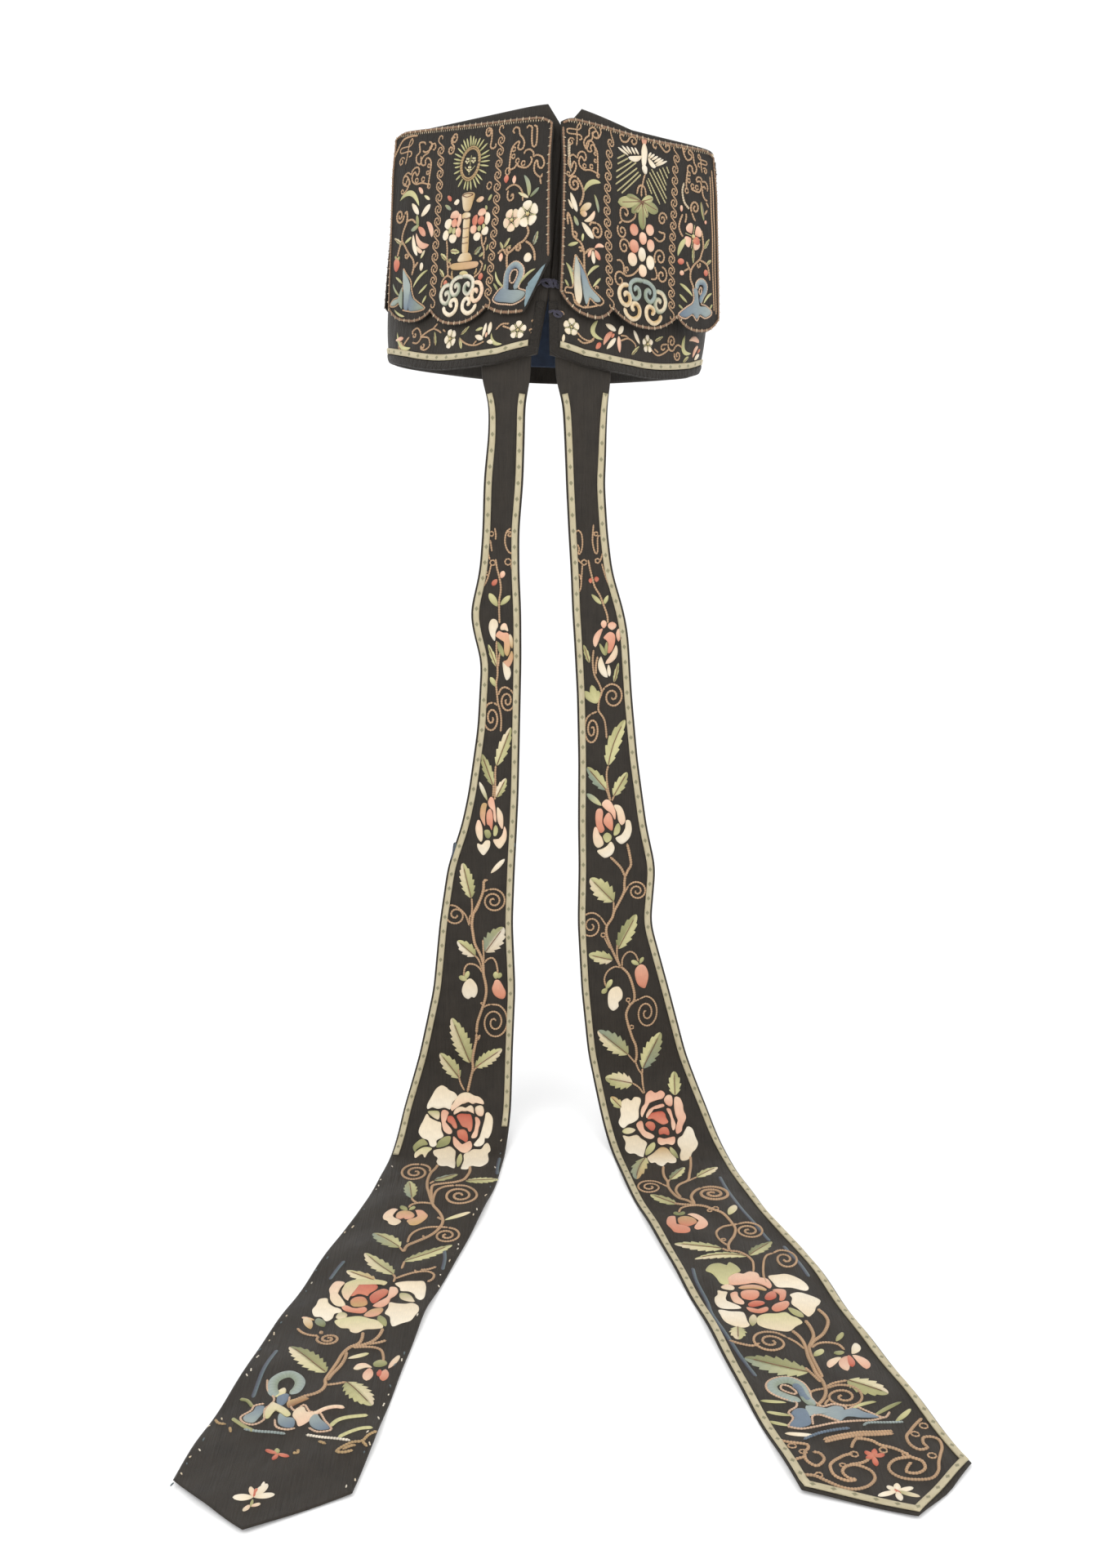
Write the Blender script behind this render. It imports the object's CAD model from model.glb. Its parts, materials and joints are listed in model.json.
"""Looks of the liturgical headdress: silk cloths, embroidery, couched gold, galloon, light and camera.

Lengths in this script are millimetres, in the frame of the part, and are scaled to metres
when a mesh is made. Each cloth is a surface function (a, b, out) -> point, and everything
that is sewn to the cloth is placed through the same function.
"""

import json
from math import cos, pi, radians, sin

import bpy
import numpy as np
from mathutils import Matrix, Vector

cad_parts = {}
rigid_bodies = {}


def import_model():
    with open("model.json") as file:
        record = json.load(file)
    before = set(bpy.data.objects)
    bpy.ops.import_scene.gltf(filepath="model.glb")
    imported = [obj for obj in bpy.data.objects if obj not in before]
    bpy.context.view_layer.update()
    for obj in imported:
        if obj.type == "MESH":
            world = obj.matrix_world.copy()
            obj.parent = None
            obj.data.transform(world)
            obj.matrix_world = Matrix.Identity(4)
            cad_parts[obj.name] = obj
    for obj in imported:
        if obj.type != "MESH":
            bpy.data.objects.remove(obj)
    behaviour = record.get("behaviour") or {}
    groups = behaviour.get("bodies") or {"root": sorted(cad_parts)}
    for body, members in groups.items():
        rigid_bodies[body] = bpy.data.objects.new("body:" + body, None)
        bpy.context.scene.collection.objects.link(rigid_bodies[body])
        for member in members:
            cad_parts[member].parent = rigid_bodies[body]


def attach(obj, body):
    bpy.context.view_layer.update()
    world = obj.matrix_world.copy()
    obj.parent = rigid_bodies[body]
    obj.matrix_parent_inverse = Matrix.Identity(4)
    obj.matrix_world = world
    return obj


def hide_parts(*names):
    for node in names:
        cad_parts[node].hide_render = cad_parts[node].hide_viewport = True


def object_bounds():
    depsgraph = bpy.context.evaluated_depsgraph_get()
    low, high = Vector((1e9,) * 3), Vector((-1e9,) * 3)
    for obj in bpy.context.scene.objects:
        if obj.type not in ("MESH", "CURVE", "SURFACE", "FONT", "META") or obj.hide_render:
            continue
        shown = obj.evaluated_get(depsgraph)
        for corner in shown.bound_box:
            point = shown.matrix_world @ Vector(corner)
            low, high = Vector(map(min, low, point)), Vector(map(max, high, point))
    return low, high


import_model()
CAD_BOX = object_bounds()
MM = 0.001

# ---- Sizes shared with the solids -----------------------------------------------------

WALL_HEIGHT = 138.0
WALL_THICKNESS = 1.5
HEM_HALF_SIDE = 88.0  # half the side of the rounded square that the wall makes
TOP_HALF_SIDE = 74.0
HEM_SQUARENESS = 2.7  # 2 is a circle, and more is squarer
TOP_SQUARENESS = 8.0
PLAN_RADIUS = 95.5  # distances round the wall are arcs of this circle, from the slit
FULL_ROUND = 2 * pi * PLAN_RADIUS
LEAN_BACK = radians(7)
ROLL_RIGHT = radians(2)
HEM_SHIFT_X = -2.5
TOP_SHIFT_X = 1.8
HEM_SAG = 8.0
HEM_DROOP = [(-110, 0), (-60, 2), (-28, 4.1), (0, 1.2), (24, 4.1), (60, 1.9), (120, 1.7), (140, 0)]
DROOP_FULL_AT = 8.0  # the droop fades out between these two heights
DROOP_ENDS_AT = 30.0
WALL_TOP_ANGLES = [-180, -90, 0, 35, 90, 180]
WALL_TOP_HEIGHTS = [138, 138, 138.5, 133.5, 135, 138]
SLIT_HEIGHT = 30.0
SLIT_HALF_WIDTH = 3.4
NOTCH_DEPTH = 14.0
NOTCH_HALF_WIDTH = 10.0
SEAM_DRIFT = 3.4  # how far the seam wanders to the right from hem to top
TRIM_START = 9.0  # where binding and galloon start beside the slit, along the hem

LINING_FOOT = 11.0
LINING_TOP = 112.0
LINING_START = 4.5  # along the hem, from the slit
LINING_DEPTH = 2.2  # in from the wall's face
LINING_THICKNESS = 0.7
CROWN_LEVEL = 118.2
CROWN_RADIUS = 80.0
CROWN_THICKNESS = 1.4

GALLOON_WIDTH = 3.6
GALLOON_LOW = 0.25
GALLOON_HIGH = 0.9
GALLOON_SWELL = 0.1
BAND_GALLOON_HEIGHT = 7.4
BINDING_WIDTH = 5.0
BINDING_HEIGHT = 2.9
BINDING_FROM_SLIT = 3.1

PANEL_THICKNESS = 1.4
PANEL_LENGTH = 108.0
PANEL_SPAN = 136.0  # between the two ends at which "top" below gives its heights
PANEL_SWING_LENGTH = 110.0
PANEL_TOP_CLEARANCE = 0.5  # where the panel is sewn on
PANEL_CLEARANCE = 1.2  # where it hangs free
PANEL_FREE_FROM = 30.0  # distance below its top edge
PANEL_BACKED_HALF_WIDTH = 52.0  # beyond it the panel runs straighter than the wall
PANEL_END_EASE = 14.0
PANEL_BLEND = 3  # softens the line where the wall starts to push the panel out
EDGE_CORD_INSET = 1.1

FLOOR_Z = CAD_BOX[0].z / MM
LAPPET_THICKNESS = 1.4
LAPPET_TOP = -26.0  # distance down the cloth of its sewn end, above the hem
LAPPET_HANG_Y = -90.0
LAPPET_BEND_RADIUS = 50.0
LAPPET_LIES_FROM = 500.0  # distance down the cloth
LAPPET_TAIL_FROM = 781.0  # from here down the rows turn towards the pointed end
LAPPET_SEWN_BEHIND = 0.6 + 0.8  # gap and lining between the wall and the lappet's sewn end
LAPPET_GALLOON_FROM = 12.0
LAPPET_GALLOON_INSET = 1.2 + GALLOON_WIDTH / 2

# edges: distances across of the top's two ends and of the bottom's two ends.
# top: heights of the top edge at its left end, middle and right end.
# swing: how far the right end of the panel's foot stands out.
# lobes: start and end across, distance down of the cusps at both, and depth below them.
# turned: the point where the turned corner's fold starts, and the fold's slope.
FAR_LOBES = [(-66, -25, 102, 102, 7), (-25, 25, 102, 102, 7), (25, 66, 102, 102, 7)]
PANELS = {
    "near_left": {
        "facing": -45,
        "edges": (-69, 70, -57, 79),
        "top": (139.5, 135.2, 131),
        "swing": 0,
        "lobes": [(-57, -13, 106, 104.5, 7), (-13, 36, 104.5, 104, 7), (36, 79, 104, 104, 5)],
        "turned": (63.5, 108, 1.8),
    },
    "near_right": {
        "facing": 45,
        "edges": (-71.5, 61, -70, 61),
        "top": (131, 131, 134.5),
        "swing": 9,
        "lobes": [(-70, -33, 97, 100.5, 9), (-33, 20, 100.5, 99, 6.5), (20, 61, 99, 101, 8)],
    },
    "far_right": {
        "facing": 135,
        "edges": (-66, 66, -66, 66),
        "top": (134.5, 136, 137),
        "swing": 0,
        "lobes": FAR_LOBES,
    },
    "far_left": {
        "facing": -135,
        "edges": (-66, 66, -66, 66),
        "top": (137, 137, 138),
        "swing": 0,
        "lobes": FAR_LOBES,
    },
}

# sections: distance down the cloth, then inner and outer edge, both from the plane x = 0.
# end: distance down of the inner edge's end, of the tip, the tip's share across, and
# distance down of the outer edge's end.
LAPPETS = {
    "right": {
        "side": 1,
        "sections": [
            (-26, 4, 42), (4, 4.5, 41.5), (16, 8.5, 38), (35, 9.5, 35.5), (63, 10.5, 33.5),
            (92, 12, 35.5), (116, 13.5, 38.5), (141, 14.5, 46), (155, 15.5, 48.5),
            (191, 17.5, 51), (231, 18.5, 55), (273, 18.5, 61), (300, 19, 67), (336, 18.5, 64.5),
            (380, 21, 76.5), (424, 25.5, 88), (460, 33, 101.5), (497, 41, 112.5),
            (535, 46.5, 119), (575, 55, 129), (613, 63.5, 142), (683, 79, 158.5),
            (744, 91, 173), (798, 103, 188), (834, 112, 197),
        ],
        "end": (834, 852, 0.57, 814),
    },
    "left": {
        "side": -1,
        "sections": [
            (-26, 9, 42), (4, 10, 41.5), (16, 13, 36), (35, 13.5, 35.5), (63, 14.5, 38),
            (92, 17, 39), (116, 17, 41), (141, 16, 47), (155, 16, 44.5), (170, 16, 40.5),
            (211, 17, 43), (252, 18, 49), (273, 19, 53.5), (300, 20.5, 62.5), (336, 22, 68),
            (380, 20.5, 72.5), (424, 22.5, 82), (460, 23.5, 92), (497, 27, 98),
            (535, 31, 103.5), (575, 38.5, 111), (613, 47, 121), (683, 64, 138),
            (744, 73, 151), (798, 80, 162.5), (840, 87, 169.5),
        ],
        "end": (836, 862, 0.53, 827),
    },
}

# ---- Cloth surfaces, worked out on whole arrays of points ------------------------------


def smooth(value):
    """A soft step from 0 to 1."""
    value = np.clip(value, 0, 1)
    return value * value * (3 - 2 * value)


def mix(a, b, share):
    """a where share is 0 and b where it is 1."""
    return a + (b - a) * share


def cap_plan(height):
    """Squareness and half side of the wall's plan at a height."""
    share = np.clip(height / WALL_HEIGHT, 0, 1)
    squareness = mix(HEM_SQUARENESS, TOP_SQUARENESS, share**0.8)
    return squareness, mix(HEM_HALF_SIDE, TOP_HALF_SIDE, share**0.7)


def place_cap(x, y, z):
    """The cap's slight shear, roll and lean, put on points of the upright cap."""
    x = x + mix(HEM_SHIFT_X, TOP_SHIFT_X, z / WALL_HEIGHT)
    x, z = x * cos(ROLL_RIGHT) + z * sin(ROLL_RIGHT), z * cos(ROLL_RIGHT) - x * sin(ROLL_RIGHT)
    y, z = y * cos(LEAN_BACK) + z * sin(LEAN_BACK), z * cos(LEAN_BACK) - y * sin(LEAN_BACK)
    return np.stack([x, y, z], axis=-1)


def hem_sag(angle, height):
    """How far the wall's near half sags and droops; both fade out upwards."""
    turn = np.arctan2(np.sin(angle), np.cos(angle))
    sag = HEM_SAG * np.abs(np.sin(2 * turn)) ** 1.5 * np.maximum(0, 1 - height / WALL_HEIGHT)
    droop = np.interp(turn * PLAN_RADIUS, *zip(*HEM_DROOP))
    faded = smooth((height - DROOP_FULL_AT) / (DROOP_ENDS_AT - DROOP_FULL_AT))
    return np.where(np.abs(turn) > pi / 2, 0, sag + droop * (1 - faded))


def wall_point(around, height, outward):
    """A point of the wall: distance round it from the slit, height, and distance off its face."""
    around, height, outward = np.broadcast_arrays(*map(np.asarray, (around, height, outward)))
    angle = around / PLAN_RADIUS
    squareness, half_side = cap_plan(height)
    across = np.abs(np.cos(angle - pi / 4)) ** squareness
    along = np.abs(np.sin(angle - pi / 4)) ** squareness
    radius = half_side / (across + along) ** (1 / squareness) + outward
    level = height - hem_sag(angle, height)
    return place_cap(radius * np.sin(angle), -radius * np.cos(angle), level)


def wall_reach(u, height):
    """How far out a face of the wall stands, u across from its middle."""
    squareness, half_side = cap_plan(height)
    return (half_side**squareness - np.abs(u) ** squareness) ** (1 / squareness)


def panel_point(panel, u, v, outward):
    """A point of a panel: distance across it from its middle, distance down, and off its back."""
    u, v, outward = np.broadcast_arrays(*map(np.asarray, (u, v, outward)))
    facing = radians(panel["facing"])
    height = np.interp((u + PANEL_SPAN / 2) / PANEL_SPAN, [0, 0.5, 1], panel["top"]) - v
    beyond = np.maximum(0, np.abs(u) - PANEL_BACKED_HALF_WIDTH)
    eased = PANEL_END_EASE * (1 - np.exp(-beyond / PANEL_END_EASE))
    backed = np.minimum(np.abs(u), PANEL_BACKED_HALF_WIDTH) + eased
    hanging, pushed = wall_reach(backed, WALL_HEIGHT), wall_reach(backed, height)
    freed = smooth(v / PANEL_FREE_FROM)
    reach = (hanging + pushed + np.hypot(hanging - pushed, PANEL_BLEND * freed)) / 2
    swing = panel["swing"] * (v / PANEL_SWING_LENGTH) * (0.5 + u / PANEL_SPAN)
    out = reach + swing + mix(PANEL_TOP_CLEARANCE, PANEL_CLEARANCE, freed) + outward
    level = height - hem_sag(facing + np.arctan2(u, out), height)
    x, y = u * cos(facing) + out * sin(facing), u * sin(facing) - out * cos(facing)
    return place_cap(x, y, level)


def lappet_profile(s):
    """The route of both lappets, seen from the side: down, round a bend and along the floor."""
    floor = FLOOR_Z + LAPPET_THICKNESS / 2
    straight = -floor - LAPPET_BEND_RADIUS
    turn = np.clip((s - straight) / LAPPET_BEND_RADIUS, 0, pi / 2)
    beyond = np.maximum(0, s - straight - LAPPET_BEND_RADIUS * pi / 2)
    y = LAPPET_HANG_Y - LAPPET_BEND_RADIUS * (1 - np.cos(turn)) - beyond
    z = -np.minimum(s, straight) - LAPPET_BEND_RADIUS * np.sin(turn)
    facing = np.stack([np.zeros_like(turn), -np.cos(turn), np.sin(turn)], axis=-1)
    return y, z, facing


def lappet_ripple(side, x, s):
    """How far the cloth stands off its plain route: soft creases above, lifted waves on the floor."""
    hanging = 0.5 * np.sin(x * 0.42 + side) * smooth((150 - s) / 60) * smooth((s - 10) / 30)
    hanging = hanging + 0.9 * np.sin(s * 0.031 + x * 0.05 + side) * smooth((s - 60) / 80)
    lying = smooth((s - LAPPET_LIES_FROM) / 60)
    waves = 0.5 + 0.5 * np.sin(s * 0.045 + x * 0.06 * side + 1.7 * side)
    lift = 1.6 * waves + 0.5 * (1 + np.sin(s * 0.13 - x * 0.09 * side))
    return hanging * (1 - lying) + lift * lying


def lappet_point(side, x, s, outward):
    """A point of a lappet: x, distance down the cloth, and off its middle. Its upper end
    follows the inside of the wall, where it is sewn on."""
    x, s, outward = np.broadcast_arrays(*(np.asarray(v, float) for v in (x, s, outward)))
    y, z, facing = lappet_profile(s)
    off = outward + lappet_ripple(side, x, s)
    hanging = np.stack([x, y, z], axis=-1) + facing * off[..., None]
    sewn_depth = -WALL_THICKNESS - LAPPET_SEWN_BEHIND - LAPPET_THICKNESS / 2
    around = (x - HEM_SHIFT_X) * 1.03
    hem_level = wall_point(around, 0, sewn_depth)[..., 2]
    sewn = wall_point(around, np.maximum(0, -s - hem_level), sewn_depth + outward)
    sewn[..., 2] = -s
    freed = smooth((s + 8) / 70)[..., None]
    return mix(sewn, hanging, freed)


# ---- Mesh helpers ----------------------------------------------------------------------


def make_object(name, points, faces, uvs=None, colours=None):
    """A mesh object from points in millimetres."""
    mesh = bpy.data.meshes.new(name)
    points = np.asarray(points, float) * MM
    mesh.from_pydata(points.tolist(), [], faces if isinstance(faces, list) else faces.tolist())
    loops = np.zeros(len(mesh.loops), np.int32)
    mesh.loops.foreach_get("vertex_index", loops)
    if uvs is not None:
        layer = mesh.uv_layers.new(name="cloth")
        layer.data.foreach_set("uv", np.asarray(uvs, np.float32)[loops].ravel())
    if colours is not None:
        attribute = mesh.color_attributes.new("dye", "FLOAT_COLOR", "POINT")
        rgba = np.concatenate([colours, np.ones((len(colours), 1))], axis=1)
        attribute.data.foreach_set("color", rgba.astype(np.float32).ravel())
    mesh.polygons.foreach_set("use_smooth", [True] * len(mesh.polygons))
    mesh.update()
    piece = bpy.data.objects.new(name, mesh)
    bpy.context.scene.collection.objects.link(piece)
    return piece


def grid_faces(rows, columns, start=0):
    """The quads of a grid of points, row by row."""
    row, column = np.meshgrid(np.arange(rows - 1), np.arange(columns - 1), indexing="ij")
    a = start + row * columns + column
    return np.stack([a, a + 1, a + columns + 1, a + columns], axis=-1).reshape(-1, 4)


def rounded_half(distance, thickness):
    """Half the cloth's thickness at a distance in from its edge, for a rolled edge."""
    reach = np.clip(distance / (thickness * 0.9), 0, 1)
    return thickness / 2 * np.sqrt(1 - (1 - reach) ** 2)


def cloth_piece(name, a, b, edge, place, thickness, material, uv_scale=0.1):
    """A closed sheet of cloth over a grid of surface coordinates a, b (rows x columns). edge is
    the distance in from the border at each grid point; the two faces meet at the border."""
    rows, columns = a.shape
    half = rounded_half(edge, thickness)
    front = place(a, b, half).reshape(-1, 3)
    back = place(a, b, -half).reshape(-1, 3)
    count = rows * columns
    front_faces = grid_faces(rows, columns)
    back_faces = grid_faces(rows, columns, count)[:, ::-1]
    border = np.arange(count).reshape(rows, columns)
    on_border = np.concatenate([border[0], border[-1], border[1:-1, 0], border[1:-1, -1]])
    twin = np.arange(2 * count)
    twin[count + on_border] = on_border
    faces = twin[np.concatenate([front_faces, back_faces])]
    used, renumbered = np.unique(faces, return_inverse=True)
    points = np.concatenate([front, back])[used]
    flat = np.stack([a.ravel(), b.ravel()], axis=1) * uv_scale
    uvs = np.concatenate([flat, flat])[used]
    piece = make_object(name, points, renumbered.reshape(faces.shape), uvs)
    fix_normals(piece)
    piece.data.materials.append(material)
    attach(piece, "root")
    return piece


def fix_normals(piece):
    """Turns the faces outwards if the closed mesh came out inside out."""
    mesh = piece.data
    mesh.calc_loop_triangles()
    corners = np.zeros(len(mesh.loop_triangles) * 3, np.int32)
    mesh.loop_triangles.foreach_get("vertices", corners)
    points = np.zeros(len(mesh.vertices) * 3)
    mesh.vertices.foreach_get("co", points)
    a, b, c = points.reshape(-1, 3)[corners].reshape(-1, 3, 3).transpose(1, 0, 2)
    if np.einsum("ij,ij->i", a, np.cross(b, c)).sum() < 0:
        mesh.flip_normals()


def spread(*stops):
    """Grid lines: (from, to, count) stretches joined end to end."""
    lines = [np.linspace(low, high, count, endpoint=False) for low, high, count in stops]
    return np.concatenate([*lines, [stops[-1][1]]])


# ---- Materials -------------------------------------------------------------------------


class Nodes:
    """Short calls for building a procedural material."""

    def __init__(self, name):
        self.material = bpy.data.materials.new(name)
        self.material.use_nodes = True
        self.tree = self.material.node_tree
        self.shader = self.tree.nodes["Principled BSDF"]

    def add(self, kind, **inputs):
        node = self.tree.nodes.new(kind)
        for key, value in inputs.items():
            socket = node.inputs[key.replace("_", " ")]
            self.feed(socket, value)
        return node

    def feed(self, socket, value):
        if isinstance(value, bpy.types.NodeSocket):
            self.tree.links.new(value, socket)
        else:
            socket.default_value = value

    def uv(self):
        node = self.tree.nodes.new("ShaderNodeUVMap")
        node.uv_map = "cloth"
        return node.outputs["UV"]

    def mapped(self, scale):
        node = self.tree.nodes.new("ShaderNodeMapping")
        self.feed(node.inputs["Vector"], self.uv())
        node.inputs["Scale"].default_value = scale
        return node.outputs["Vector"]

    def dye(self):
        node = self.tree.nodes.new("ShaderNodeVertexColor")
        node.layer_name = "dye"
        return node.outputs["Color"]

    def noise(self, vector, scale, detail):
        node = self.add("ShaderNodeTexNoise", Vector=vector, Scale=scale, Detail=detail)
        node.inputs["Roughness"].default_value = 0.55
        return node.outputs["Fac"]

    def wave(self, vector, scale, direction, distortion, detail_scale):
        node = self.add("ShaderNodeTexWave", Vector=vector, Scale=scale, Distortion=distortion)
        node.bands_direction = direction
        node.inputs["Detail Scale"].default_value = detail_scale
        return node.outputs["Fac"]

    def math(self, operation, a, b=0.0, clamp=False):
        node = self.tree.nodes.new("ShaderNodeMath")
        node.operation = operation
        node.use_clamp = clamp
        self.feed(node.inputs[0], a)
        self.feed(node.inputs[1], b)
        return node.outputs[0]

    def weigh(self, *parts):
        """The sum of node outputs, each with its weight."""
        weighed = [self.math("MULTIPLY", value, weight) for value, weight in parts]
        total = weighed[0]
        for part in weighed[1:]:
            total = self.math("ADD", total, part)
        return total

    def ramp(self, value, *stops):
        node = self.tree.nodes.new("ShaderNodeValToRGB")
        self.feed(node.inputs["Fac"], value)
        elements = node.color_ramp.elements
        while len(elements) < len(stops):
            elements.new(0.5)
        for element, (position, colour) in zip(elements, stops):
            element.position = position
            element.color = (*colour, 1.0)
        return node.outputs["Color"]

    def blend(self, share, a, b, mode="MIX"):
        node = self.tree.nodes.new("ShaderNodeMix")
        node.data_type = "RGBA"
        node.blend_type = mode
        self.feed(node.inputs["Factor"], share)
        for name, colour in (("A", a), ("B", b)):
            self.feed(node.inputs[name], (*colour, 1.0) if isinstance(colour, tuple) else colour)
        return node.outputs["Result"]

    def bump(self, height, strength, distance, normal=None):
        node = self.add("ShaderNodeBump", Height=height, Strength=strength, Distance=distance)
        if normal is not None:
            self.feed(node.inputs["Normal"], normal)
        return node.outputs["Normal"]

    def finish(self, colour, roughness, normal=None, **settings):
        self.feed(self.shader.inputs["Base Color"], colour)
        self.feed(self.shader.inputs["Roughness"], roughness)
        if normal is not None:
            self.feed(self.shader.inputs["Normal"], normal)
        for key, value in settings.items():
            self.shader.inputs[key.replace("_", " ")].default_value = value
        return self.material


def linear(red, green, blue):
    """A display colour from 0 to 255 as the linear colour that the shader takes."""
    values = np.array([red, green, blue]) / 255
    shaded = np.where(values <= 0.04045, values / 12.92, ((values + 0.055) / 1.055) ** 2.4)
    return tuple(float(v) for v in shaded)


def black_satin(name, lightness, creases=0.5):
    """Worn black satin: cloudy, with streaks and slubs, fine ribs and soft creases."""
    n = Nodes(name)
    base = np.array(linear(46, 41, 35)) * lightness
    dark = tuple(base * 0.62)
    light = tuple(base * 1.35)
    cloudy = n.noise(n.mapped((1, 1, 1)), 0.9, 4.0)
    streaks = n.noise(n.mapped((9, 0.35, 1)), 1.0, 3.0)
    slubs = n.noise(n.mapped((1.2, 26, 1)), 1.0, 2.0)
    tone = n.weigh((cloudy, 0.5), (streaks, 0.3), (slubs, 0.2))
    colour = n.ramp(tone, (0.32, dark), (0.5, tuple(base)), (0.72, light))
    rib = n.wave(n.mapped((1, 1, 1)), 9.0, "Y", 0.6, 2.0)
    warp = n.noise(n.mapped((60, 6, 1)), 1.0, 2.0)
    fine = n.weigh((rib, 0.55), (warp, 0.45))
    folds = n.noise(n.mapped((0.32, 0.14, 1)), 1.0, 3.0)
    normal = n.bump(folds, creases, 0.009)
    normal = n.bump(streaks, creases, 0.0012, normal)
    normal = n.bump(fine, 0.5, 0.00022, normal)
    roughness = n.math("ADD", n.math("MULTIPLY", cloudy, 0.22), 0.42)
    sheen = {"Sheen_Weight": 0.04, "Sheen_Roughness": 0.35, "Specular_IOR_Level": 0.22}
    return n.finish(colour, roughness, normal, **sheen)


def plain_cloth(name, colour, variation=0.25, roughness=0.75):
    """A plain weave of one colour, unevenly faded."""
    n = Nodes(name)
    base = np.array(colour)
    dark, light = tuple(base * (1 - variation)), tuple(base * (1 + variation))
    cloudy = n.noise(n.mapped((1, 1, 1)), 1.3, 4.0)
    colours = n.ramp(cloudy, (0.3, dark), (0.7, light))
    weft = n.wave(n.mapped((1, 1, 1)), 7.0, "Y", 0.8, 2.0)
    warp = n.wave(n.mapped((1, 1, 1)), 7.0, "X", 0.8, 2.0)
    normal = n.bump(n.math("MULTIPLY", weft, warp), 0.5, 0.0003)
    return n.finish(colours, roughness, normal, Sheen_Weight=0.2, Sheen_Roughness=0.5)


SATIN_PANEL = black_satin("satin_panel", 0.68)
SATIN_WALL = black_satin("satin_wall", 0.92)
SATIN_LAPPET = black_satin("satin_lappet", 1.0, 0.6)
LINING_DARK = plain_cloth("lining_dark_blue", linear(38, 52, 74))
LINING_LIGHT = plain_cloth("lining_light_blue", linear(124, 145, 151), 0.22)
BINDING = black_satin("binding_cloth", 0.85)
NAVY = plain_cloth("navy_twist", linear(44, 40, 58), 0.5, 0.6)

# ---- Stitches --------------------------------------------------------------------------

# W white, C cream, K shell, P pink, O coral, R red, D old gold, T brown, Y straw, S moss,
# G green, E grey-green, A pale blue, B blue, N navy, M couched gold, L worn ground.
DYES = {
    "W": (228, 217, 196), "C": (219, 201, 170), "K": (224, 188, 160), "P": (212, 157, 130),
    "O": (197, 123, 95), "R": (178, 84, 62), "D": (184, 151, 100), "T": (126, 86, 58),
    "Y": (196, 190, 138), "S": (160, 156, 106), "G": (122, 124, 78), "E": (132, 142, 122),
    "A": (146, 157, 152), "B": (98, 113, 128), "N": (42, 40, 60), "M": (197, 158, 120),
    "L": (88, 104, 108),
}
DYES = {key: np.array(linear(*value)) for key, value in DYES.items()}


def spline(points, steps):
    """A smooth line through all the points between the first and the last."""
    t = np.linspace(0, 1, steps, endpoint=False)[:, None]
    stretches = []
    for p0, p1, p2, p3 in zip(points, points[1:], points[2:], points[3:]):
        bend = (2 * p0 - 5 * p1 + 4 * p2 - p3) * t**2 + (3 * p1 - p0 - 3 * p2 + p3) * t**3
        stretches.append(0.5 * (2 * p1 + (p2 - p0) * t + bend))
    return np.vstack(stretches)


def curve(points, step, closed=False):
    """A smooth line through the points, in equal steps: points and distances along it."""
    points = np.array(points, float)
    if closed:
        points = np.vstack([points[-1], points, points[0], points[1]])
    else:
        points = np.vstack([2 * points[0] - points[1], points, 2 * points[-1] - points[-2]])
    fine = np.vstack([spline(points, 10), points[-2]])
    run = np.concatenate([[0], np.cumsum(np.hypot(*np.diff(fine, axis=0).T))])
    at = np.linspace(0, run[-1], max(3, int(run[-1] / step) + 1))
    line = np.stack([np.interp(at, run, fine[:, 0]), np.interp(at, run, fine[:, 1])], axis=1)
    return line, at


def coil(start, centre, turns, way=1, tall=1.0):
    """Points of a spiral that winds in from start; way 1 is clockwise with the second
    coordinate pointing down, and tall stretches it along that coordinate."""
    dx, dy = start[0] - centre[0], (start[1] - centre[1]) / tall
    share = np.linspace(0, 1, int(10 * turns) + 2)
    angle = np.arctan2(dy, dx) + way * 2 * pi * turns * share
    radius = np.hypot(dx, dy) * (1 - 0.9 * share)
    across, down = centre[0] + radius * np.cos(angle), centre[1] + tall * radius * np.sin(angle)
    return list(zip(across, down))


def shade(dyes, share):
    """Colours along a string of dyes, share running from 0 to 1."""
    stops = np.linspace(0, 1, len(dyes)) if len(dyes) > 1 else [0.0]
    table = np.array([DYES[key] for key in dyes])
    return np.stack([np.interp(share, stops, table[:, i]) for i in range(3)], axis=-1)


def oval(centre, wide, tall, count):
    """Points round an oval that reaches wide and tall from its middle."""
    angles = np.linspace(0, 2 * pi, count + 1)[:-1]
    return [(centre[0] + wide * cos(a), centre[1] + tall * sin(a)) for a in angles]


def bowed(base, tip, bend, t):
    """Points at the shares t of the way from base to tip, which bulges by bend to its right."""
    base, tip = np.array(base, float), np.array(tip, float)
    way = tip - base
    right = np.array([-way[1], way[0]]) / np.hypot(*way)
    return base + way * t[:, None] + right * (bend * 4 * t * (1 - t))[:, None]


def sides_of(line):
    """Unit normals beside a line of points."""
    along = np.gradient(line, axis=0)
    along = along / np.maximum(np.hypot(*along.T), 1e-9)[:, None]
    return np.stack([-along[:, 1], along[:, 0]], axis=1)


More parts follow.
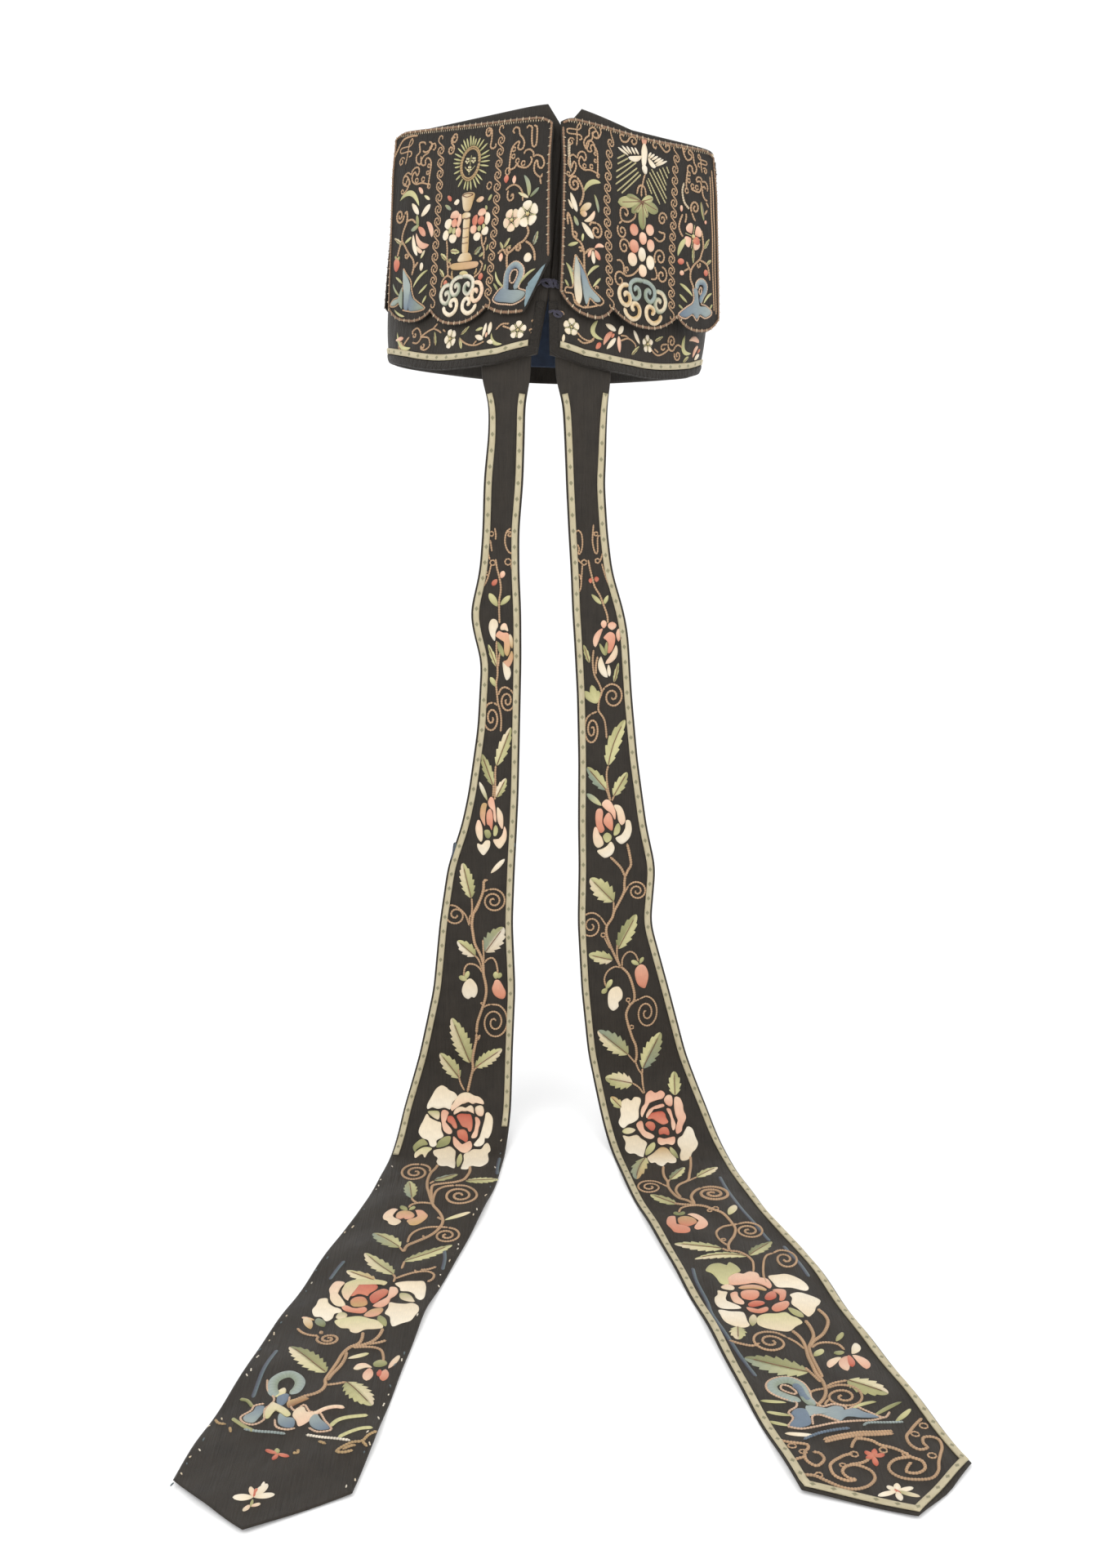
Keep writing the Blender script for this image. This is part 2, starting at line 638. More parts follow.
class Threads:
    """Stitches gathered on one cloth, in the cloth's own two coordinates and a height."""

    def __init__(self, place):
        self.place = place
        self.parts = {"silk": [], "gold": []}
        self.rng = np.random.default_rng(7)

    def add(self, kind, spots, faces, uvs, dyes):
        self.parts[kind].append((spots, faces, uvs, dyes))

    def grid(self, kind, a, b, high, uvs, dyes):
        rows, columns = a.shape
        spots = np.stack([a, b, high], axis=-1).reshape(-1, 3)
        self.add(kind, spots, grid_faces(rows, columns), uvs.reshape(-1, 2), dyes.reshape(-1, 3))

    def cord(self, points, width=1.15, dye="M", closed=False, beads=1.5, kind="gold", low=-0.1, step=0.42):
        """A couched thread: a low rounded ridge, pinched where each stitch holds it."""
        line, at = curve(points, step, closed)
        side = sides_of(line)
        ends = np.clip(np.minimum(at, at[-1] - at) / (width * 0.5), 0.25, 1)
        phase = 2 * pi * (at / beads + self.rng.random())
        swell = 1 + 0.14 * np.cos(phase)
        across = np.array([-0.5, -0.36, 0, 0.36, 0.5])
        up = np.array([0.0, 0.36, 0.52, 0.36, 0.0])
        reach = width * (swell * ends)[:, None]
        a = line[:, :1] + side[:, :1] * across * reach
        b = line[:, 1:] + side[:, 1:] * across * reach
        high = low + up * reach
        wander = np.interp(at, np.linspace(0, at[-1], 8), self.rng.uniform(0.84, 1.12, 8))
        tone = (0.86 + 0.24 * np.cos(phase)) * wander
        dyes = shade(dye, at / max(at[-1], 1e-6))[:, None] * (tone[:, None] * (0.74 + 0.5 * up))[..., None]
        uvs = np.stack(np.broadcast_arrays(at[:, None], across * width), axis=-1)
        self.grid(kind, a, b, high, uvs, dyes)

    def cords(self, *paths, **settings):
        for path in paths:
            self.cord(path, **settings)

    def ring(self, centre, radius):
        angle = np.linspace(0, 2 * pi, 9)[:-1]
        around = zip(centre[0] + radius * np.cos(angle), centre[1] + radius * np.sin(angle))
        self.cord(list(around), closed=True, width=0.95, step=0.4)

    def petal(self, base, tip, width, dyes, bend=0.0, full=0.55, blunt=0.55, lift=0.55, teeth=0):
        """A blade of satin stitch from base to tip. It bulges by bend to the right-hand side
        of that way, and two dyes split by a bar colour its left and right halves."""
        steps = 12 * teeth if teeth else 13
        t = np.linspace(0, 1, steps + 1)
        length = np.hypot(tip[0] - base[0], tip[1] - base[1])
        spine = bowed(base, tip, bend, t)
        side = sides_of(spine)
        profile = np.sin(pi * t ** (np.log(0.5) / np.log(full))) ** blunt
        if teeth:
            notch = (t * teeth) % 1
            profile = profile * np.where(t < 0.97, 1 - 0.3 * (1 - notch), 1)
        columns = np.linspace(-1, 1, 7)
        reach = width / 2 * profile[:, None] * columns
        a, b = spine[:, :1] + side[:, :1] * reach, spine[:, 1:] + side[:, 1:] * reach
        dome = np.sqrt(1 - columns**2 * 0.999)
        if "|" in dyes:
            dome = dome * (1 - 0.35 * np.exp(-((columns / 0.2) ** 2)))
        high = (lift + 0.02) * dome * np.minimum(1, profile[:, None] * 1.6)
        halves = dyes.split("|")
        flat = np.broadcast_to(t[:, None], a.shape)
        colours = np.where((columns < 0)[None, :, None], shade(halves[0], flat), shade(halves[-1], flat))
        if len(halves) > 1:
            colours = colours * (1 - 0.25 * np.exp(-((columns / 0.14) ** 2)))[None, :, None]
        colours = colours * self.rng.uniform(0.93, 1.05)
        lean = np.abs(columns) * 0.5 * width if "|" in dyes else 0
        uvs = np.stack([columns * width / 2 + 0 * flat, flat * length - lean], axis=-1)
        if teeth:
            uvs = uvs[..., ::-1]
        self.grid("silk", a, b, high, uvs, colours)

    def leaf(self, base, tip, width, dyes, teeth, bend=0.0):
        """A petal with a fine dark rib; its edge is toothed unless teeth is 0."""
        self.petal(base, tip, width, dyes, bend, 0.45, 0.62, 0.5, teeth)
        rib = bowed(base, tip, bend, np.linspace(0, 0.86, 5))
        self.cord(rib, 0.5, "T", kind="silk", low=0.42, step=1.0)

    def patch(self, outline, dyes, aim, lift=0.6):
        """A padded shape inside a smooth outline. Its threads and dyes run along aim, which
        is an angle in degrees."""
        line, _ = curve(outline, 0.7, True)
        line = line[:-1]
        centre = line.mean(axis=0)
        shares = np.array([1, 0.93, 0.78, 0.5, 0.22])
        rings = centre + (line[None] - centre) * shares[:, None, None]
        count = len(line)
        high = np.repeat((lift * np.sqrt(1 - shares**6) + 0.02)[:, None], count, 1)
        spots = np.concatenate([rings, high[..., None]], axis=2).reshape(-1, 3)
        spots = np.vstack([spots, [*centre, lift + 0.02]])
        ring, step = np.meshgrid(np.arange(len(shares) - 1), np.arange(count), indexing="ij")
        a, b = ring * count + step, ring * count + (step + 1) % count
        quads = np.stack([a, b, b + count, a + count], axis=-1).reshape(-1, 4)
        last = (len(shares) - 1) * count + np.arange(count)
        fan = np.stack([last, np.roll(last, -1), np.full(count, len(spots) - 1)], axis=1)
        flat = spots[:, :2] - centre
        way = np.array([cos(radians(aim)), sin(radians(aim))])
        along, across = flat @ way, flat @ np.array([-way[1], way[0]])
        share = (along - along.min()) / max(np.ptp(along), 1e-6)
        uvs = np.stack([across, along], axis=1)
        colours = shade(dyes, share) * self.rng.uniform(0.94, 1.04)
        self.add("silk", spots, [quads, fan], uvs, colours)

    def band(self, points, width, dyes, lift=0.8):
        """A broad padded stroke, stitched straight across, such as the curl of a cloud."""
        line, at = curve(points, 0.8)
        side = sides_of(line)
        columns = np.linspace(-1, 1, 7)
        ends = np.sqrt(np.clip(np.minimum(at, at[-1] - at) / (width * 0.5), 0.02, 1))
        reach = width / 2 * ends[:, None] * columns
        a, b = line[:, :1] + side[:, :1] * reach, line[:, 1:] + side[:, 1:] * reach
        high = lift * ends[:, None] * np.sqrt(1 - columns**2 * 0.999) + 0.02
        colours = shade(dyes, np.broadcast_to((columns + 1) / 2, a.shape))
        stripes = 1 + 0.07 * np.sin(at * 5.1)[:, None, None]
        uvs = np.stack(np.broadcast_arrays(at[:, None], columns * width / 2), axis=-1)
        self.grid("silk", a, b, high, uvs, colours * stripes)

    def build(self, name, slot):
        pieces = []
        for kind, material in (("silk", SILK), ("gold", GOLD)):
            parts = self.parts[kind]
            if not parts:
                continue
            spots = np.vstack([part[0] for part in parts])
            uvs = np.vstack([part[2] for part in parts])
            dyes = np.clip(np.vstack([part[3] for part in parts]), 0, 1)
            starts = np.cumsum([0] + [len(part[0]) for part in parts[:-1]])
            quads, fans = [], []
            for start, (_, faces, _, _) in zip(starts, parts):
                for some in faces if isinstance(faces, list) else [faces]:
                    (quads if some.shape[1] == 4 else fans).append(some + start)
            points = self.place(spots[:, 0], spots[:, 1], spots[:, 2])
            faces = [face for some in (*quads, *fans) for face in some.tolist()]
            piece = make_object(f"{name}_{kind}", points, faces, uvs, dyes)
            piece.data.materials.append(material)
            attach(piece, "root")
            pieces.append(piece)
        return pieces


def silk_material():
    """Satin stitch in its dyes: fine strands, streaked and worn."""
    n = Nodes("silk_floss")
    dye = n.dye()
    strands = n.wave(n.mapped((1, 0.03, 1)), 0.75, "X", 1.4, 1.5)
    streaks = n.noise(n.mapped((3.0, 0.22, 1)), 1.0, 3.0)
    wear = n.noise(n.mapped((0.25, 0.25, 1)), 1.0, 3.0)
    tone = n.math("ADD", n.weigh((streaks, 0.34), (strands, 0.1), (wear, 0.22)), 0.67)
    grey = n.add("ShaderNodeCombineColor")
    for channel in ("Red", "Green", "Blue"):
        n.feed(grey.inputs[channel], tone)
    colour = n.blend(1.0, dye, grey.outputs["Color"], "MULTIPLY")
    ridges = n.weigh((strands, 0.5), (streaks, 0.5))
    normal = n.bump(ridges, 0.55, 0.00022)
    return n.finish(colour, 0.5, normal, Sheen_Weight=0.15, Sheen_Roughness=0.4)


def gold_material():
    """Gold thread wrapped round a core, worn down to it in places."""
    n = Nodes("couched_gold")
    dye = n.dye()
    wraps = n.wave(n.mapped((1, 1.2, 1)), 0.9, "DIAGONAL", 0.6, 2.0)
    worn = n.noise(n.mapped((0.6, 1.5, 1)), 1.0, 3.0)
    darker = n.blend(1.0, dye, (0.62, 0.5, 0.42), "MULTIPLY")
    colour = n.blend(n.math("MULTIPLY", wraps, 0.45), dye, darker)
    colour = n.blend(n.math("MULTIPLY", worn, 0.25), colour, linear(228, 206, 172))
    normal = n.bump(wraps, 0.6, 0.00025)
    return n.finish(colour, 0.42, normal, Metallic=0.12)


SILK = silk_material()
GOLD = gold_material()

# ---- Motifs that come back ---------------------------------------------------------------


def scroll_chain(threads, middle):
    """A column of S scrolls along a middle line. Each S leaves one curl round its left side,
    crosses, and winds into the next curl from its right, so that neighbours hook together."""
    pitch, broad = 6.5, 0.94
    curl = ((0.6, 0.2), (0.7, -0.8), (-0.2, -1.6), (-1.7, -1.3), (-2.4, 0.1), (-1.9, 1.6))
    _, top = middle[0]
    _, foot = middle[-1]
    down = np.linspace(top, foot, round((foot - top) / pitch) + 1)
    across = np.interp(down, [v for _, v in middle], [u for u, _ in middle])
    step = (down[1] - down[0]) / 6
    for u0, v0, u1, v1 in zip(across, down, across[1:], down[1:]):
        out = [(u0 + x * step * broad, v0 + y * step) for x, y in curl]
        into = [(u1 - x * step * broad, v1 - y * step) for x, y in curl[::-1]]
        threads.cord([*out, ((u0 + u1) / 2, (v0 + v1) / 2), *into], width=0.9, beads=1.3, step=0.36)


def corner_scroll(threads, corner, side, across, down):
    """Lucky-cloud scrollwork in the corner of a panel. side 1 runs its foot to the right."""

    def at(*points):
        return [(corner[0] + side * across * x, corner[1] - down * y) for x, y in points]

    limb = at(
        (0.5, -0.8), (0.1, 4), (-0.1, 9), (0, 13), (1.7, 15.6), (4.5, 16.6), (5.9, 14.8), (5.2, 12.9),
        (8.2, 12.5), (9.8, 15), (8, 18), (4.4, 19.6), (3.3, 23), (0.2, 24.8), (-1.6, 23), (-0.8, 21.2),
        (1, 21.5),
    )
    foot = at(
        (0.5, 1.3), (4, 2), (7.5, 2.2), (12, 1.6), (15.7, 3.4), (16.2, 6.4), (14.2, 8.6), (11.7, 6.6),
        (10.2, 8.5), (11.2, 11), (14.2, 11.3), (16.8, 9.5), (17.7, 7.4), (21.2, 8.5), (24.7, 6),
        (25.2, 2.5), (22.7, 1), (21.6, 3.2), (20.2, 4.8), (18.7, 3), (19.7, -0.5), (22.2, -3), (24.8, -4.4),
    )
    threads.cords(limb, foot, width=1.05)
    for x, y, radius in (
        (1.9, 12, 1), (2.1, 8, 1), (-0.3, 0.3, 1.2), (5.7, 4.3, 1.3), (11.6, 3.7, 1.3), (25, -2.6, 1.2),
    ):
        threads.ring(at((x, y))[0], radius * across)


def endless_knot(threads, centre, size, way=1):
    """A knot of one cord: a long flat loop crossed by an upright that ends in a bow, and a curl."""

    def at(*points):
        return [(centre[0] + way * size * x, centre[1] + size * y) for x, y in points]

    threads.cords(
        at((0.3, -0.5), (-0.9, -0.4), (-1.15, -0.15), (-0.9, 0.1), (0.4, 0.0), (0.8, 0.1), (0.85, 0.42),
            (0.5, 0.55)),
        at((0.12, 1.25), (0.22, 0.6), (0.22, -0.2), (0.28, -0.8), (0.6, -1.2), (0.8, -0.85), (0.4, -0.5),
            (0.05, -0.5)),
        at((-0.15, 0.7), (-0.4, 0.55), (-0.75, 0.6), (-0.95, 0.95), (-0.7, 1.25), (-0.42, 1.0),
            (-0.6, 0.72)), width=0.95,
    )


def blossom(threads, centre, size, turn=0.0, petals=5, dyes="CW", broad=0.72, stamens=True):
    """Round petals about a centre, with long stamens between them."""
    for index in range(petals):
        angle = radians(turn + 360 * index / petals)
        near = (centre[0] + 0.24 * size * cos(angle), centre[1] + 0.24 * size * sin(angle))
        far = (centre[0] + size * cos(angle), centre[1] + size * sin(angle))
        threads.petal(near, far, size * broad, dyes, full=0.66, blunt=0.5)
        if stamens:
            between = angle + pi / petals
            start = (centre[0] + 0.15 * size * cos(between), centre[1] + 0.15 * size * sin(between))
            end = (centre[0] + 0.85 * size * cos(between), centre[1] + 0.85 * size * sin(between))
            middle = ((start[0] + end[0]) / 2, (start[1] + end[1]) / 2)
            threads.cord([start, middle, end], 0.5, "Y", kind="silk")
    turns = np.arange(0, 6, 0.9)
    heart = [(centre[0] + 0.16 * size * cos(t), centre[1] + 0.16 * size * sin(t)) for t in turns]
    threads.patch(heart, "YD", 90, 0.8)


def petals(threads, *rows):
    """Rows of base, tip, width, dyes and, where the petal curves, its bend."""
    for row in rows:
        threads.petal(*row)


def leaves(threads, *rows):
    """Rows of base, tip, width, dyes and the number of teeth down each side."""
    for row in rows:
        threads.leaf(*row)


# ---- The cap ---------------------------------------------------------------------------


def wall_top_height(around):
    """Height of the wall's top edge, which dips to the right of the notch."""
    degrees = np.degrees(around / PLAN_RADIUS)
    return np.interp(np.where(degrees > 180, degrees - 360, degrees), WALL_TOP_ANGLES, WALL_TOP_HEIGHTS)


def cap_wall():
    """The wall is one sheet round the cap, from one side of the seam to the other."""
    shares = spread((0, 0.006, 3), (0.006, 0.05, 8), (0.05, 0.95, 130), (0.95, 0.994, 8), (0.994, 1, 3))
    downs = spread((0, 0.012, 3), (0.012, 0.988, 34), (0.988, 1, 3))
    share, down = np.meshgrid(shares, downs)
    height = down * WALL_HEIGHT
    slit = SLIT_HALF_WIDTH * np.maximum(0, 1 - height / SLIT_HEIGHT)
    notch_foot = WALL_HEIGHT - NOTCH_DEPTH
    notch = NOTCH_HALF_WIDTH * np.maximum(0, (height - notch_foot) / NOTCH_DEPTH)
    cut = slit + notch
    start = cut + SEAM_DRIFT * height / WALL_HEIGHT
    end = FULL_ROUND - cut + SEAM_DRIFT * height / WALL_HEIGHT
    around = mix(start, end, share)
    height = down * wall_top_height(around)
    sides = np.minimum(share, 1 - share) * FULL_ROUND
    ends = np.minimum(down, 1 - down) * WALL_HEIGHT
    joined = (height > SLIT_HEIGHT) & (height < notch_foot)
    edge = np.minimum(np.where(joined, 99, sides), ends)

    def place(a, b, out):
        return wall_point(a, b, out - WALL_THICKNESS / 2)

    piece = cloth_piece("cap_cloth", around, height, edge, place, WALL_THICKNESS, SATIN_WALL)
    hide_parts("cap_wall")


# ---- The panels ------------------------------------------------------------------------


def panel_bottom(panel, u):
    """Distance down of a panel's scalloped foot, u across, less the turned-up corner."""
    bottom = np.zeros_like(u)
    for start, end, cusp_start, cusp_end, depth in panel["lobes"]:
        share = np.clip((u - start) / (end - start), 0, 1)
        curve = mix(cusp_start, cusp_end, share) + depth * (1 - np.abs(2 * share - 1) ** 2.6)
        inside = (u >= start - 1e-6) & (u <= end + 1e-6)
        bottom = np.where(inside, np.maximum(bottom, curve), bottom)
    if "turned" in panel:
        u_start, v_start, slope = panel["turned"]
        bottom = np.minimum(bottom, v_start - (u - u_start) * slope)
    return bottom


def panel_top(across):
    """How far the rounded top corners drop, at shares across."""
    from_end = np.minimum(across, 1 - across) / 0.09
    return 4 * np.maximum(0, 1 - from_end) ** 2


def panel_grid(panel, across, down):
    """Distances across and down a panel, at shares across and down."""
    top_left, top_right, bottom_left, bottom_right = panel["edges"]
    bottom_u = mix(bottom_left, bottom_right, across)
    u = mix(mix(top_left, top_right, across), bottom_u, down)
    v = mix(panel_top(across), panel_bottom(panel, bottom_u), down)
    return u, v


def panel_columns(panel, per_lobe):
    """Shares across for the columns of a panel's mesh; every cusp has its own column."""
    left, right = panel["edges"][2:]
    cusps = sorted({(lobe[0] - left) / (right - left) for lobe in panel["lobes"]} | {1.0})
    lines = [0.0, 0.004, 0.012]
    for low, high in zip(cusps, cusps[1:]):
        lines.extend(np.linspace(low, high, per_lobe + 1)[1:])
    return np.array(sorted(set(lines) | {0.988, 0.996}))


def panel_cloth(name):
    """The cloth of one panel, scalloped along its foot."""
    panel = PANELS[name]
    downs = spread((0, 0.012, 3), (0.012, 0.985, 40), (0.985, 1, 3))
    across, down = np.meshgrid(panel_columns(panel, 18), downs)
    u, v = panel_grid(panel, across, down)
    width = panel["edges"][1] - panel["edges"][0]
    edge = np.minimum(np.minimum(across, 1 - across) * width, np.minimum(down, 1 - down) * PANEL_LENGTH)

    def place(a, b, out):
        return panel_point(panel, a, b, out + PANEL_THICKNESS / 2)

    piece = cloth_piece(
        f"panel_cloth_{name}", u, v, edge, place, PANEL_THICKNESS, SATIN_PANEL,
    )
    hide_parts(f"panel_{name}")


# ---- The lappets -----------------------------------------------------------------------


def lappet_edges(lappet, s):
    """Distances of the inner and the outer edge from the plane x = 0, eased between sections."""
    at, inner, outer = np.array(lappet["sections"], float).T
    fine = np.arange(at[0], at[-1] + 1, 2.0)
    reach = 7
    blur = np.hanning(2 * reach + 1) / np.hanning(2 * reach + 1).sum()

    def ease(edge):
        padded = np.pad(np.interp(fine, at, edge), reach, "reflect", reflect_type="odd")
        return np.interp(s, fine, np.convolve(padded, blur, "valid"))

    return ease(inner), ease(outer)


def lappet_end(lappet, across):
    """Distance down of a lappet's pointed end, at shares across."""
    inner_s, tip_s, tip_across, outer_s = lappet["end"]
    return np.interp(across, [0, tip_across, 1], [inner_s, tip_s, outer_s])


def lappet_cloth(name):
    """The cloth of one lappet, from its sewn end to its point."""
    lappet = LAPPETS[name]
    across_lines = sorted({*spread((0, 0.03, 3), (0.03, 0.97, 22), (0.97, 1, 3)), lappet["end"][2]})
    first, last = LAPPET_TOP + 1, LAPPET_TAIL_FROM - 1
    s_lines = spread((LAPPET_TOP, first, 2), (first, last, 300), (last, LAPPET_TAIL_FROM, 1))
    tail = spread((0, 0.97, 22), (0.97, 1, 3))
    across, s = np.meshgrid(np.array(across_lines), s_lines)
    tail_across, tail_share = np.meshgrid(np.array(across_lines), tail[1:])
    tail_s = mix(LAPPET_TAIL_FROM, lappet_end(lappet, tail_across), tail_share)
    across, s = np.concatenate([across, tail_across]), np.concatenate([s, tail_s])
    inner, outer = lappet_edges(lappet, s)
    end = lappet_end(lappet, across)
    edge = np.minimum(np.minimum(across, 1 - across) * (outer - inner), np.minimum(s - LAPPET_TOP, end - s))
    side = lappet["side"]
    x = mix(inner, outer, across) * side

    def place(a, b, out):
        return lappet_point(side, a, b, out)

    piece = cloth_piece(
        f"lappet_cloth_{name}", x, s, edge, place, LAPPET_THICKNESS, SATIN_LAPPET,
    )
    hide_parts(f"lappet_{name}")


# ---- Strips and trims --------------------------------------------------------------------


def strip_piece(name, path, width, low, high, place, material, swell):
    """A band of braid or tape along a path on a cloth, mitred at corners, with a soft crown."""
    path = np.array(path, float)
    run = np.concatenate([[0], np.cumsum(np.hypot(*np.diff(path, axis=0).T))])
    at = np.unique(np.concatenate([np.arange(0, run[-1], 1.6), run]))
    line = np.stack([np.interp(at, run, path[:, 0]), np.interp(at, run, path[:, 1])], axis=1)
    along = np.diff(line, axis=0)
    along = along / np.hypot(*along.T)[:, None]
    before, after = np.vstack([along[:1], along]), np.vstack([along, along[-1:]])
    middle = before + after
    middle = middle / np.maximum(np.hypot(*middle.T), 0.2)[:, None]
    stretch = 1 / np.maximum(0.4, (middle * after).sum(axis=1))
    side = np.stack([-middle[:, 1], middle[:, 0]], axis=1) * stretch[:, None]
    across = np.array([-0.5, -0.44, -0.15, 0.15, 0.44, 0.5, 0.44, -0.44])
    heights = np.array([low, high, high, high, high, low, low, low], float)
    heights[2:4] += swell
    reach = across * width
    a = line[:, :1] + side[:, :1] * reach
    b = line[:, 1:] + side[:, 1:] * reach
    points = place(a, b, np.broadcast_to(heights, a.shape)).reshape(-1, 3)
    rows, count = a.shape
    row, column = np.meshgrid(np.arange(rows - 1), np.arange(count), indexing="ij")
    first, second = row * count + column, row * count + (column + 1) % count
    quads = np.stack([first, second, second + count, first + count], axis=-1).reshape(-1, 4)
    caps = [tuple(range(count)), tuple((rows - 1) * count + np.arange(count)[::-1])]
    uvs = np.stack(np.broadcast_arrays(at[:, None], reach), axis=-1).reshape(-1, 2)
    piece = make_object(name, points, quads.tolist() + [tuple(int(i) for i in cap) for cap in caps], uvs)
    fix_normals(piece)
    piece.data.materials.append(material)
    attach(piece, "root")
    return piece


def galloon_material():
    """Cream braid: a fine rib, two raised edges and green-brown lozenges along its middle."""
    n = Nodes("galloon")
    split = n.add("ShaderNodeSeparateXYZ", Vector=n.uv())
    along, across = split.outputs["X"], split.outputs["Y"]
    cell = n.math("ABSOLUTE", n.math("SUBTRACT", n.math("FRACT", n.math("DIVIDE", along, 9.4)), 0.5))
    ragged = n.math("MULTIPLY", n.noise(n.mapped((1.6, 2.6, 1)), 1.0, 3.0), 0.16)
    far = n.math("ADD", n.math("MULTIPLY", cell, 3.6), n.math("MULTIPLY", n.math("ABSOLUTE", across), 0.52))
    lozenge = n.math("MULTIPLY", n.math("SUBTRACT", 0.8, n.math("ADD", far, ragged)), 3.5, clamp=True)
    ribs = n.wave(n.mapped((1, 0.0, 1)), 1.15, "X", 0.4, 2.0)
    weft = n.wave(n.mapped((0.0, 1, 1)), 0.9, "Y", 0.6, 2.0)
    stain = n.noise(n.mapped((0.12, 0.3, 1)), 1.0, 4.0)
    pale = n.blend(stain, linear(238, 228, 196), linear(196, 180, 140))
    threads = n.blend(n.math("MULTIPLY", ribs, 0.34), pale, linear(150, 138, 104))
    colour = n.blend(n.math("MULTIPLY", lozenge, 0.74), threads, linear(118, 116, 84))
    normal = n.bump(n.math("ADD", ribs, n.math("MULTIPLY", weft, 0.6)), 0.7, 0.0003)
    return n.finish(colour, 0.6, normal)


GALLOON = galloon_material()


def cap_lining():
    """The lining inside the wall, slightly rippled."""
    end = FULL_ROUND - LINING_START
    arounds = spread((LINING_START, 9, 3), (9, FULL_ROUND - 9, 110), (FULL_ROUND - 9, end, 3))
    heights = spread((LINING_FOOT, 13, 3), (13, 110, 24), (110, LINING_TOP, 3))
    around, height = np.meshgrid(arounds, heights)
    sides = np.minimum(around - LINING_START, end - around)
    edge = np.minimum(sides, np.minimum(height - LINING_FOOT, LINING_TOP - height))

    def place(a, b, out):
        return wall_point(a, b, out - LINING_DEPTH + 0.12 * np.sin(a * 0.4 + b * 0.1))

    thickness, slot = LINING_THICKNESS, "dark_blue_lining"
    piece = cloth_piece("lining_cloth", around, height, edge, place, thickness, LINING_DARK)
    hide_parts("cap_lining")


def crown_top():
    """The plain top, drawn a little low in its middle, with soft radial puckers at its rim."""
    shares = spread((0.02, 0.94, 18), (0.94, 1, 4))
    around, share = np.meshgrid(np.linspace(0, FULL_ROUND, 97), shares)
    edge = (1 - share) * CROWN_RADIUS

    def place(a, b, out):
        rim = wall_point(a, CROWN_LEVEL + 0 * a, -2.3)
        centre = place_cap(*np.broadcast_arrays(0.0 * a, 0.0, CROWN_LEVEL + 0 * a))
        lift = 0.35 * np.sin(a * 0.5) * smooth((b - 0.5) * 2) * smooth((1 - b) * 8) - 0.4 * smooth(1 - b)
        point = mix(centre, rim, b[..., None])
        point[..., 2] += lift + out
        return point

    thickness, slot = CROWN_THICKNESS, "black_satin"
    piece = cloth_piece("crown_cloth", around, share, edge, place, thickness, SATIN_WALL, 1.0)
    piece.data.uv_layers["cloth"].data.foreach_set("uv", plan_uvs(piece))
    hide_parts("crown_top")


def plan_uvs(piece):
    """Cloth coordinates straight from the plan, in centimetres, for the round top."""
    corners = [piece.data.vertices[loop.vertex_index].co for loop in piece.data.loops]
    return np.array([(corner.x * 100, corner.y * 100) for corner in corners]).ravel()


def hem_binding():
    """The tape along the hem that turns up both sides of the slit."""
    arounds = np.arange(TRIM_START, FULL_ROUND - TRIM_START + 0.1, 4.0)
    slit_rows = [28, 24, 20, 16, 12, 8, 4]
    right = [(SLIT_HALF_WIDTH * (1 - h / SLIT_HEIGHT) + BINDING_FROM_SLIT, h) for h in slit_rows]
    left = [(FULL_ROUND - a, h) for a, h in right[::-1]]
    path = [*right, *((around, BINDING_HEIGHT) for around in arounds), *left]
    width, slot = BINDING_WIDTH, "black_binding"
    piece = strip_piece("binding_tape", path, width, 0.25, 1.05, wall_point, BINDING, 0.15)
    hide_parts("hem_binding")


def braid_piece(name, path, place):
    """A length of galloon along a path."""
    low, high, swell = GALLOON_LOW, GALLOON_HIGH, GALLOON_SWELL
    return strip_piece(name, path, GALLOON_WIDTH, low, high, place, GALLOON, swell)


def band_galloon():
    """The galloon above the binding, from one side of the slit round to the other."""
    arounds = np.arange(TRIM_START, FULL_ROUND - TRIM_START + 0.1, 3.0)
    path = [(around, BAND_GALLOON_HEIGHT) for around in arounds]
    piece = braid_piece("band_braid", path, wall_point)
    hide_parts("band_galloon")


def lappet_galloons():
    """One galloon runs round the right lappet; the left one has one along each edge."""
    inset = LAPPET_GALLOON_INSET

    def edge_path(lappet, edge, stop):
        s = np.arange(LAPPET_GALLOON_FROM, stop, 4.0)
        inner, outer = lappet_edges(lappet, s)
        x = inner + inset if edge == 0 else outer - inset
        return [(lappet["side"] * across, down) for across, down in zip(x, s)]

    def place_on(lappet):
        return lambda a, b, out: lappet_point(lappet["side"], a, b, out + LAPPET_THICKNESS / 2)

    right, left = LAPPETS["right"], LAPPETS["left"]
    inner_s, tip_s, tip_across, outer_s = right["end"]
    inner_end, outer_end = (float(lappet_edges(right, end)[i]) for i, end in enumerate((inner_s, outer_s)))
    tip_inner, tip_outer = lappet_edges(right, tip_s)
    tip = (mix(tip_inner, tip_outer, tip_across), tip_s - inset * 1.25)
    corner_in = (inner_end + inset, inner_s - inset * 0.8)
    corner_out = (outer_end - inset * 1.05, outer_s - inset * 0.55)
    down = edge_path(right, 0, inner_s - inset)
    up = edge_path(right, 1, outer_s - inset)[::-1]
    path = [*down, corner_in, tip, corner_out, *up]
    piece = braid_piece("braid_right", path, place_on(right))
    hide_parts("lappet_galloon_right")
    for name, edge, stop in (("inner", 0, 473), ("outer", 1, 497)):
        path = edge_path(left, edge, stop)
        piece = braid_piece(f"braid_left_{name}", path, place_on(left))
        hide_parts(f"lappet_galloon_left_{name}")


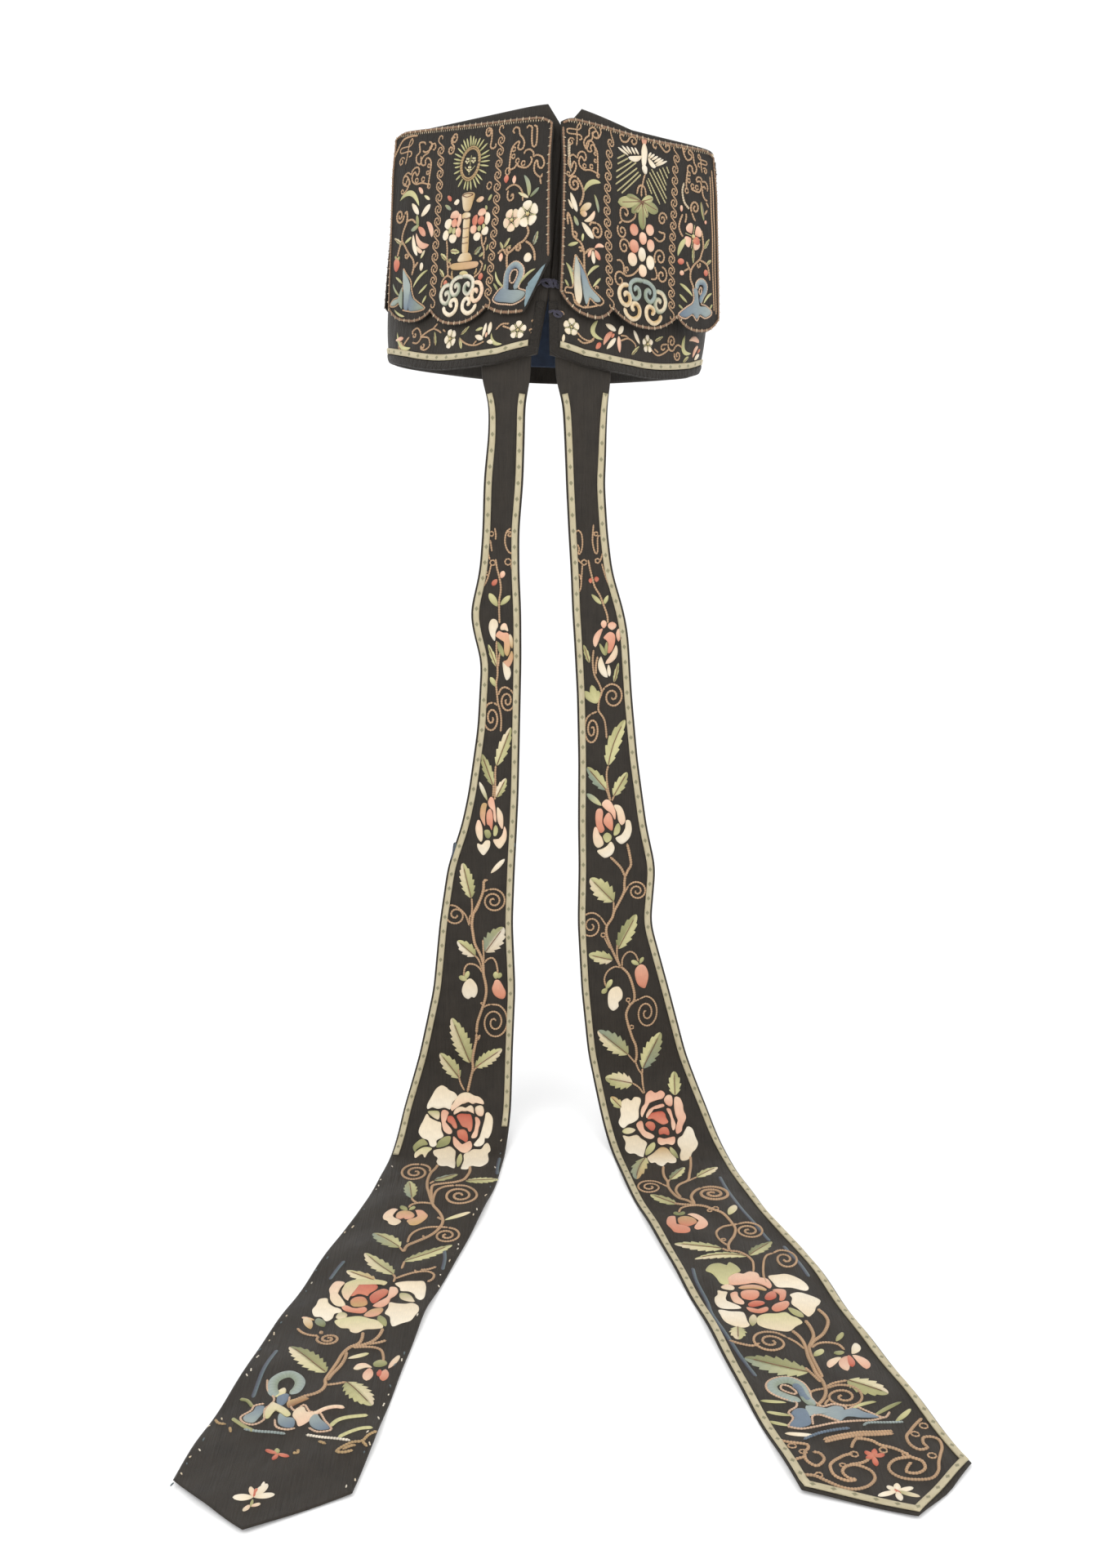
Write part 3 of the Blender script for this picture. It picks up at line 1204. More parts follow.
def panel_edge_cord(name):
    """Couched cord just inside the whole edge of a panel; the turned corner breaks it."""
    panel = PANELS[name]
    inset = EDGE_CORD_INSET
    width = panel["edges"][1] - panel["edges"][0]
    side = inset / width
    downs = np.linspace(0.0, 1.0, 30)
    acrosses = panel_columns(panel, 18)[1:-1]

    def run(across, down, lift):
        u, v = panel_grid(panel, np.asarray(across, float), np.asarray(down, float))
        return list(zip(u, v + lift))

    top = run(np.linspace(side, 1 - side, 40), np.zeros(40), inset)
    right = run(np.full(28, 1 - side), downs[1:-1], 0)
    bottom = run(np.clip(acrosses, side, 1 - side)[::-1], np.ones(len(acrosses)), -inset)
    left = run(np.full(28, side), downs[1:-1][::-1], 0)
    path = [*top, *right, *bottom, *left]
    if "turned" in panel:
        u_start, v_start, slope = panel["turned"]
        kept = [v < v_start - (u - u_start) * slope - 2.0 or u < u_start - 2 for u, v in path]
        gap = kept.index(False)
        path = [point for point, keep in zip(path, kept) if keep]
        path = path[gap:] + path[:gap]
    threads = Threads(lambda u, v, high: panel_point(panel, u, v, high))
    low = PANEL_THICKNESS + 0.1
    threads.cord(path, width=1.35, dye="T", beads=1.7, low=low, step=0.5)
    fine, _ = curve(path, 1.0)
    half = 1.1
    for at in range(4, len(fine) - 4, 5):
        (u, v), (across, down) = fine[at], sides_of(fine[at - 1:at + 2])[1]
        bar = [(u - across * half, v - down * half), (u, v), (u + across * half, v + down * half)]
        threads.cord(bar, 0.75, "C", low=low + 0.75, step=1.1)
    (piece,) = threads.build(f"edge_cord_{name}_couched", "gold_cord")
    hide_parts(f"edge_cord_{name}")


def turned_corner():
    """The near left panel's right corner, folded up on itself so that its pale back shows."""
    panel = PANELS["near_left"]
    head, foot, tip = (76.8, 83.0), (63.5, 107.0), (68.0, 95.0)
    along, out_share = np.meshgrid(np.linspace(0, 1, 19), spread((0, 0.9, 12), (0.9, 1, 4)))
    fold_u = mix(head[0], foot[0], along)
    fold_v = mix(head[1], foot[1], along)
    u, v = mix(fold_u, tip[0], out_share * 0.94), mix(fold_v, tip[1], out_share * 0.94)
    edge = np.minimum(np.minimum(along, 1 - along) * 20, (1 - out_share) * 10)
    roll, stand = 1.4, 3.2

    def place(a, b, out):
        rise = 1.6 + roll * smooth(out_share * 4) + stand * out_share**1.5
        rise = rise - 0.8 * np.sin(pi * along) * out_share
        return panel_point(panel, a, b, rise + out)

    piece = cloth_piece("turned_corner_cloth", u, v, edge, place, 1.1, LINING_LIGHT)
    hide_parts("turned_corner_near_left")


def tube_piece(name, paths, radius, material):
    """Round cords along space curves, given in millimetres, as one mesh."""
    points, faces = [], []
    turns = np.linspace(0, 2 * pi, 9)[:-1]
    for path in paths:
        fine = spline(np.array(path, float), 8)
        along = np.gradient(fine, axis=0)
        along = along / np.linalg.norm(along, axis=1)[:, None]
        side = np.cross(along, (0.1, -0.95, 0.3))
        side = side / np.linalg.norm(side, axis=1)[:, None]
        other = np.cross(along, side)
        ends = np.ones(len(fine))
        ends[[0, -1]] = 0.3
        cosines, sines = np.cos(turns)[None, :, None], np.sin(turns)[None, :, None]
        ring = side[:, None] * cosines + other[:, None] * sines
        start = sum(len(some) for some in points)
        points.append((fine[:, None] + ring * (radius * ends)[:, None, None]).reshape(-1, 3))
        rows, count = len(fine), len(turns)
        for row in range(rows - 1):
            for column in range(count):
                a, b = start + row * count + column, start + row * count + (column + 1) % count
                faces.append((a, b, b + count, a + count))
        faces.append(tuple(start + i for i in range(count))[::-1])
        faces.append(tuple(start + (rows - 1) * count + i for i in range(count)))
    points = np.vstack(points)
    piece = make_object(name, points, faces, points[:, [0, 2]])
    piece.data.materials.append(material)
    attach(piece, "root")
    return piece


def slit_knots():
    """Two knotted cords that draw the slit together; columns are across, up and outwards."""

    def at(centre, *points):
        return [wall_point(centre[0] + x, centre[1] + y, 1.0 + z) for x, y, z in points]

    upper = (1.0, 38.0)
    bow = at(
        upper, (-9, -0.5, 0), (-7.4, -1.2, 0.2), (-5, 1.2, 0.9), (-2, 1.5, 1.3), (0.5, -0.8, 0.6),
        (-1.5, -1.8, 0.3), (-4, 0.2, 0.2), (-2, 1.8, 0.5), (2, 1.0, 1.3), (4.6, -1.0, 1.2),
        (6.6, 0.6, 0.9), (7.6, 1.2, 0.3), (9, 1, 0),
    )
    wrap = at(
        upper, (-1, 3, 0), (-0.6, 1.9, 0.8), (0.4, 0.2, 2.0), (1.0, -1.6, 0.9), (2.4, -1.2, 0.4),
        (2.8, 0.8, 1.2), (1.4, 2.1, 0.8), (0.5, 3, 0),
    )
    tie = at(
        upper, (4, 3, 0), (3.4, 1.6, 0.6), (3.2, 0, 1.7), (4.0, -1.6, 0.7), (5.2, -1.4, 0.3),
        (5.6, 0.4, 0.9), (5, 2, 0.4), (4, 3, 0),
    )
    piece = tube_piece("knot_upper_cord", [bow, wrap, tie], 0.95, NAVY)
    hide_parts("slit_knot_upper")
    lower = (5.5, 22.0)
    loop = at(
        lower, (-6, 0, 0), (-4.2, 0.2, 0.1), (-2, 1.0, 0.6), (0.6, 0.6, 1.0), (2.6, -0.6, 0.5),
        (0.8, -1.3, 0.3), (-1, -0.4, 0.9), (0.2, 1.2, 0.9), (2.4, 0.9, 0.5), (4.2, 0.1, 0.2), (6, 0, 0),
    )
    piece = tube_piece("knot_lower_cord", [loop], 0.75, NAVY)
    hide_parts("slit_knot_lower")


# ---- Embroidery: near left panel ----------------------------------------------------------


def on_panel(name):
    return Threads(lambda u, v, high: panel_point(PANELS[name], u, v, PANEL_THICKNESS + high))


def stitched_edge(t, path):
    """Upright stitches that bind a raw edge, side by side."""
    line, _ = curve(path, 1.9)
    for (u, v), (across, down) in zip(line, sides_of(line)):
        t.cord(
            [(u - across * 0.9, v - down * 0.9), (u, v), (u + across * 0.9, v + down * 0.9)], 0.8, "C",
            step=0.9,
        )


def chalice(t):
    t.patch(
        [(4, 39.3), (9.2, 38.2), (14.5, 39.3), (13.6, 44), (12, 48), (9.3, 48.8), (6.5, 48), (4.8, 44)],
        "CD", 0, 1.0,
    )
    t.cord([(4.6, 39.8), (9.2, 38.9), (14, 39.8), (9.2, 41), (4.8, 40)], 0.6, "T", kind="silk", low=0.9)
    t.patch([(6, 50.2), (9.4, 49.2), (12.7, 50.2), (12.2, 52.6), (9.4, 53), (6.4, 52.6)], "DC", 0, 1.0)
    t.patch(
        [(7.4, 53), (10, 52.8), (12.6, 53), (13.2, 60), (14.2, 71), (11.5, 71.8), (9.2, 71), (8, 60)],
        "CD", 0, 0.9,
    )
    for v in (52.4, 58, 63, 66.2):
        t.cord([(7.6 + (v - 52) * 0.08, v), (10.2, v + 0.4), (13 + (v - 52) * 0.06, v)], 0.7, "T", low=0.7)
    t.patch([(6, 76), (8, 72.3), (12, 71.6), (16, 72.3), (18.5, 76), (12.2, 76.6)], "CD", 0, 0.8)
    t.cords(coil((7.5, 75.6), (10, 74.4), 1.1), coil((17, 75.6), (14.6, 74.4), 1.1, -1), width=0.8, dye="W")
    t.patch([(1, 77.4), (12, 76.8), (23.5, 77.4), (23.2, 80.4), (12, 81), (1.6, 80.4)], "DM", 0, 0.8)
    t.petal((12.5, 85), (12.8, 81.6), 7.5, "DY")
    t.cords([(2, 81), (2.6, 84), (4, 86)], [(23.6, 81), (23.4, 83), (22, 84.5)], width=1.3, dye="D")


def medallion(t, centre, tips):
    """An oval of coiled gold round three small flowers, with a ray to each tip."""
    for u, v in tips:
        angle = np.arctan2(v - centre[1], u - centre[0])
        base = (centre[0] + 8.6 * cos(angle), centre[1] + 9.6 * sin(angle))
        t.petal(base, (u, v), 1.05, "SY", full=0.45)
    for far in (0.88, 1.0):
        t.cord(oval(centre, 8.3 * far, 9.3 * far, 12), 1.0, "D", closed=True)
    for u, v in ((-2.7, -1.6), (2.7, -1.6), (0, 3.2)):
        blossom(t, (centre[0] + u, centre[1] + v), 1.8, 20, 5, "CY", 0.7, False)
    t.cords(
        [(centre[0], centre[1] + 6.4), (centre[0], centre[1] + 1), (centre[0], centre[1] - 4.6)],
        [(centre[0] - 4.6, centre[1] + 1.6), (centre[0], centre[1] + 4.4),
            (centre[0] + 4.6, centre[1] + 1.6)], width=0.7, dye="S",
    )


def camellia(t, rows):
    """A flower of padded petals, each swelled about its own middle until narrow gaps are left."""
    fullness = 1.07
    for outline, dyes, aim in rows:
        spots = np.array(outline)
        middle = spots.mean(axis=0)
        t.patch(middle + (spots - middle) * fullness, dyes, aim)


def cloud(t, centre, size, arch, shoulders, feet):
    """A curled cloud: an arch that ends in two curls, with a shoulder and a foot at each side.
    The shoulders and the feet have their left and right dyes."""
    for side, shoulder, foot in zip((-1, 1), shoulders, feet):
        for path, dyes in (
            ([(-0.6, -12.8), (6, -12.2), (10.8, -9), (11, -4), (7.4, -0.6), (3.4, -2.4), (3.1, -6.2),
                (5.8, -7.8), (7.6, -5)], arch),
            ([(12.6, -8), (18.4, -6.6), (21.4, -1.6), (19.2, 3.4), (14.4, 4.6), (11.6, 1.4),
                (12.6, -2.2), (15.6, -2.6), (16.6, 0)], shoulder),
            ([(17, 6.6), (14.8, 10.4), (9.4, 12.2), (4.2, 9.8), (3.1, 5.4), (5.4, 2.4), (8.8, 2.8),
                (10, 5.4), (7.6, 7)], foot),
        ):
            curl = [(centre[0] + side * size * u, centre[1] + size * v) for u, v in path]
            t.band(curl, 2.9 * size, dyes, 1.1)


def near_left_outer(t):
    """The edge, both scroll chains, and the outer column: a spray of flowers over a rock."""
    stitched_edge(t, [(-64, 2.6), (-30, 2.2), (0, 2.2), (30, 2.2), (63, 2.4)])
    t.cord([(-67.5, 17), (-65, 12), (-60, 5.4), (-52, 3.6), (-45, 3.6)], 1.3)
    scroll_chain(
        t,
        [(-22, 7), (-21.5, 12), (-20, 17.5), (-18.7, 25), (-17.6, 37), (-16.6, 49), (-15.7, 60),
            (-15.2, 71), (-14.3, 79), (-13.4, 89), (-12.4, 100)],
    )
    scroll_chain(
        t,
        [(31, 5), (31.5, 10.5), (32.5, 21), (33, 33), (34, 43), (34.8, 54), (35, 64), (35.2, 74),
            (35.8, 85), (36, 94), (36, 102)],
    )
    endless_knot(t, (-54, 12.6), 6.2)
    corner_scroll(t, (-28, 34), -1, 1.0, 1.0)
    t.cords(
        [(-36, 9.5), (-38, 8), (-42, 8.5), (-40.5, 13.5), (-43, 16), (-42, 19.5), (-38.5, 21),
            (-38, 18.5), (-39, 16)],
        [(-53, 28), (-50, 27.5), (-47, 30), (-46, 32), (-49, 33.5), (-52, 31.5)],
        [(-38, 13), (-35, 14), (-31, 12.5), (-30, 10), (-31.5, 8.5), (-33.5, 8)],
    )
    petals(
        t, ((-37, 34.3), (-32.5, 37.8), 2.8, "PK"), ((-31, 39), (-25.5, 41.3), 2.0, "YC"),
        ((-55, 42), (-35, 45), 3.4, "SY", -6.0), ((-42, 43.5), (-34.5, 49.8), 3.6, "CW"),
        ((-32, 51), (-24.5, 44), 3.8, "CW"), ((-36, 50), (-34, 57), 2.7, "SG"),
        ((-33, 56), (-40, 59.5), 2.7, "SE"), ((-26.5, 54), (-20, 62.5), 3.8, "PK", -1.6),
        ((-33.5, 57), (-26, 61.8), 4.0, "OP"), ((-35, 60.5), (-21.8, 66.8), 3.8, "KP", 3.6),
        ((-37.5, 61.5), (-31.5, 73.5), 3.4, "CW", 1.2), ((-45, 67), (-39, 63), 1.8, "SY"),
        ((-28, 75), (-25, 70), 1.8, "YC"), ((-26.5, 82), (-26.5, 77), 3.2, "CW"),
        ((-33, 68), (-27, 71), 2.6, "CK", 1.0),
    )
    leaves(t, ((-47, 67.8), (-57, 64.2), 2.8, "SY|YC", 3))
    t.patch([(-51.5, 75.6), (-54.6, 78), (-53.8, 82), (-51.4, 84), (-49, 82), (-48.3, 78.4)], "OR", 90)
    petals(t, ((-51.4, 77.8), (-54, 74.6), 2, "S"), ((-51.4, 77.8), (-49, 74.8), 2, "S"))
    t.cords(
        [*coil((-48.5, 50.2), (-53, 51), 1.7)],
        [(-48.4, 50), (-46, 48.6), (-45, 54), (-47.6, 60), (-48, 65), (-44, 69), (-40, 72.5), (-35, 76),
            (-33.5, 80), (-34.5, 85)], [(-45.4, 54), (-40, 53), (-36, 55)], [(-33.6, 81), (-30, 77)],
        coil((-40.6, 72.4), (-41.8, 74), 1.2), [(-48, 65), (-50, 70), (-51.3, 75)], width=1.35,
    )
    petals(
        t, ((-51, 87), (-43, 90.3), 1.7, "YS"), ((-32, 92), (-20, 81), 1.7, "YS", -1.6),
        ((-26, 95), (-19, 89), 1.5, "YS"), ((-21.5, 100), (-18.5, 95.3), 1.5, "YS"),
        ((-53.5, 91), (-45, 97.5), 1.6, "ES", 1.0), ((-49, 106), (-37, 109), 1.6, "SY", 1.0),
    )
    t.patch(
        [(-43.5, 82), (-40, 85), (-36.4, 88.6), (-34.4, 93), (-34.6, 104.6), (-38, 105), (-39.6, 97),
            (-41.6, 91)], "AAB", 80, 1.0,
    )
    t.patch(
        [(-34, 94), (-31, 97.6), (-26, 100), (-19.5, 102.6), (-27, 104.8), (-33.6, 104.8)], "BE", 0, 0.9,
    )
    t.patch(
        [(-42.4, 92), (-43, 98), (-51, 101), (-54, 104), (-49, 103.8), (-44, 101.6), (-40.6, 104.8)],
        "AE", 0, 0.9,
    )
    t.cords(
        [(-43.5, 81.4), (-39.8, 84.6), (-35, 88), (-33, 93), (-30, 97.5), (-26, 99.4), (-18.6, 102.5),
            (-28, 105.4), (-40, 105.6)],
        [(-43.6, 81.4), (-42, 91), (-43.5, 97.6), (-51, 100.4), (-54.6, 104.4), (-49, 104.4),
            (-44, 102)], width=1.0,
    )


def near_left_middle(t):
    """A medallion, then a chalice between two round flowers, above a curled cloud."""
    t.cords(
        coil((-10, 4.6), (-10.4, 7.6), 1.2), [(-10, 4.6), (-12.6, 7.6), (-12, 10), (-9.6, 12), (-9, 14)],
        coil((-9, 13.6), (-11.8, 13.6), 1.3), coil((18.6, 3.4), (20, 6), 1.3, -1),
        [(18.6, 3.4), (22, 5), (23, 10), (23, 14), (25, 15.5), (27.5, 14.5), (27, 12.5)],
    )
    medallion(
        t, (7.5, 22.3),
        [(-6, 13), (-8, 16), (-8, 19), (-8, 21.5), (-6, 24), (-6, 27.5), (-3.5, 11), (-2, 8.5), (1, 8),
            (4, 6.5), (7, 7), (9.5, 8.6), (13, 8.5), (16.5, 9.5), (20, 12), (22.6, 16), (24, 19),
            (24.6, 22), (24.2, 25), (23, 29), (20, 32.5), (18, 34.5), (-3.6, 31), (-1, 35), (4.5, 36.6),
            (7.6, 37.4), (11, 37.2), (15.5, 36.5)],
    )
    chalice(t)
    camellia(
        t,
        (([(-4.6, 51.6), (-3.4, 48.8), (0.2, 48), (2.8, 50.2), (1, 52), (-1.8, 52)], "KP", 90),
            ([(2.4, 50.6), (4.4, 50.2), (5.2, 53.6), (3.4, 57), (1.8, 56.2), (2.4, 53.4)], "PK", 0),
            ([(-5.2, 52.4), (-8.2, 53.4), (-8.8, 56.4), (-5.8, 58), (-4, 56.4), (-3.4, 53.6)], "CW",
            180), ([(-2.6, 53.4), (-0.4, 52.4), (1.4, 53.8), (1, 56.2), (-1.2, 57), (-2.8, 55.6)], "OP",
            90), ([(-4.6, 57.6), (-3, 56.8), (-2, 58.4), (-3.2, 60.2), (-5, 59.8)], "S", 90),
            ([(-1.2, 57.8), (0.4, 57.4), (1, 59.6), (-0.2, 60.8), (-1.6, 60)], "SY", 90), ([(-9, 59.8),
            (-7, 58.6), (-5, 60.4), (-5.6, 63.2), (-8, 64), (-9.6, 62.4)], "CW", 150), ([(-3.2, 61.6),
            (0, 61), (2.4, 62.4), (1.4, 65), (-1.4, 65.6), (-3.6, 64)], "CW", 90), ([(1.6, 58.2),
            (4, 57.4), (5.8, 59.4), (5.2, 62.2), (3, 62.2), (1.6, 60.4)], "KP", 30)),
    )
    camellia(
        t,
        (([(16, 52.2), (18.6, 51.4), (19.4, 54), (18.8, 56.6), (16.4, 56.8), (15.2, 54.4)], "OR", 180),
            ([(19.4, 50.6), (21.4, 48.4), (24.8, 48.6), (26, 50.6), (23.8, 52), (21, 52)], "KP", -90),
            ([(26.4, 50.8), (29.2, 51.6), (30.2, 54.6), (28.2, 57.4), (26.2, 56.2), (26.4, 53.4)], "CW",
            0), ([(20.4, 54), (22.4, 52.4), (24.8, 53.4), (24.8, 56), (22.4, 57), (20.4, 56)], "OR", 90),
            ([(20.8, 58), (22.4, 57.6), (23.4, 59.4), (22, 60.6), (20.6, 59.6)], "S", 90), ([(24.6, 57),
            (26.4, 57.2), (26.6, 59), (25.2, 59.6)], "SY", 90), ([(14.8, 57.6), (17.6, 57), (19.4, 58.8),
            (18.4, 61), (15.8, 61.2), (14.4, 59.6)], "PK", 150), ([(24.8, 60.2), (27.6, 58.6),
            (29.6, 60), (29, 62.6), (26.4, 63), (24.6, 62)], "CW", 30), ([(18.4, 62), (21, 61.2),
            (23.4, 62.4), (22.8, 65), (20.2, 65.6), (18, 64.2)], "CW", 90)),
    )
    petals(
        t, ((-9.5, 39.5), (-5.5, 42.2), 2.6, "OR"), ((-3, 44), (1.5, 42.4), 3, "CW"),
        ((16.5, 43.5), (23, 42.4), 3, "DK"), ((27, 44.4), (29.6, 41), 2, "S"),
        ((-11, 44.5), (-5, 47.2), 2.2, "SE"), ((25.4, 46.6), (26.6, 49.4), 1.8, "S"),
    )
    t.ring((26.5, 36), 1.9)
    leaves(
        t, ((-4, 75), (-10, 71.6), 3.0, "S|Y", 3), ((-1.5, 70), (6.6, 71), 3.4, "YS|Y", 3),
        ((0, 74.5), (-3.4, 76.4), 1.8, "S", 0), ((-4.5, 84.5), (-9.4, 80.2), 2.8, "SG|Y", 3),
        ((20, 73), (25.4, 69.4), 3.8, "G|SE", 3), ((28, 73), (24.4, 74.8), 1.8, "YS", 0),
        ((30, 72), (31.2, 68.6), 1.6, "S", 0), ((30, 83.4), (31.2, 79.6), 1.6, "S", 0),
    )
    t.cords(
        [(-6, 64), (-4.5, 69), (-3.5, 75), (-2, 80), (-1, 84)],
        [(-6, 91), (-5.5, 87), (-2, 84), (2, 85), (5, 87)], [(24, 62), (26, 68), (28, 71), (29, 77)],
        [(28.5, 64), (28.6, 66.5), (27, 69)], [(25.5, 77), (28, 79), (28, 81), (26, 84), (22, 86)],
        coil((-3, 77), (-1.4, 78.2), 1.1),
    )
    t.patch([(-2.5, 86.2), (-0.8, 88), (-2.5, 89.8), (-4.2, 88)], "OR", 90)
    t.patch([(28, 84), (30, 86), (28.2, 88.2), (26, 86.4)], "OR", 90)
    cloud(t, (12.8, 95.4), 0.84, "WE", ("WE", "KC"), ("WC", "CW"))


def near_left_inner(t):
    """The column beside the slit: scrolls, two blossoms and a pierced rock."""
    t.cords(
        [(51, 6.5), (52.5, 5), (55, 6), (55.5, 9), (56.5, 14), (58, 17), (60, 16), (59.5, 10), (58.5, 6),
            (56, 5)],
        [(42, 8.5), (40.5, 7), (42, 5.2), (45, 6), (46.5, 9.5), (49, 11.5), (51, 14.5), (50.5, 17.5),
            (48, 18), (46.5, 16.5), (47, 13.5), (44.5, 14), (42, 16.5), (41.5, 20), (41.8, 25),
            (42, 30.5)],
        [(42, 29), (46, 28), (48, 26), (49.5, 27.5), (55, 28.5), (58, 26.5), (58.5, 24), (57, 22.5)],
        [(52, 21), (53, 19), (56, 18.5), (59, 20.5), (59.5, 22.5), (62, 22), (66, 23.5), (68, 27),
            (66.5, 29.5), (64, 28.5), (62.5, 25), (61, 27), (61.5, 31), (64, 33.5), (66.6, 34.5),
            (67.4, 32.5)], [(66, 35), (67.2, 38.5)],
        [(41, 40), (44, 38), (48, 37.5), (52, 39.5), (54.5, 43), (55, 47)],
        [(43, 40), (43, 44), (45, 46), (47.5, 45), (47, 42.5), (45.5, 44)],
    )
    for u, v, radius in (
        (43.5, 17.5, 1.2), (44, 21.5, 1.2), (41, 29.5, 1.9), (47.8, 24.3, 1.3), (52.5, 26, 1.3),
    ):
        t.ring((u, v), radius)
    t.patch([(40.5, 31.2), (42.4, 33.4), (40.6, 36), (38.6, 33.6)], "OR", 90)
    t.patch([(47, 32.2), (48.4, 34.4), (47.2, 37), (45.6, 34.6)], "PK", 90)
    petals(
        t, ((54, 32.6), (59, 44.8), 3, "ES", -1.6), ((51, 42), (59, 45.4), 2, "YC"),
        ((60, 45.2), (66, 40.2), 2, "GE"),
    )
    for centre, size, turn, dyes, count in (
        ((59.6, 54.4), 7.6, -100, "CW", 5), ((48.4, 57), 6.6, 20, "KC", 5),
    ):
        blossom(t, centre, size, turn, count, dyes, 0.86)
    t.cords(
        [(60, 61), (61.5, 65), (59, 69), (55, 71), (51, 74), (48, 76), (48, 80), (49.5, 86)],
        [(60, 69.5), (64, 72), (67, 76), (68, 81)], coil((55.5, 71), (55, 73), 1.2),
        coil((50, 74.6), (48.6, 73), 1.1), [(40, 75), (44, 73), (47, 76)], width=1.4,
    )
    leaves(
        t, ((66, 72), (68.2, 64.5), 3.4, "E|ES", 3), ((44, 73), (41, 68.4), 1.8, "YS", 0),
        ((44.4, 72), (48.5, 66.8), 2, "SY", 0), ((46, 73), (50, 71), 1.6, "S", 0),
    )
    t.patch([(60, 78.8), (61.6, 76.4), (64, 76.6), (65.4, 79), (63.8, 81.2), (61, 81)], "CW", 90)
    t.patch([(43, 74.6), (44.6, 77), (43.2, 79.6), (41.6, 77.2)], "PK", 90)
    t.band(
        [(49.6, 97), (49, 91), (49.6, 86), (52, 83), (55.4, 82.2), (58.6, 84.6), (59, 88), (57.4, 92),
            (55.2, 96)], 3.6, "AB", 1.0,
    )
    t.patch(
        [(41.4, 100), (44, 96.4), (48, 94), (52, 96), (57.6, 96.4), (62.6, 98), (61.6, 100.8),
            (56, 103.4), (50, 102.8), (44, 101.8)], "BA", 0, 1.0,
    )
    t.cords(
        [(47.6, 94), (47.4, 90), (47.8, 86), (50.6, 82), (55, 80.4), (60, 83.6), (61, 88), (59, 92.6),
            (58.4, 95.6), (63.4, 97.6), (62.6, 101.4), (56, 104.2), (50, 103.8), (43.6, 102.6),
            (40.4, 100), (43.8, 95.6), (47.6, 93.6)],
        [(51.8, 92), (51.4, 88), (53, 85.2), (55.8, 85.4), (56.4, 88), (54.4, 92), (52, 92)],
        coil((49.6, 101), (47.8, 100.4), 1.0), coil((57.6, 101), (56, 100.4), 1.0), width=0.95, dye="K",
    )
    petals(
        t, ((40, 84.5), (48, 94), 1.7, "YS", 1.6), ((39.5, 91), (43.6, 95.6), 1.5, "SG"),
        ((57.6, 95), (69, 85.4), 1.7, "SY", -1.6),
    )


def near_left_work():
    t = on_panel("near_left")
    near_left_outer(t)
    near_left_middle(t)
    near_left_inner(t)
    t.build("embroidery_near_left", "black_satin")


# ---- Embroidery: near right panel ----------------------------------------------------------


def dove(t):
    petals(t, *(((-5 + side, 4.6), (-5 + side * 2.1, 0.8), 0.9, "P") for side in (-1, -0.5, 0, 0.5, 1)))
    petals(t, ((-7, 11), (-19.5, 14), 3.2, "CW", -1.2), ((-2, 11), (4.5, 15.6), 3.2, "CW", 0.8))
    petals(
        t,
        *((base, tip, 1.5, "CW") for base, tip in (((-19, 13), (-28, 10)), ((-18, 12), (-24.5, 8.5)),
            ((-16, 11.8), (-20.5, 8)), ((-13, 11.4), (-16.5, 7.8)), ((-10, 11), (-13.5, 7.5)), ((-2, 11),
            (1, 7.8)), ((-1, 11.4), (4, 8.4)), ((1, 12), (7, 9.2)), ((3, 13), (9.8, 9.9)), ((4, 14.4),
            (11.8, 10.4)), ((4, 15.2), (15, 11)))),
    )
    t.patch(
        [(-5, 3.4), (-2.8, 7), (-3.6, 12), (-5, 16), (-7.4, 16.4), (-7.8, 12), (-7.2, 7)], "CW", 90, 1.1,
    )
    t.patch([(-6.4, 15.6), (-4.2, 16.6), (-4, 18.6), (-5, 21), (-7.2, 19.6), (-7.8, 17.4)], "W", 90, 1.2)
    rays = (
        ((-22, 13), (-29, 16.5)), ((-19.5, 14.5), (-29, 19.5)), ((-16, 15.5), (-30.5, 24)),
        ((-12.5, 15.5), (-30.5, 27.5)), ((-12, 18.5), (-31, 31)), ((-11, 20.5), (-29.5, 34.5)),
        ((-9, 21.5), (-26, 35)), ((14, 14), (16, 18)), ((10.5, 15), (14.5, 21)), ((7.5, 16), (13, 25)),
        ((5, 18), (12.5, 28)), ((0.5, 17), (13, 32.5)), ((-1.5, 19), (12, 35)), ((-3, 22.5), (7, 36)),
        ((-4.5, 24), (0, 31)),
    )
    lines = ([start, mix(np.array(start), np.array(end), 0.5), end] for start, end in rays)
    t.cords(*lines, width=0.95, dye="Y")


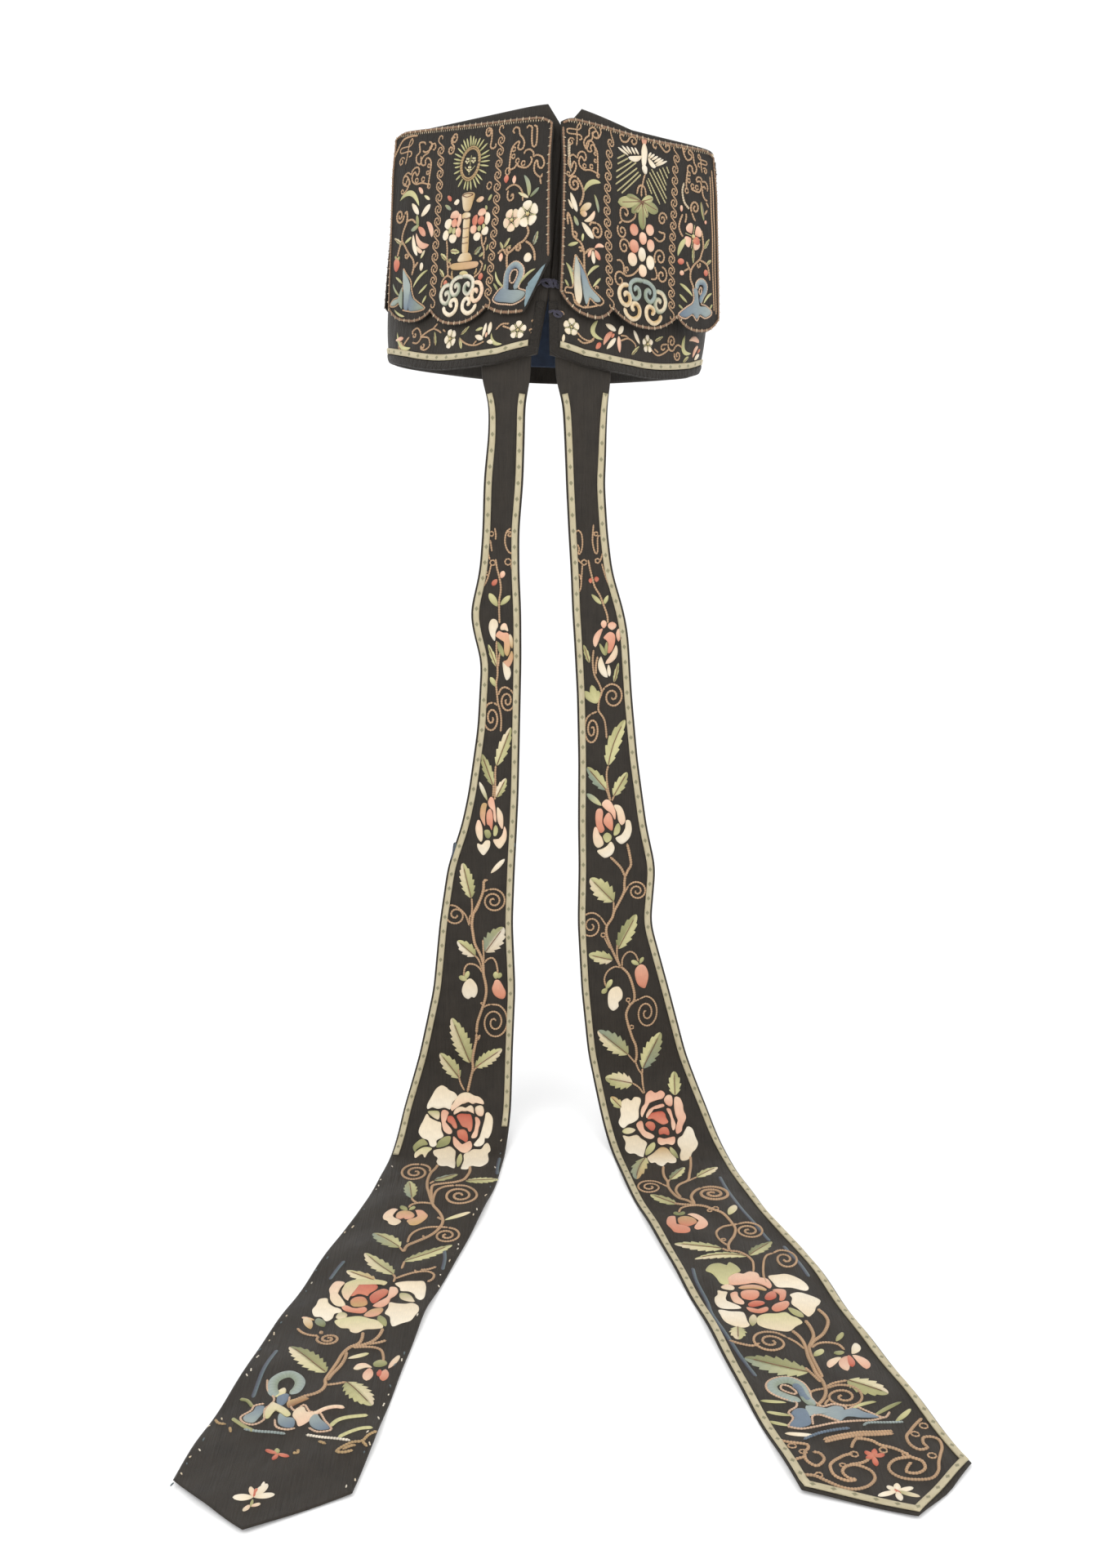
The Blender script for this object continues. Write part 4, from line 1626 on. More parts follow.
def vine(t):
    """A broad leaf over a bunch of grapes, with tendrils that curl at both sides."""
    lobes = ((-22, 35.8), (-29, 40.4), (-17.5, 44), (-14, 43), (-8, 52), (-4, 44.5), (5.6, 40), (1, 33))
    stalk = (-9, 36.4)
    for index, tip in enumerate(lobes):
        width = 6.4 if index in (1, 4, 6) else 4.6
        t.petal(stalk, tip, width, "YS" if index % 2 else "SG", full=0.6, lift=0.9)
        halfway, beyond = (mix(np.array(stalk), np.array(tip), share) for share in (0.45, 0.86))
        t.cord([stalk, halfway, beyond], 0.6, "T", kind="silk", low=0.75)
    for u, v, wide, tall, dyes in (
        (-15.5, 53, 6.8, 6.6, "OP"), (-2, 51, 6.5, 6.4, "PK"), (-8, 56.5, 6, 7, "KP"),
        (-1.5, 59.5, 6, 7, "PK"), (-15.5, 62, 7.5, 7.4, "PO"), (-9, 65.5, 6, 8, "WC"),
        (-2, 69, 6.5, 8, "CW"), (-17, 69.5, 7.4, 7.6, "KC"), (-8.6, 74.4, 6.5, 7, "CK"),
    ):
        t.patch(oval((u, v), wide / 2, tall / 2, 7), dyes, 90, 1.0)
    t.cords(
        [(-23.5, 45), (-22, 46.5), (-20.5, 44.5), (-22.5, 42.5), (-26, 43), (-27, 46), (-25.5, 49.5),
            (-20, 49.5), (-15, 46.5), (-14, 43.5)], [(-25.5, 50), (-28, 52)],
        coil((-28.6, 53), (-25.4, 55.6), 1.5, -1), coil((-19, 63.6), (-23.8, 63.8), 1.5, -1),
        [(-30, 72.5), (-27, 72), (-24.5, 74), (-24, 78.5), (-22, 79.5), (-17, 78), (-13, 75),
            (-12, 73.5)], coil((-21.5, 78), (-21.6, 76), 1.2), coil((-24, 79.4), (-27.6, 82.8), 1.3, -1),
        [(5.5, 51), (8, 51.6), (10.5, 52), (10, 55), (6, 56.5), (1.5, 54.5)],
        coil((13, 44), (9, 44), 1.6, -1), coil((2.6, 69), (6.6, 65.6), 1.5),
        coil((8, 70.5), (7.6, 75.4), 1.4), [(1.5, 70.5), (3.5, 75), (2.5, 77.5), (-1.5, 78)],
        [(-5.5, 21), (-7, 24), (-8, 27), (-9, 30), (-9, 34)],
        [(-13, 33), (-11.5, 29), (-8.5, 27.5), (-6, 29), (-5, 33)],
    )


def near_right_inner(t):
    """The edge, both scroll chains, and the column beside the slit: a spray over a rock."""
    stitched_edge(t, [(-66, 2.4), (-30, 2.0), (0, 2.0), (30, 2.0), (60, 2.4)])
    scroll_chain(
        t,
        [(-31.5, 2.5), (-33.6, 8), (-35.4, 14), (-36.6, 22), (-37.4, 32), (-38, 42), (-37.6, 52),
            (-36.6, 62), (-36.2, 72), (-36, 82), (-35.6, 91), (-34.8, 98)],
    )
    scroll_chain(
        t,
        [(24, 2.5), (23.6, 9), (21.6, 16), (20.4, 24), (19.6, 32), (19, 42), (17.8, 53), (16.8, 63),
            (16.2, 73), (15.8, 82), (15.4, 91), (14.8, 98)],
    )
    endless_knot(t, (-61.5, 9), 5.2)
    corner_scroll(t, (-45.5, 29.5), -1, 0.86, 1.0)
    t.cords(
        [(-37, 0.8), (-42, 2.5), (-42, 5), (-44, 8), (-47, 8.5), (-49, 6.5), (-46, 4.5), (-48, 3),
            (-51, 4.5), (-51.5, 8), (-54, 10), (-55.5, 13), (-54, 16), (-52.5, 14), (-51.5, 11.5),
            (-49.5, 11), (-47.5, 13), (-47, 17)], width=1.05,
    )
    t.cords(
        [(-66.6, 13), (-67, 20), (-66.4, 27), (-65, 31)], [(-65.6, 14), (-66, 21), (-65.4, 28)],
        width=0.8, dye="C",
    )
    t.cords(
        coil((-61, 32.8), (-62.3, 37), 1.6, -1),
        [(-61, 32.8), (-58, 36), (-56, 40), (-56.5, 44), (-58.5, 48.5)], width=1.35,
    )
    petals(
        t, ((-56, 41), (-43, 32.8), 2.9, "SY", -3.0), ((-48, 40), (-44.5, 49.5), 2, "SE", -0.6),
        ((-65, 42), (-60, 52), 3.4, "CW"), ((-66.6, 46), (-63, 51), 1.6, "C"),
        ((-58, 51), (-50, 45.5), 3.8, "DC"), ((-58, 52), (-53, 52), 3.6, "DK"),
        ((-55, 56), (-47.5, 49), 2.9, "CK", 1.6), ((-62, 54.5), (-59, 59.5), 2.6, "SE"),
        ((-56.5, 57), (-48, 64.5), 3.8, "CW"),
    )
    t.cords(
        [(-66, 60), (-66.6, 57), (-66.6, 54), (-65.5, 54.5), (-63.5, 59), (-62.5, 65), (-61, 66.5),
            (-57, 68.5), (-55, 72), (-54.5, 76), (-54, 84)], coil((-62.6, 63.6), (-61.2, 65), 1.0),
        coil((-58.4, 71.6), (-57, 72.4), 1.0), [(-51, 58), (-50, 56), (-46, 55.5)],
        coil((-46, 55.5), (-46, 60), 1.5), [(-54, 74), (-51, 71), (-47, 70)], width=1.3,
    )
    petals(
        t, ((-56, 67.5), (-55.5, 63), 1.6, "SY"), ((-58.5, 68.5), (-65.6, 71.5), 2, "YS"),
        ((-47, 69.5), (-40, 67.5), 2.2, "PK", -1.2), ((-47, 70.5), (-43, 75.3), 3.3, "PO"),
        ((-48.5, 71), (-47.5, 78.3), 2.8, "CW"), ((-49.6, 70), (-51.6, 75.4), 2, "KP"),
    )
    petals(
        t, ((-52, 86), (-43.5, 78.5), 1.8, "YS", -1.2), ((-48, 91), (-42.5, 85), 1.6, "YS"),
        ((-61, 86), (-66, 81.5), 1.6, "ES"), ((-61.5, 93), (-66.6, 81), 1.8, "YS", 1.4),
        ((-64, 94), (-66.8, 90.5), 1.4, "S"),
    )
    t.patch(
        [(-60.3, 76), (-57.6, 81), (-56.8, 88), (-55.2, 97), (-56.2, 102), (-58.4, 101.6), (-60.4, 94),
            (-60.8, 85)], "AC", 80, 1.0,
    )
    t.patch(
        [(-58.6, 79), (-54.4, 84), (-50.6, 91), (-47, 94.4), (-42.4, 97.4), (-46, 99), (-50, 97.4),
            (-52, 101.6), (-54, 97), (-56, 88)], "BA", 60, 1.0,
    )
    t.cords(
        [(-60.3, 75.4), (-55, 81.4), (-50, 90.4), (-46.6, 93.4), (-40.4, 97), (-42.5, 100), (-46, 100),
            (-50, 98), (-51.4, 102.6), (-53.4, 102.6)],
        [(-60.4, 75.4), (-61.6, 85), (-61.4, 93.6), (-65.6, 94.6), (-66, 97.4), (-61.4, 97.6),
            (-59.4, 102), (-56, 103.4)], [(-60, 100.4), (-55, 103.4), (-50, 102.6), (-44, 100.4)],
        coil((-46, 92), (-45, 91), 0.9), width=1.0,
    )


def near_right_middle(t):
    """A dove in rays over a vine, above a curled cloud."""
    t.cords(
        [(-22.5, 3.5), (-24, 2.2), (-26, 3.5), (-24, 6), (-20, 5.5), (-17, 2.5), (-14, 2), (-11.5, 4),
            (-14, 6), (-16, 4.5), (-14.5, 3.5)],
        [(6, 3.5), (5, 5), (3, 4), (3.5, 1.8), (7, 1.3), (10, 3.5), (14, 6), (17.5, 4.5), (17, 2),
            (14.5, 2), (14.5, 4)],
    )
    dove(t)
    vine(t)
    cloud(t, (-9, 91.4), 0.9, "EA", ("DC", "EC"), ("DC", "CD"))


def near_right_outer(t):
    """The outer column: scrolls, a knot, a blossom and a pierced rock."""
    t.cord([(29, 22), (27, 27), (28.5, 33), (33, 37)], 1.4, "C")
    t.cords(
        [(27, 0.8), (30, 2), (30, 3), (31, 6), (33.5, 8.5), (37, 7.5), (37.5, 5.5), (35, 4.5), (36, 2.5),
            (39, 4.5), (39.5, 8), (40, 10), (41.5, 12), (41, 14.5), (39, 16), (37.5, 14.5), (37.5, 12.5),
            (35.5, 11.5), (33.5, 12.5), (33, 15), (32, 18), (31, 22), (31, 26)],
        [(35, 25), (38, 26), (42, 26.5), (44, 25), (45, 22), (43.5, 20), (41.5, 20.5), (40.5, 19.5),
            (42, 17.8), (45, 18), (46, 20), (49, 20), (51, 22.5), (50.5, 25.5)],
        [(45.5, 24), (47.5, 22.8), (49, 24.5)], [(45.5, 24), (46, 28), (48, 30.5), (50.5, 31)],
        [(49, 32), (51.5, 35)],
    )
    for u, v, radius in (
        (34, 16.5, 1.2), (33.5, 20.5, 1.2), (31, 26.5, 1.4), (36.5, 23.5, 1.3), (40.5, 24, 1.3),
        (31, 3, 1.1),
    ):
        t.ring((u, v), radius)
    endless_knot(t, (47.3, 9.2), 4.4, -1)
    t.cords(
        coil((35.2, 38.8), (38.3, 36), 1.5), [(35.2, 38.8), (37, 42), (38.5, 43.5)],
        [(27, 40), (24.5, 44), (23.5, 47.5), (25, 51), (27, 53)], [(30, 39.5), (30, 42), (29, 45)],
        [(47, 39.5), (50, 36.5)],
        [(42, 48.5), (44, 50), (45, 55), (45, 59), (43.5, 62), (41.5, 65.5), (36, 69), (33, 72.5),
            (32.5, 77), (34, 80), (35.5, 83)], [(41.5, 66), (47, 68), (49.5, 71), (51, 78)],
        coil((41.2, 67.6), (40, 69), 1.0), [(33, 72.5), (31, 70), (29.5, 67)], [(31, 71), (27, 72.5)],
        width=1.3,
    )
    leaves(
        t, ((44, 32), (46.5, 43), 2.5, "E|S", 0), ((46, 59.5), (51.5, 53.5), 3, "S|YS", 3),
        ((48, 68.5), (53, 66), 2.2, "SY", 0), ((36, 59), (35.5, 68), 2.8, "SE|S", 3),
    )
    petals(
        t, ((22, 64), (30, 54), 3.6, "SY", -1.2), ((26, 38.8), (26, 35), 2.4, "PK"),
        ((48, 45), (48, 42.6), 2, "P"),
    )
    blossom(t, (36, 52.6), 8.4, -120, 4, "PK", 0.8)
    t.patch([(35.6, 55), (38.6, 52.4), (41.6, 54.4), (41, 57.4), (38, 58)], "OR", 30)
    for u, v, wide, tall, dyes in (
        (24.5, 67, 5.5, 3.6, "OR"), (25, 73.5, 3.6, 3, "KP"), (47, 73.5, 4, 4, "OR"),
    ):
        t.patch(oval((u, v), wide / 2, tall / 2, 6), dyes, 90)
    t.band(
        [(38.4, 83), (38.4, 80.4), (41, 78.8), (44.6, 79.4), (46, 82), (45, 85), (42.4, 87.4),
            (40.8, 91)], 3.4, "AB", 1.0,
    )
    t.patch(
        [(34.8, 83), (38, 82.6), (38.8, 88), (40, 92.6), (46, 93.2), (51.4, 96), (50.6, 98), (45, 99.4),
            (40, 97.6), (37, 100), (33.4, 97), (27.6, 98.8), (22, 97), (28, 93.4), (33.4, 91.4),
            (35.4, 88)], "BA", 0, 1.0,
    )
    t.cords(
        [(34.2, 82), (35, 88), (33, 91), (28, 93), (21, 97), (27, 99.5), (33, 97.6), (37, 101),
            (40, 98.4), (45, 100), (51, 98.6), (52, 96), (46, 92.6), (42, 91.6), (44, 88), (47, 85),
            (48, 81), (45, 77.6), (41, 77), (37.4, 79.4), (37.4, 83)],
        [(40.4, 86), (40, 84), (41.4, 82), (42.6, 82.6), (42, 85), (40.6, 86.4)],
        coil((38.6, 92.4), (37.3, 92.6), 0.9), width=0.95, dye="K",
    )
    petals(
        t, ((34, 87), (23, 79.5), 2, "YS", 0.8), ((29, 90.5), (22.5, 85.5), 1.7, "S"),
        ((25, 94), (21.5, 91.5), 1.4, "S"), ((44, 91.5), (53, 85.5), 1.8, "YS", -1.0),
        ((50, 95), (53, 92), 1.4, "S"),
    )
    t.cords(
        [(54.4, 16), (54, 34), (54.8, 52), (54.2, 72), (55, 96)],
        [(57, 12), (56.6, 32), (57.2, 52), (56.8, 74), (57.4, 98)], width=0.95,
    )


def near_right_work():
    t = on_panel("near_right")
    near_right_inner(t)
    near_right_middle(t)
    near_right_outer(t)
    t.build("embroidery_near_right", "black_satin")


# ---- Embroidery: the band below the panels --------------------------------------------------


def band_work():
    """Heights here are those that the stitches had before the hem drooped."""

    def place(around, height, high):
        raised = height
        for _ in range(4):
            faded = smooth((raised - DROOP_FULL_AT) / (DROOP_ENDS_AT - DROOP_FULL_AT))
            raised = height + np.interp(around, *zip(*HEM_DROOP)) * (1 - faded)
        return wall_point(around, raised, high)

    t = Threads(place)
    t.cords(
        coil((-115.8, 12), (-119, 11.5), 1.5, -1), [(-115.8, 12), (-113, 15), (-111, 17)],
        [(-107.4, 18.5), (-108, 20.5), (-104, 22.5), (-100.5, 20.5), (-99, 17), (-102, 14), (-107, 14)],
        coil((-107.2, 18.5), (-105.5, 18.5), 1.0),
        [(-97.4, 13), (-97, 11), (-93, 10.5), (-89, 13), (-91, 17), (-96, 17.8), (-99, 17.5), (-95, 20),
            (-90, 22), (-87, 22.5)], coil((-97.4, 13), (-95.5, 13), 1.0),
        [(-88, 22.5), (-86, 24), (-84, 25.5)], [(-87, 22.5), (-83, 21.6), (-79, 20)],
        [(-78, 22), (-76, 21), (-75, 20.5)],
        [(-60, 15.5), (-55, 12.5), (-50, 10.5), (-44, 9.5), (-38, 10.5)],
        [(-47, 9.5), (-45.6, 11), (-44, 12)], [(-30, 15.5), (-26, 18), (-21, 17.5)],
        [(-25.5, 17), (-22, 15.4), (-19, 14)], coil((-8, 10.6), (-8, 12), 1.0),
        coil((-7, 15.6), (-7, 17), 1.0), width=1.1,
    )
    petals(
        t, ((-126, 14), (-117, 16), 2.7, "KP"), ((-125, 19), (-108, 11), 2.9, "SY", -4.5),
        ((-46, 15), (-39, 12), 2.9, "CW"), ((-36, 10), (-30, 9), 2.8, "CW"),
        ((-39.5, 13), (-37.5, 20.8), 2.6, "CW"), ((-37, 12.4), (-36.5, 15.4), 1.8, "KP"),
        ((-35, 13.5), (-34, 20.8), 3, "WC"), ((-33, 14.5), (-25, 6.8), 2.1, "SY", -2.6),
        ((-46, 18), (-40, 18.5), 1.8, "SY"), ((36.5, 13.5), (32, 23.4), 3.2, "YS", 6.0),
        ((31.5, 7.2), (35, 11.4), 2.9, "OR"), ((37, 10.6), (44, 19.3), 3.2, "PO", 1.0),
        ((39.5, 9), (47, 16.7), 2.9, "CW"), ((43, 16), (45.5, 18.8), 1.8, "O"),
        ((50.5, 9.2), (49.5, 18.4), 3.4, "PK"), ((38, 22.5), (47, 21), 3.2, "CW"),
        ((49, 19.3), (53.6, 24.6), 3.4, "CW"), ((69.5, 17), (63.5, 24), 3, "CW"),
        ((122, 12.8), (115, 23.5), 3.3, "YS", 6.0), ((124, 10.2), (130.5, 17), 2.9, "PK", 1.0),
        ((126.5, 8.8), (133, 12), 3.1, "CW"), ((130, 13), (134, 15), 2, "O"),
        ((119.5, 20.3), (131.5, 19), 3.2, "KP", 1.6), ((10.5, 6), (10.8, 11), 1.8, "C"),
    )
    leaves(
        t, ((-83, 13), (-86, 20.8), 2.6, "S|YS", 3), ((-60, 16), (-57, 9.3), 2.5, "SY", 0),
        ((-59, 17.5), (-52, 21.2), 2.5, "S|Y", 3), ((61.5, 10), (69, 15.7), 2.4, "S|Y", 3),
        ((85, 20), (93, 22.7), 2.2, "S|Y", 3), ((113, 8), (119, 11), 2.2, "SY", 0),
    )
    blossom(t, (-69, 16.2), 5.6, 40, 5, "CW", 0.78)
    blossom(t, (-15.6, 13.2), 5.2, 10, 5, "CW", 0.66)
    blossom(t, (14.8, 15.8), 4.9, 90, 5, "WC", 0.78)
    blossom(t, (77.4, 17.8), 5.2, 20, 5, "CW", 0.66)
    t.cords(
        coil((10, 21.5), (8, 21.5), 1.1), [(19, 10), (23, 8.5), (28, 10.5), (30, 12.5)],
        [(18.5, 13.5), (22, 11), (27, 10.5), (30, 13)], [(51, 16), (58, 18.5), (64, 17), (66, 14.5)],
        [(51, 19), (56, 19.5), (59, 18.5)], [(81, 15), (84, 13), (88, 12), (94, 13.5), (99, 16)],
        [(84, 15.5), (86, 14.6), (88, 13.5)],
        [(98, 19), (98, 17), (100, 15), (103, 15), (105, 17), (108, 18), (112, 16.5)],
        coil((98, 19), (101.5, 20), 1.5, -1), [(97, 18.5), (92, 18), (91, 16), (93, 15.2), (95, 16.5)],
        coil((104, 13.4), (107, 12), 1.4), width=1.1,
    )
    t.build("embroidery_band", "black_satin")


# ---- Embroidery: right lappet ----------------------------------------------------------------


def on_lappet(name):
    side = LAPPETS[name]["side"]
    return Threads(lambda x, s, high: lappet_point(side, x, s, LAPPET_THICKNESS / 2 + high))


def patches(t, *rows):
    """Rows of outline, dyes, and the angle along which the dyes change."""
    for outline, dyes, aim in rows:
        t.patch(outline, dyes, aim)


def worn_streaks(t, *paths):
    """Lines where the black silk has worn to its blue-grey ground."""
    for path in paths:
        t.band(path, 2.0, "LN", 0.12)


def right_lappet_top(t):
    t.cords(
        [(17, 95), (16, 93), (18, 91.5), (20, 94), (20.5, 100), (19.5, 104.5), (18, 105.5),
            (18.5, 102.5), (17.5, 100), (16, 101), (16, 105), (18, 109), (20, 111)],
        [(20.5, 112), (20, 120), (19.5, 126), (17.5, 129.5)],
        [(17, 122), (17, 118.5), (19, 118), (19.5, 121)],
        [(27, 88), (26.5, 98), (28, 104.5), (29.5, 104), (29.5, 96), (31, 94.5), (33, 96), (33, 103),
            (31.5, 108.5), (31, 110)], [(32, 111), (34.5, 119), (37, 125), (39, 129.5)],
        coil((34, 113.6), (34.6, 115.8), 1.1), width=1.05,
    )
    for x, s, radius in ((21.5, 110.5, 1.5), (28.5, 93.5, 1.1), (29.5, 109.5, 1.3)):
        t.ring((x, s), radius)
    petals(
        t, ((25.5, 123), (25.5, 119.8), 2.4, "OR"), ((29, 122.2), (29, 118.8), 2.8, "OR"),
        ((26, 129.5), (32, 135.4), 2.6, "SY"), ((36, 130), (33.5, 135.4), 2.4, "YS"),
        ((33.5, 150), (33.5, 145), 3.5, "PK"), ((38.5, 151), (38.5, 146), 5.2, "KP"),
        ((33, 150), (28.5, 161.5), 3.6, "PK", 1.4), ((42.5, 158), (42.6, 150), 3.2, "PK"),
        ((41, 160), (34.6, 171.4), 3.7, "CK", -2.0), ((31, 159), (34.5, 166.6), 2.2, "S"),
        ((35.4, 158), (34.8, 166.6), 2.2, "SG"), ((32, 167), (36, 180), 4.2, "CW", 1.6),
        ((36.5, 172), (37.2, 179.4), 2.2, "CW"),
    )
    t.patch(
        [(33.4, 155.6), (36.8, 152.2), (40, 153.6), (40.4, 158), (38.6, 163.6), (36, 165), (36.2, 159.6),
            (35, 157)], "PO", 60,
    )
    leaves(t, ((25, 171), (21.5, 160), 3.4, "S|YS", 3), ((40, 183), (42.6, 171), 3.0, "YS|S", 3))
    t.cords(
        [(24, 109), (25, 114), (26.5, 120), (28, 125), (31, 130), (33, 135), (35.5, 142), (36, 147)],
        [(27.5, 163), (27, 170), (28, 178), (31, 184), (32.5, 189), (31, 194), (30.5, 200)],
        [(30, 167), (29, 172), (29, 178)], [(32.5, 189), (34.4, 186)],
        coil((34.4, 186), (39.2, 191.8), 1.8, 1, 1.2), width=1.25,
    )
    petals(t, *(((29.4, 196), tip, 4.4, "YS") for tip in ((21.5, 188.4), (26.4, 184.6), (30.4, 188))))


def right_lappet_middle(t):
    t.cords(
        [(30, 201), (26, 202.6)], coil((26, 202.6), (26.8, 212.4), 2.1, -1, 2.0),
        [(30.5, 198), (31, 201), (34, 205.6), (35.2, 211), (35.8, 218)],
        [(37, 235), (36, 240), (36.6, 248), (38.5, 257.5)], [(35, 249), (36.6, 252), (38, 257)],
        [(40.8, 254), (39.4, 257.5)], width=1.25,
    )
    leaves(
        t, ((37, 235), (47, 206.4), 9.6, "YS|Y", 5, -1.6), ((36, 250.6), (24, 236), 8.4, "E|YS", 4),
        ((40.4, 254.4), (48.6, 239.4), 7.6, "Y|YS", 4),
    )
    t.petal((33, 260.6), (23.8, 252.8), 3.6, "YE")
    patches(
        t,
        ([(33.2, 260), (35, 257), (37.6, 257), (40, 260), (41.8, 265), (41.4, 269.6), (39, 265.6),
            (36, 263.4)], "KP", 90),
        ([(40.6, 260.4), (44.2, 260.5), (46.6, 264), (47.8, 270), (45.6, 273), (43.4, 270), (42.4, 265)],
            "CK", 90),
        ([(30, 263.4), (32.6, 262.4), (34, 265), (33.6, 271), (35, 276), (32.4, 278), (30, 274),
            (29.2, 268)], "PO", 90),
        ([(34.8, 268), (37.4, 265), (39.8, 268.4), (40.2, 274), (39.4, 276.6), (36, 274), (34.2, 271)],
            "PO", 90),
        ([(48.2, 270), (50.8, 270.4), (51.8, 276), (50, 281.6), (45.4, 285), (41.8, 281.4), (45.4, 279),
            (47.6, 275)], "CW", 90),
        ([(28.8, 274.4), (30.6, 275), (32, 279), (33.4, 281), (34.4, 285.4), (31, 287.6), (28.4, 284.6),
            (27.8, 279)], "KC", 90),
        ([(30.6, 289.4), (34, 288), (36.4, 286.4), (39, 283.6), (41.2, 287), (40, 291.4), (35.6, 294),
            (32, 291.8)], "CW", 60),
        ([(34, 280.4), (36.4, 277.8), (39.2, 279.6), (38.8, 282.8), (36, 284.2)], "SY", 90),
        ([(40.8, 279.6), (41.2, 274.8), (43.4, 271.6), (44.8, 274.6), (43.8, 278.4)], "SY", 90),
    )
    t.cords(
        [(38.6, 293.4), (42, 296.6), (45.5, 300.6), (48, 306)],
        [(49, 284.6), (50.5, 291), (51.5, 298), (49.6, 302), (48, 306)],
        [(48, 305), (47.6, 310), (47.4, 315.6), (44.6, 322), (41.6, 328), (40, 333), (36.8, 338.4),
            (36.8, 344), (39, 350.6), (42, 357.6), (45.6, 365)], width=1.7,
    )
    t.cords(
        [(47.4, 317), (50.2, 311.6)], coil((50.2, 311.6), (55.4, 315.2), 2.0, 1),
        [(36.6, 338), (33, 332.4)], coil((33, 332.4), (27, 338.2), 2.1, -1, 1.15),
        [(41, 322), (41, 326), (40.6, 331)], [(43.4, 350), (43.4, 357), (45, 364)],
        [(35.4, 345.6), (37, 349), (39, 353)],
        [(46.6, 365), (46.8, 360), (49, 356.2), (52, 355), (55, 357), (57, 361.6)],
        [(46, 365.6), (42, 365), (37.6, 368), (35.6, 373), (36.4, 378)], width=1.15,
    )
    t.ring((34.6, 344), 1.3)
    leaves(
        t, ((40.8, 322), (26.4, 307.2), 13.6, "YC|SY", 5), ((44, 353), (55.2, 330.4), 10.4, "GS|Y", 5),
        ((40.6, 360.4), (25.6, 357), 9.6, "CY|SY", 4),
    )
    petals(
        t, ((57.4, 363.8), (52.4, 361), 3, "SY"), ((57.6, 363), (60, 358.6), 2.4, "S"),
        ((36.6, 380), (40.4, 373.4), 3.2, "SY"), ((37.4, 379.4), (34, 382.8), 3.2, "S"),
    )
    patches(
        t,
        ([(55, 367), (58, 363.6), (61.4, 365), (63.4, 371), (62, 378), (60.6, 379.6), (57, 377.4),
            (55, 372)], "PO", 90),
        ([(38.4, 382), (41, 379), (44.6, 378.4), (47, 382), (46.8, 386.4), (44.6, 389), (44.6, 392),
            (41.4, 394.6), (38.6, 392), (37.8, 387)], "CW", 90),
    )
    t.cords(
        [(46, 365), (50.4, 369.6), (53, 376), (54.6, 383), (54.4, 388), (51.6, 391.4), (49.6, 397),
            (50.6, 403), (52, 408), (54, 414), (56, 419), (56.6, 426), (55.6, 430.4)], width=1.7,
    )
    t.cords(
        [(54.6, 388.6), (58, 386.8)], coil((58, 386.8), (62.4, 396.4), 2.1, 1, 1.5),
        [(51, 388), (51.6, 390), (53.4, 390)], width=1.15,
    )
    t.ring((50.8, 387.4), 1.2)
    t.ring((53.2, 406), 1.2)


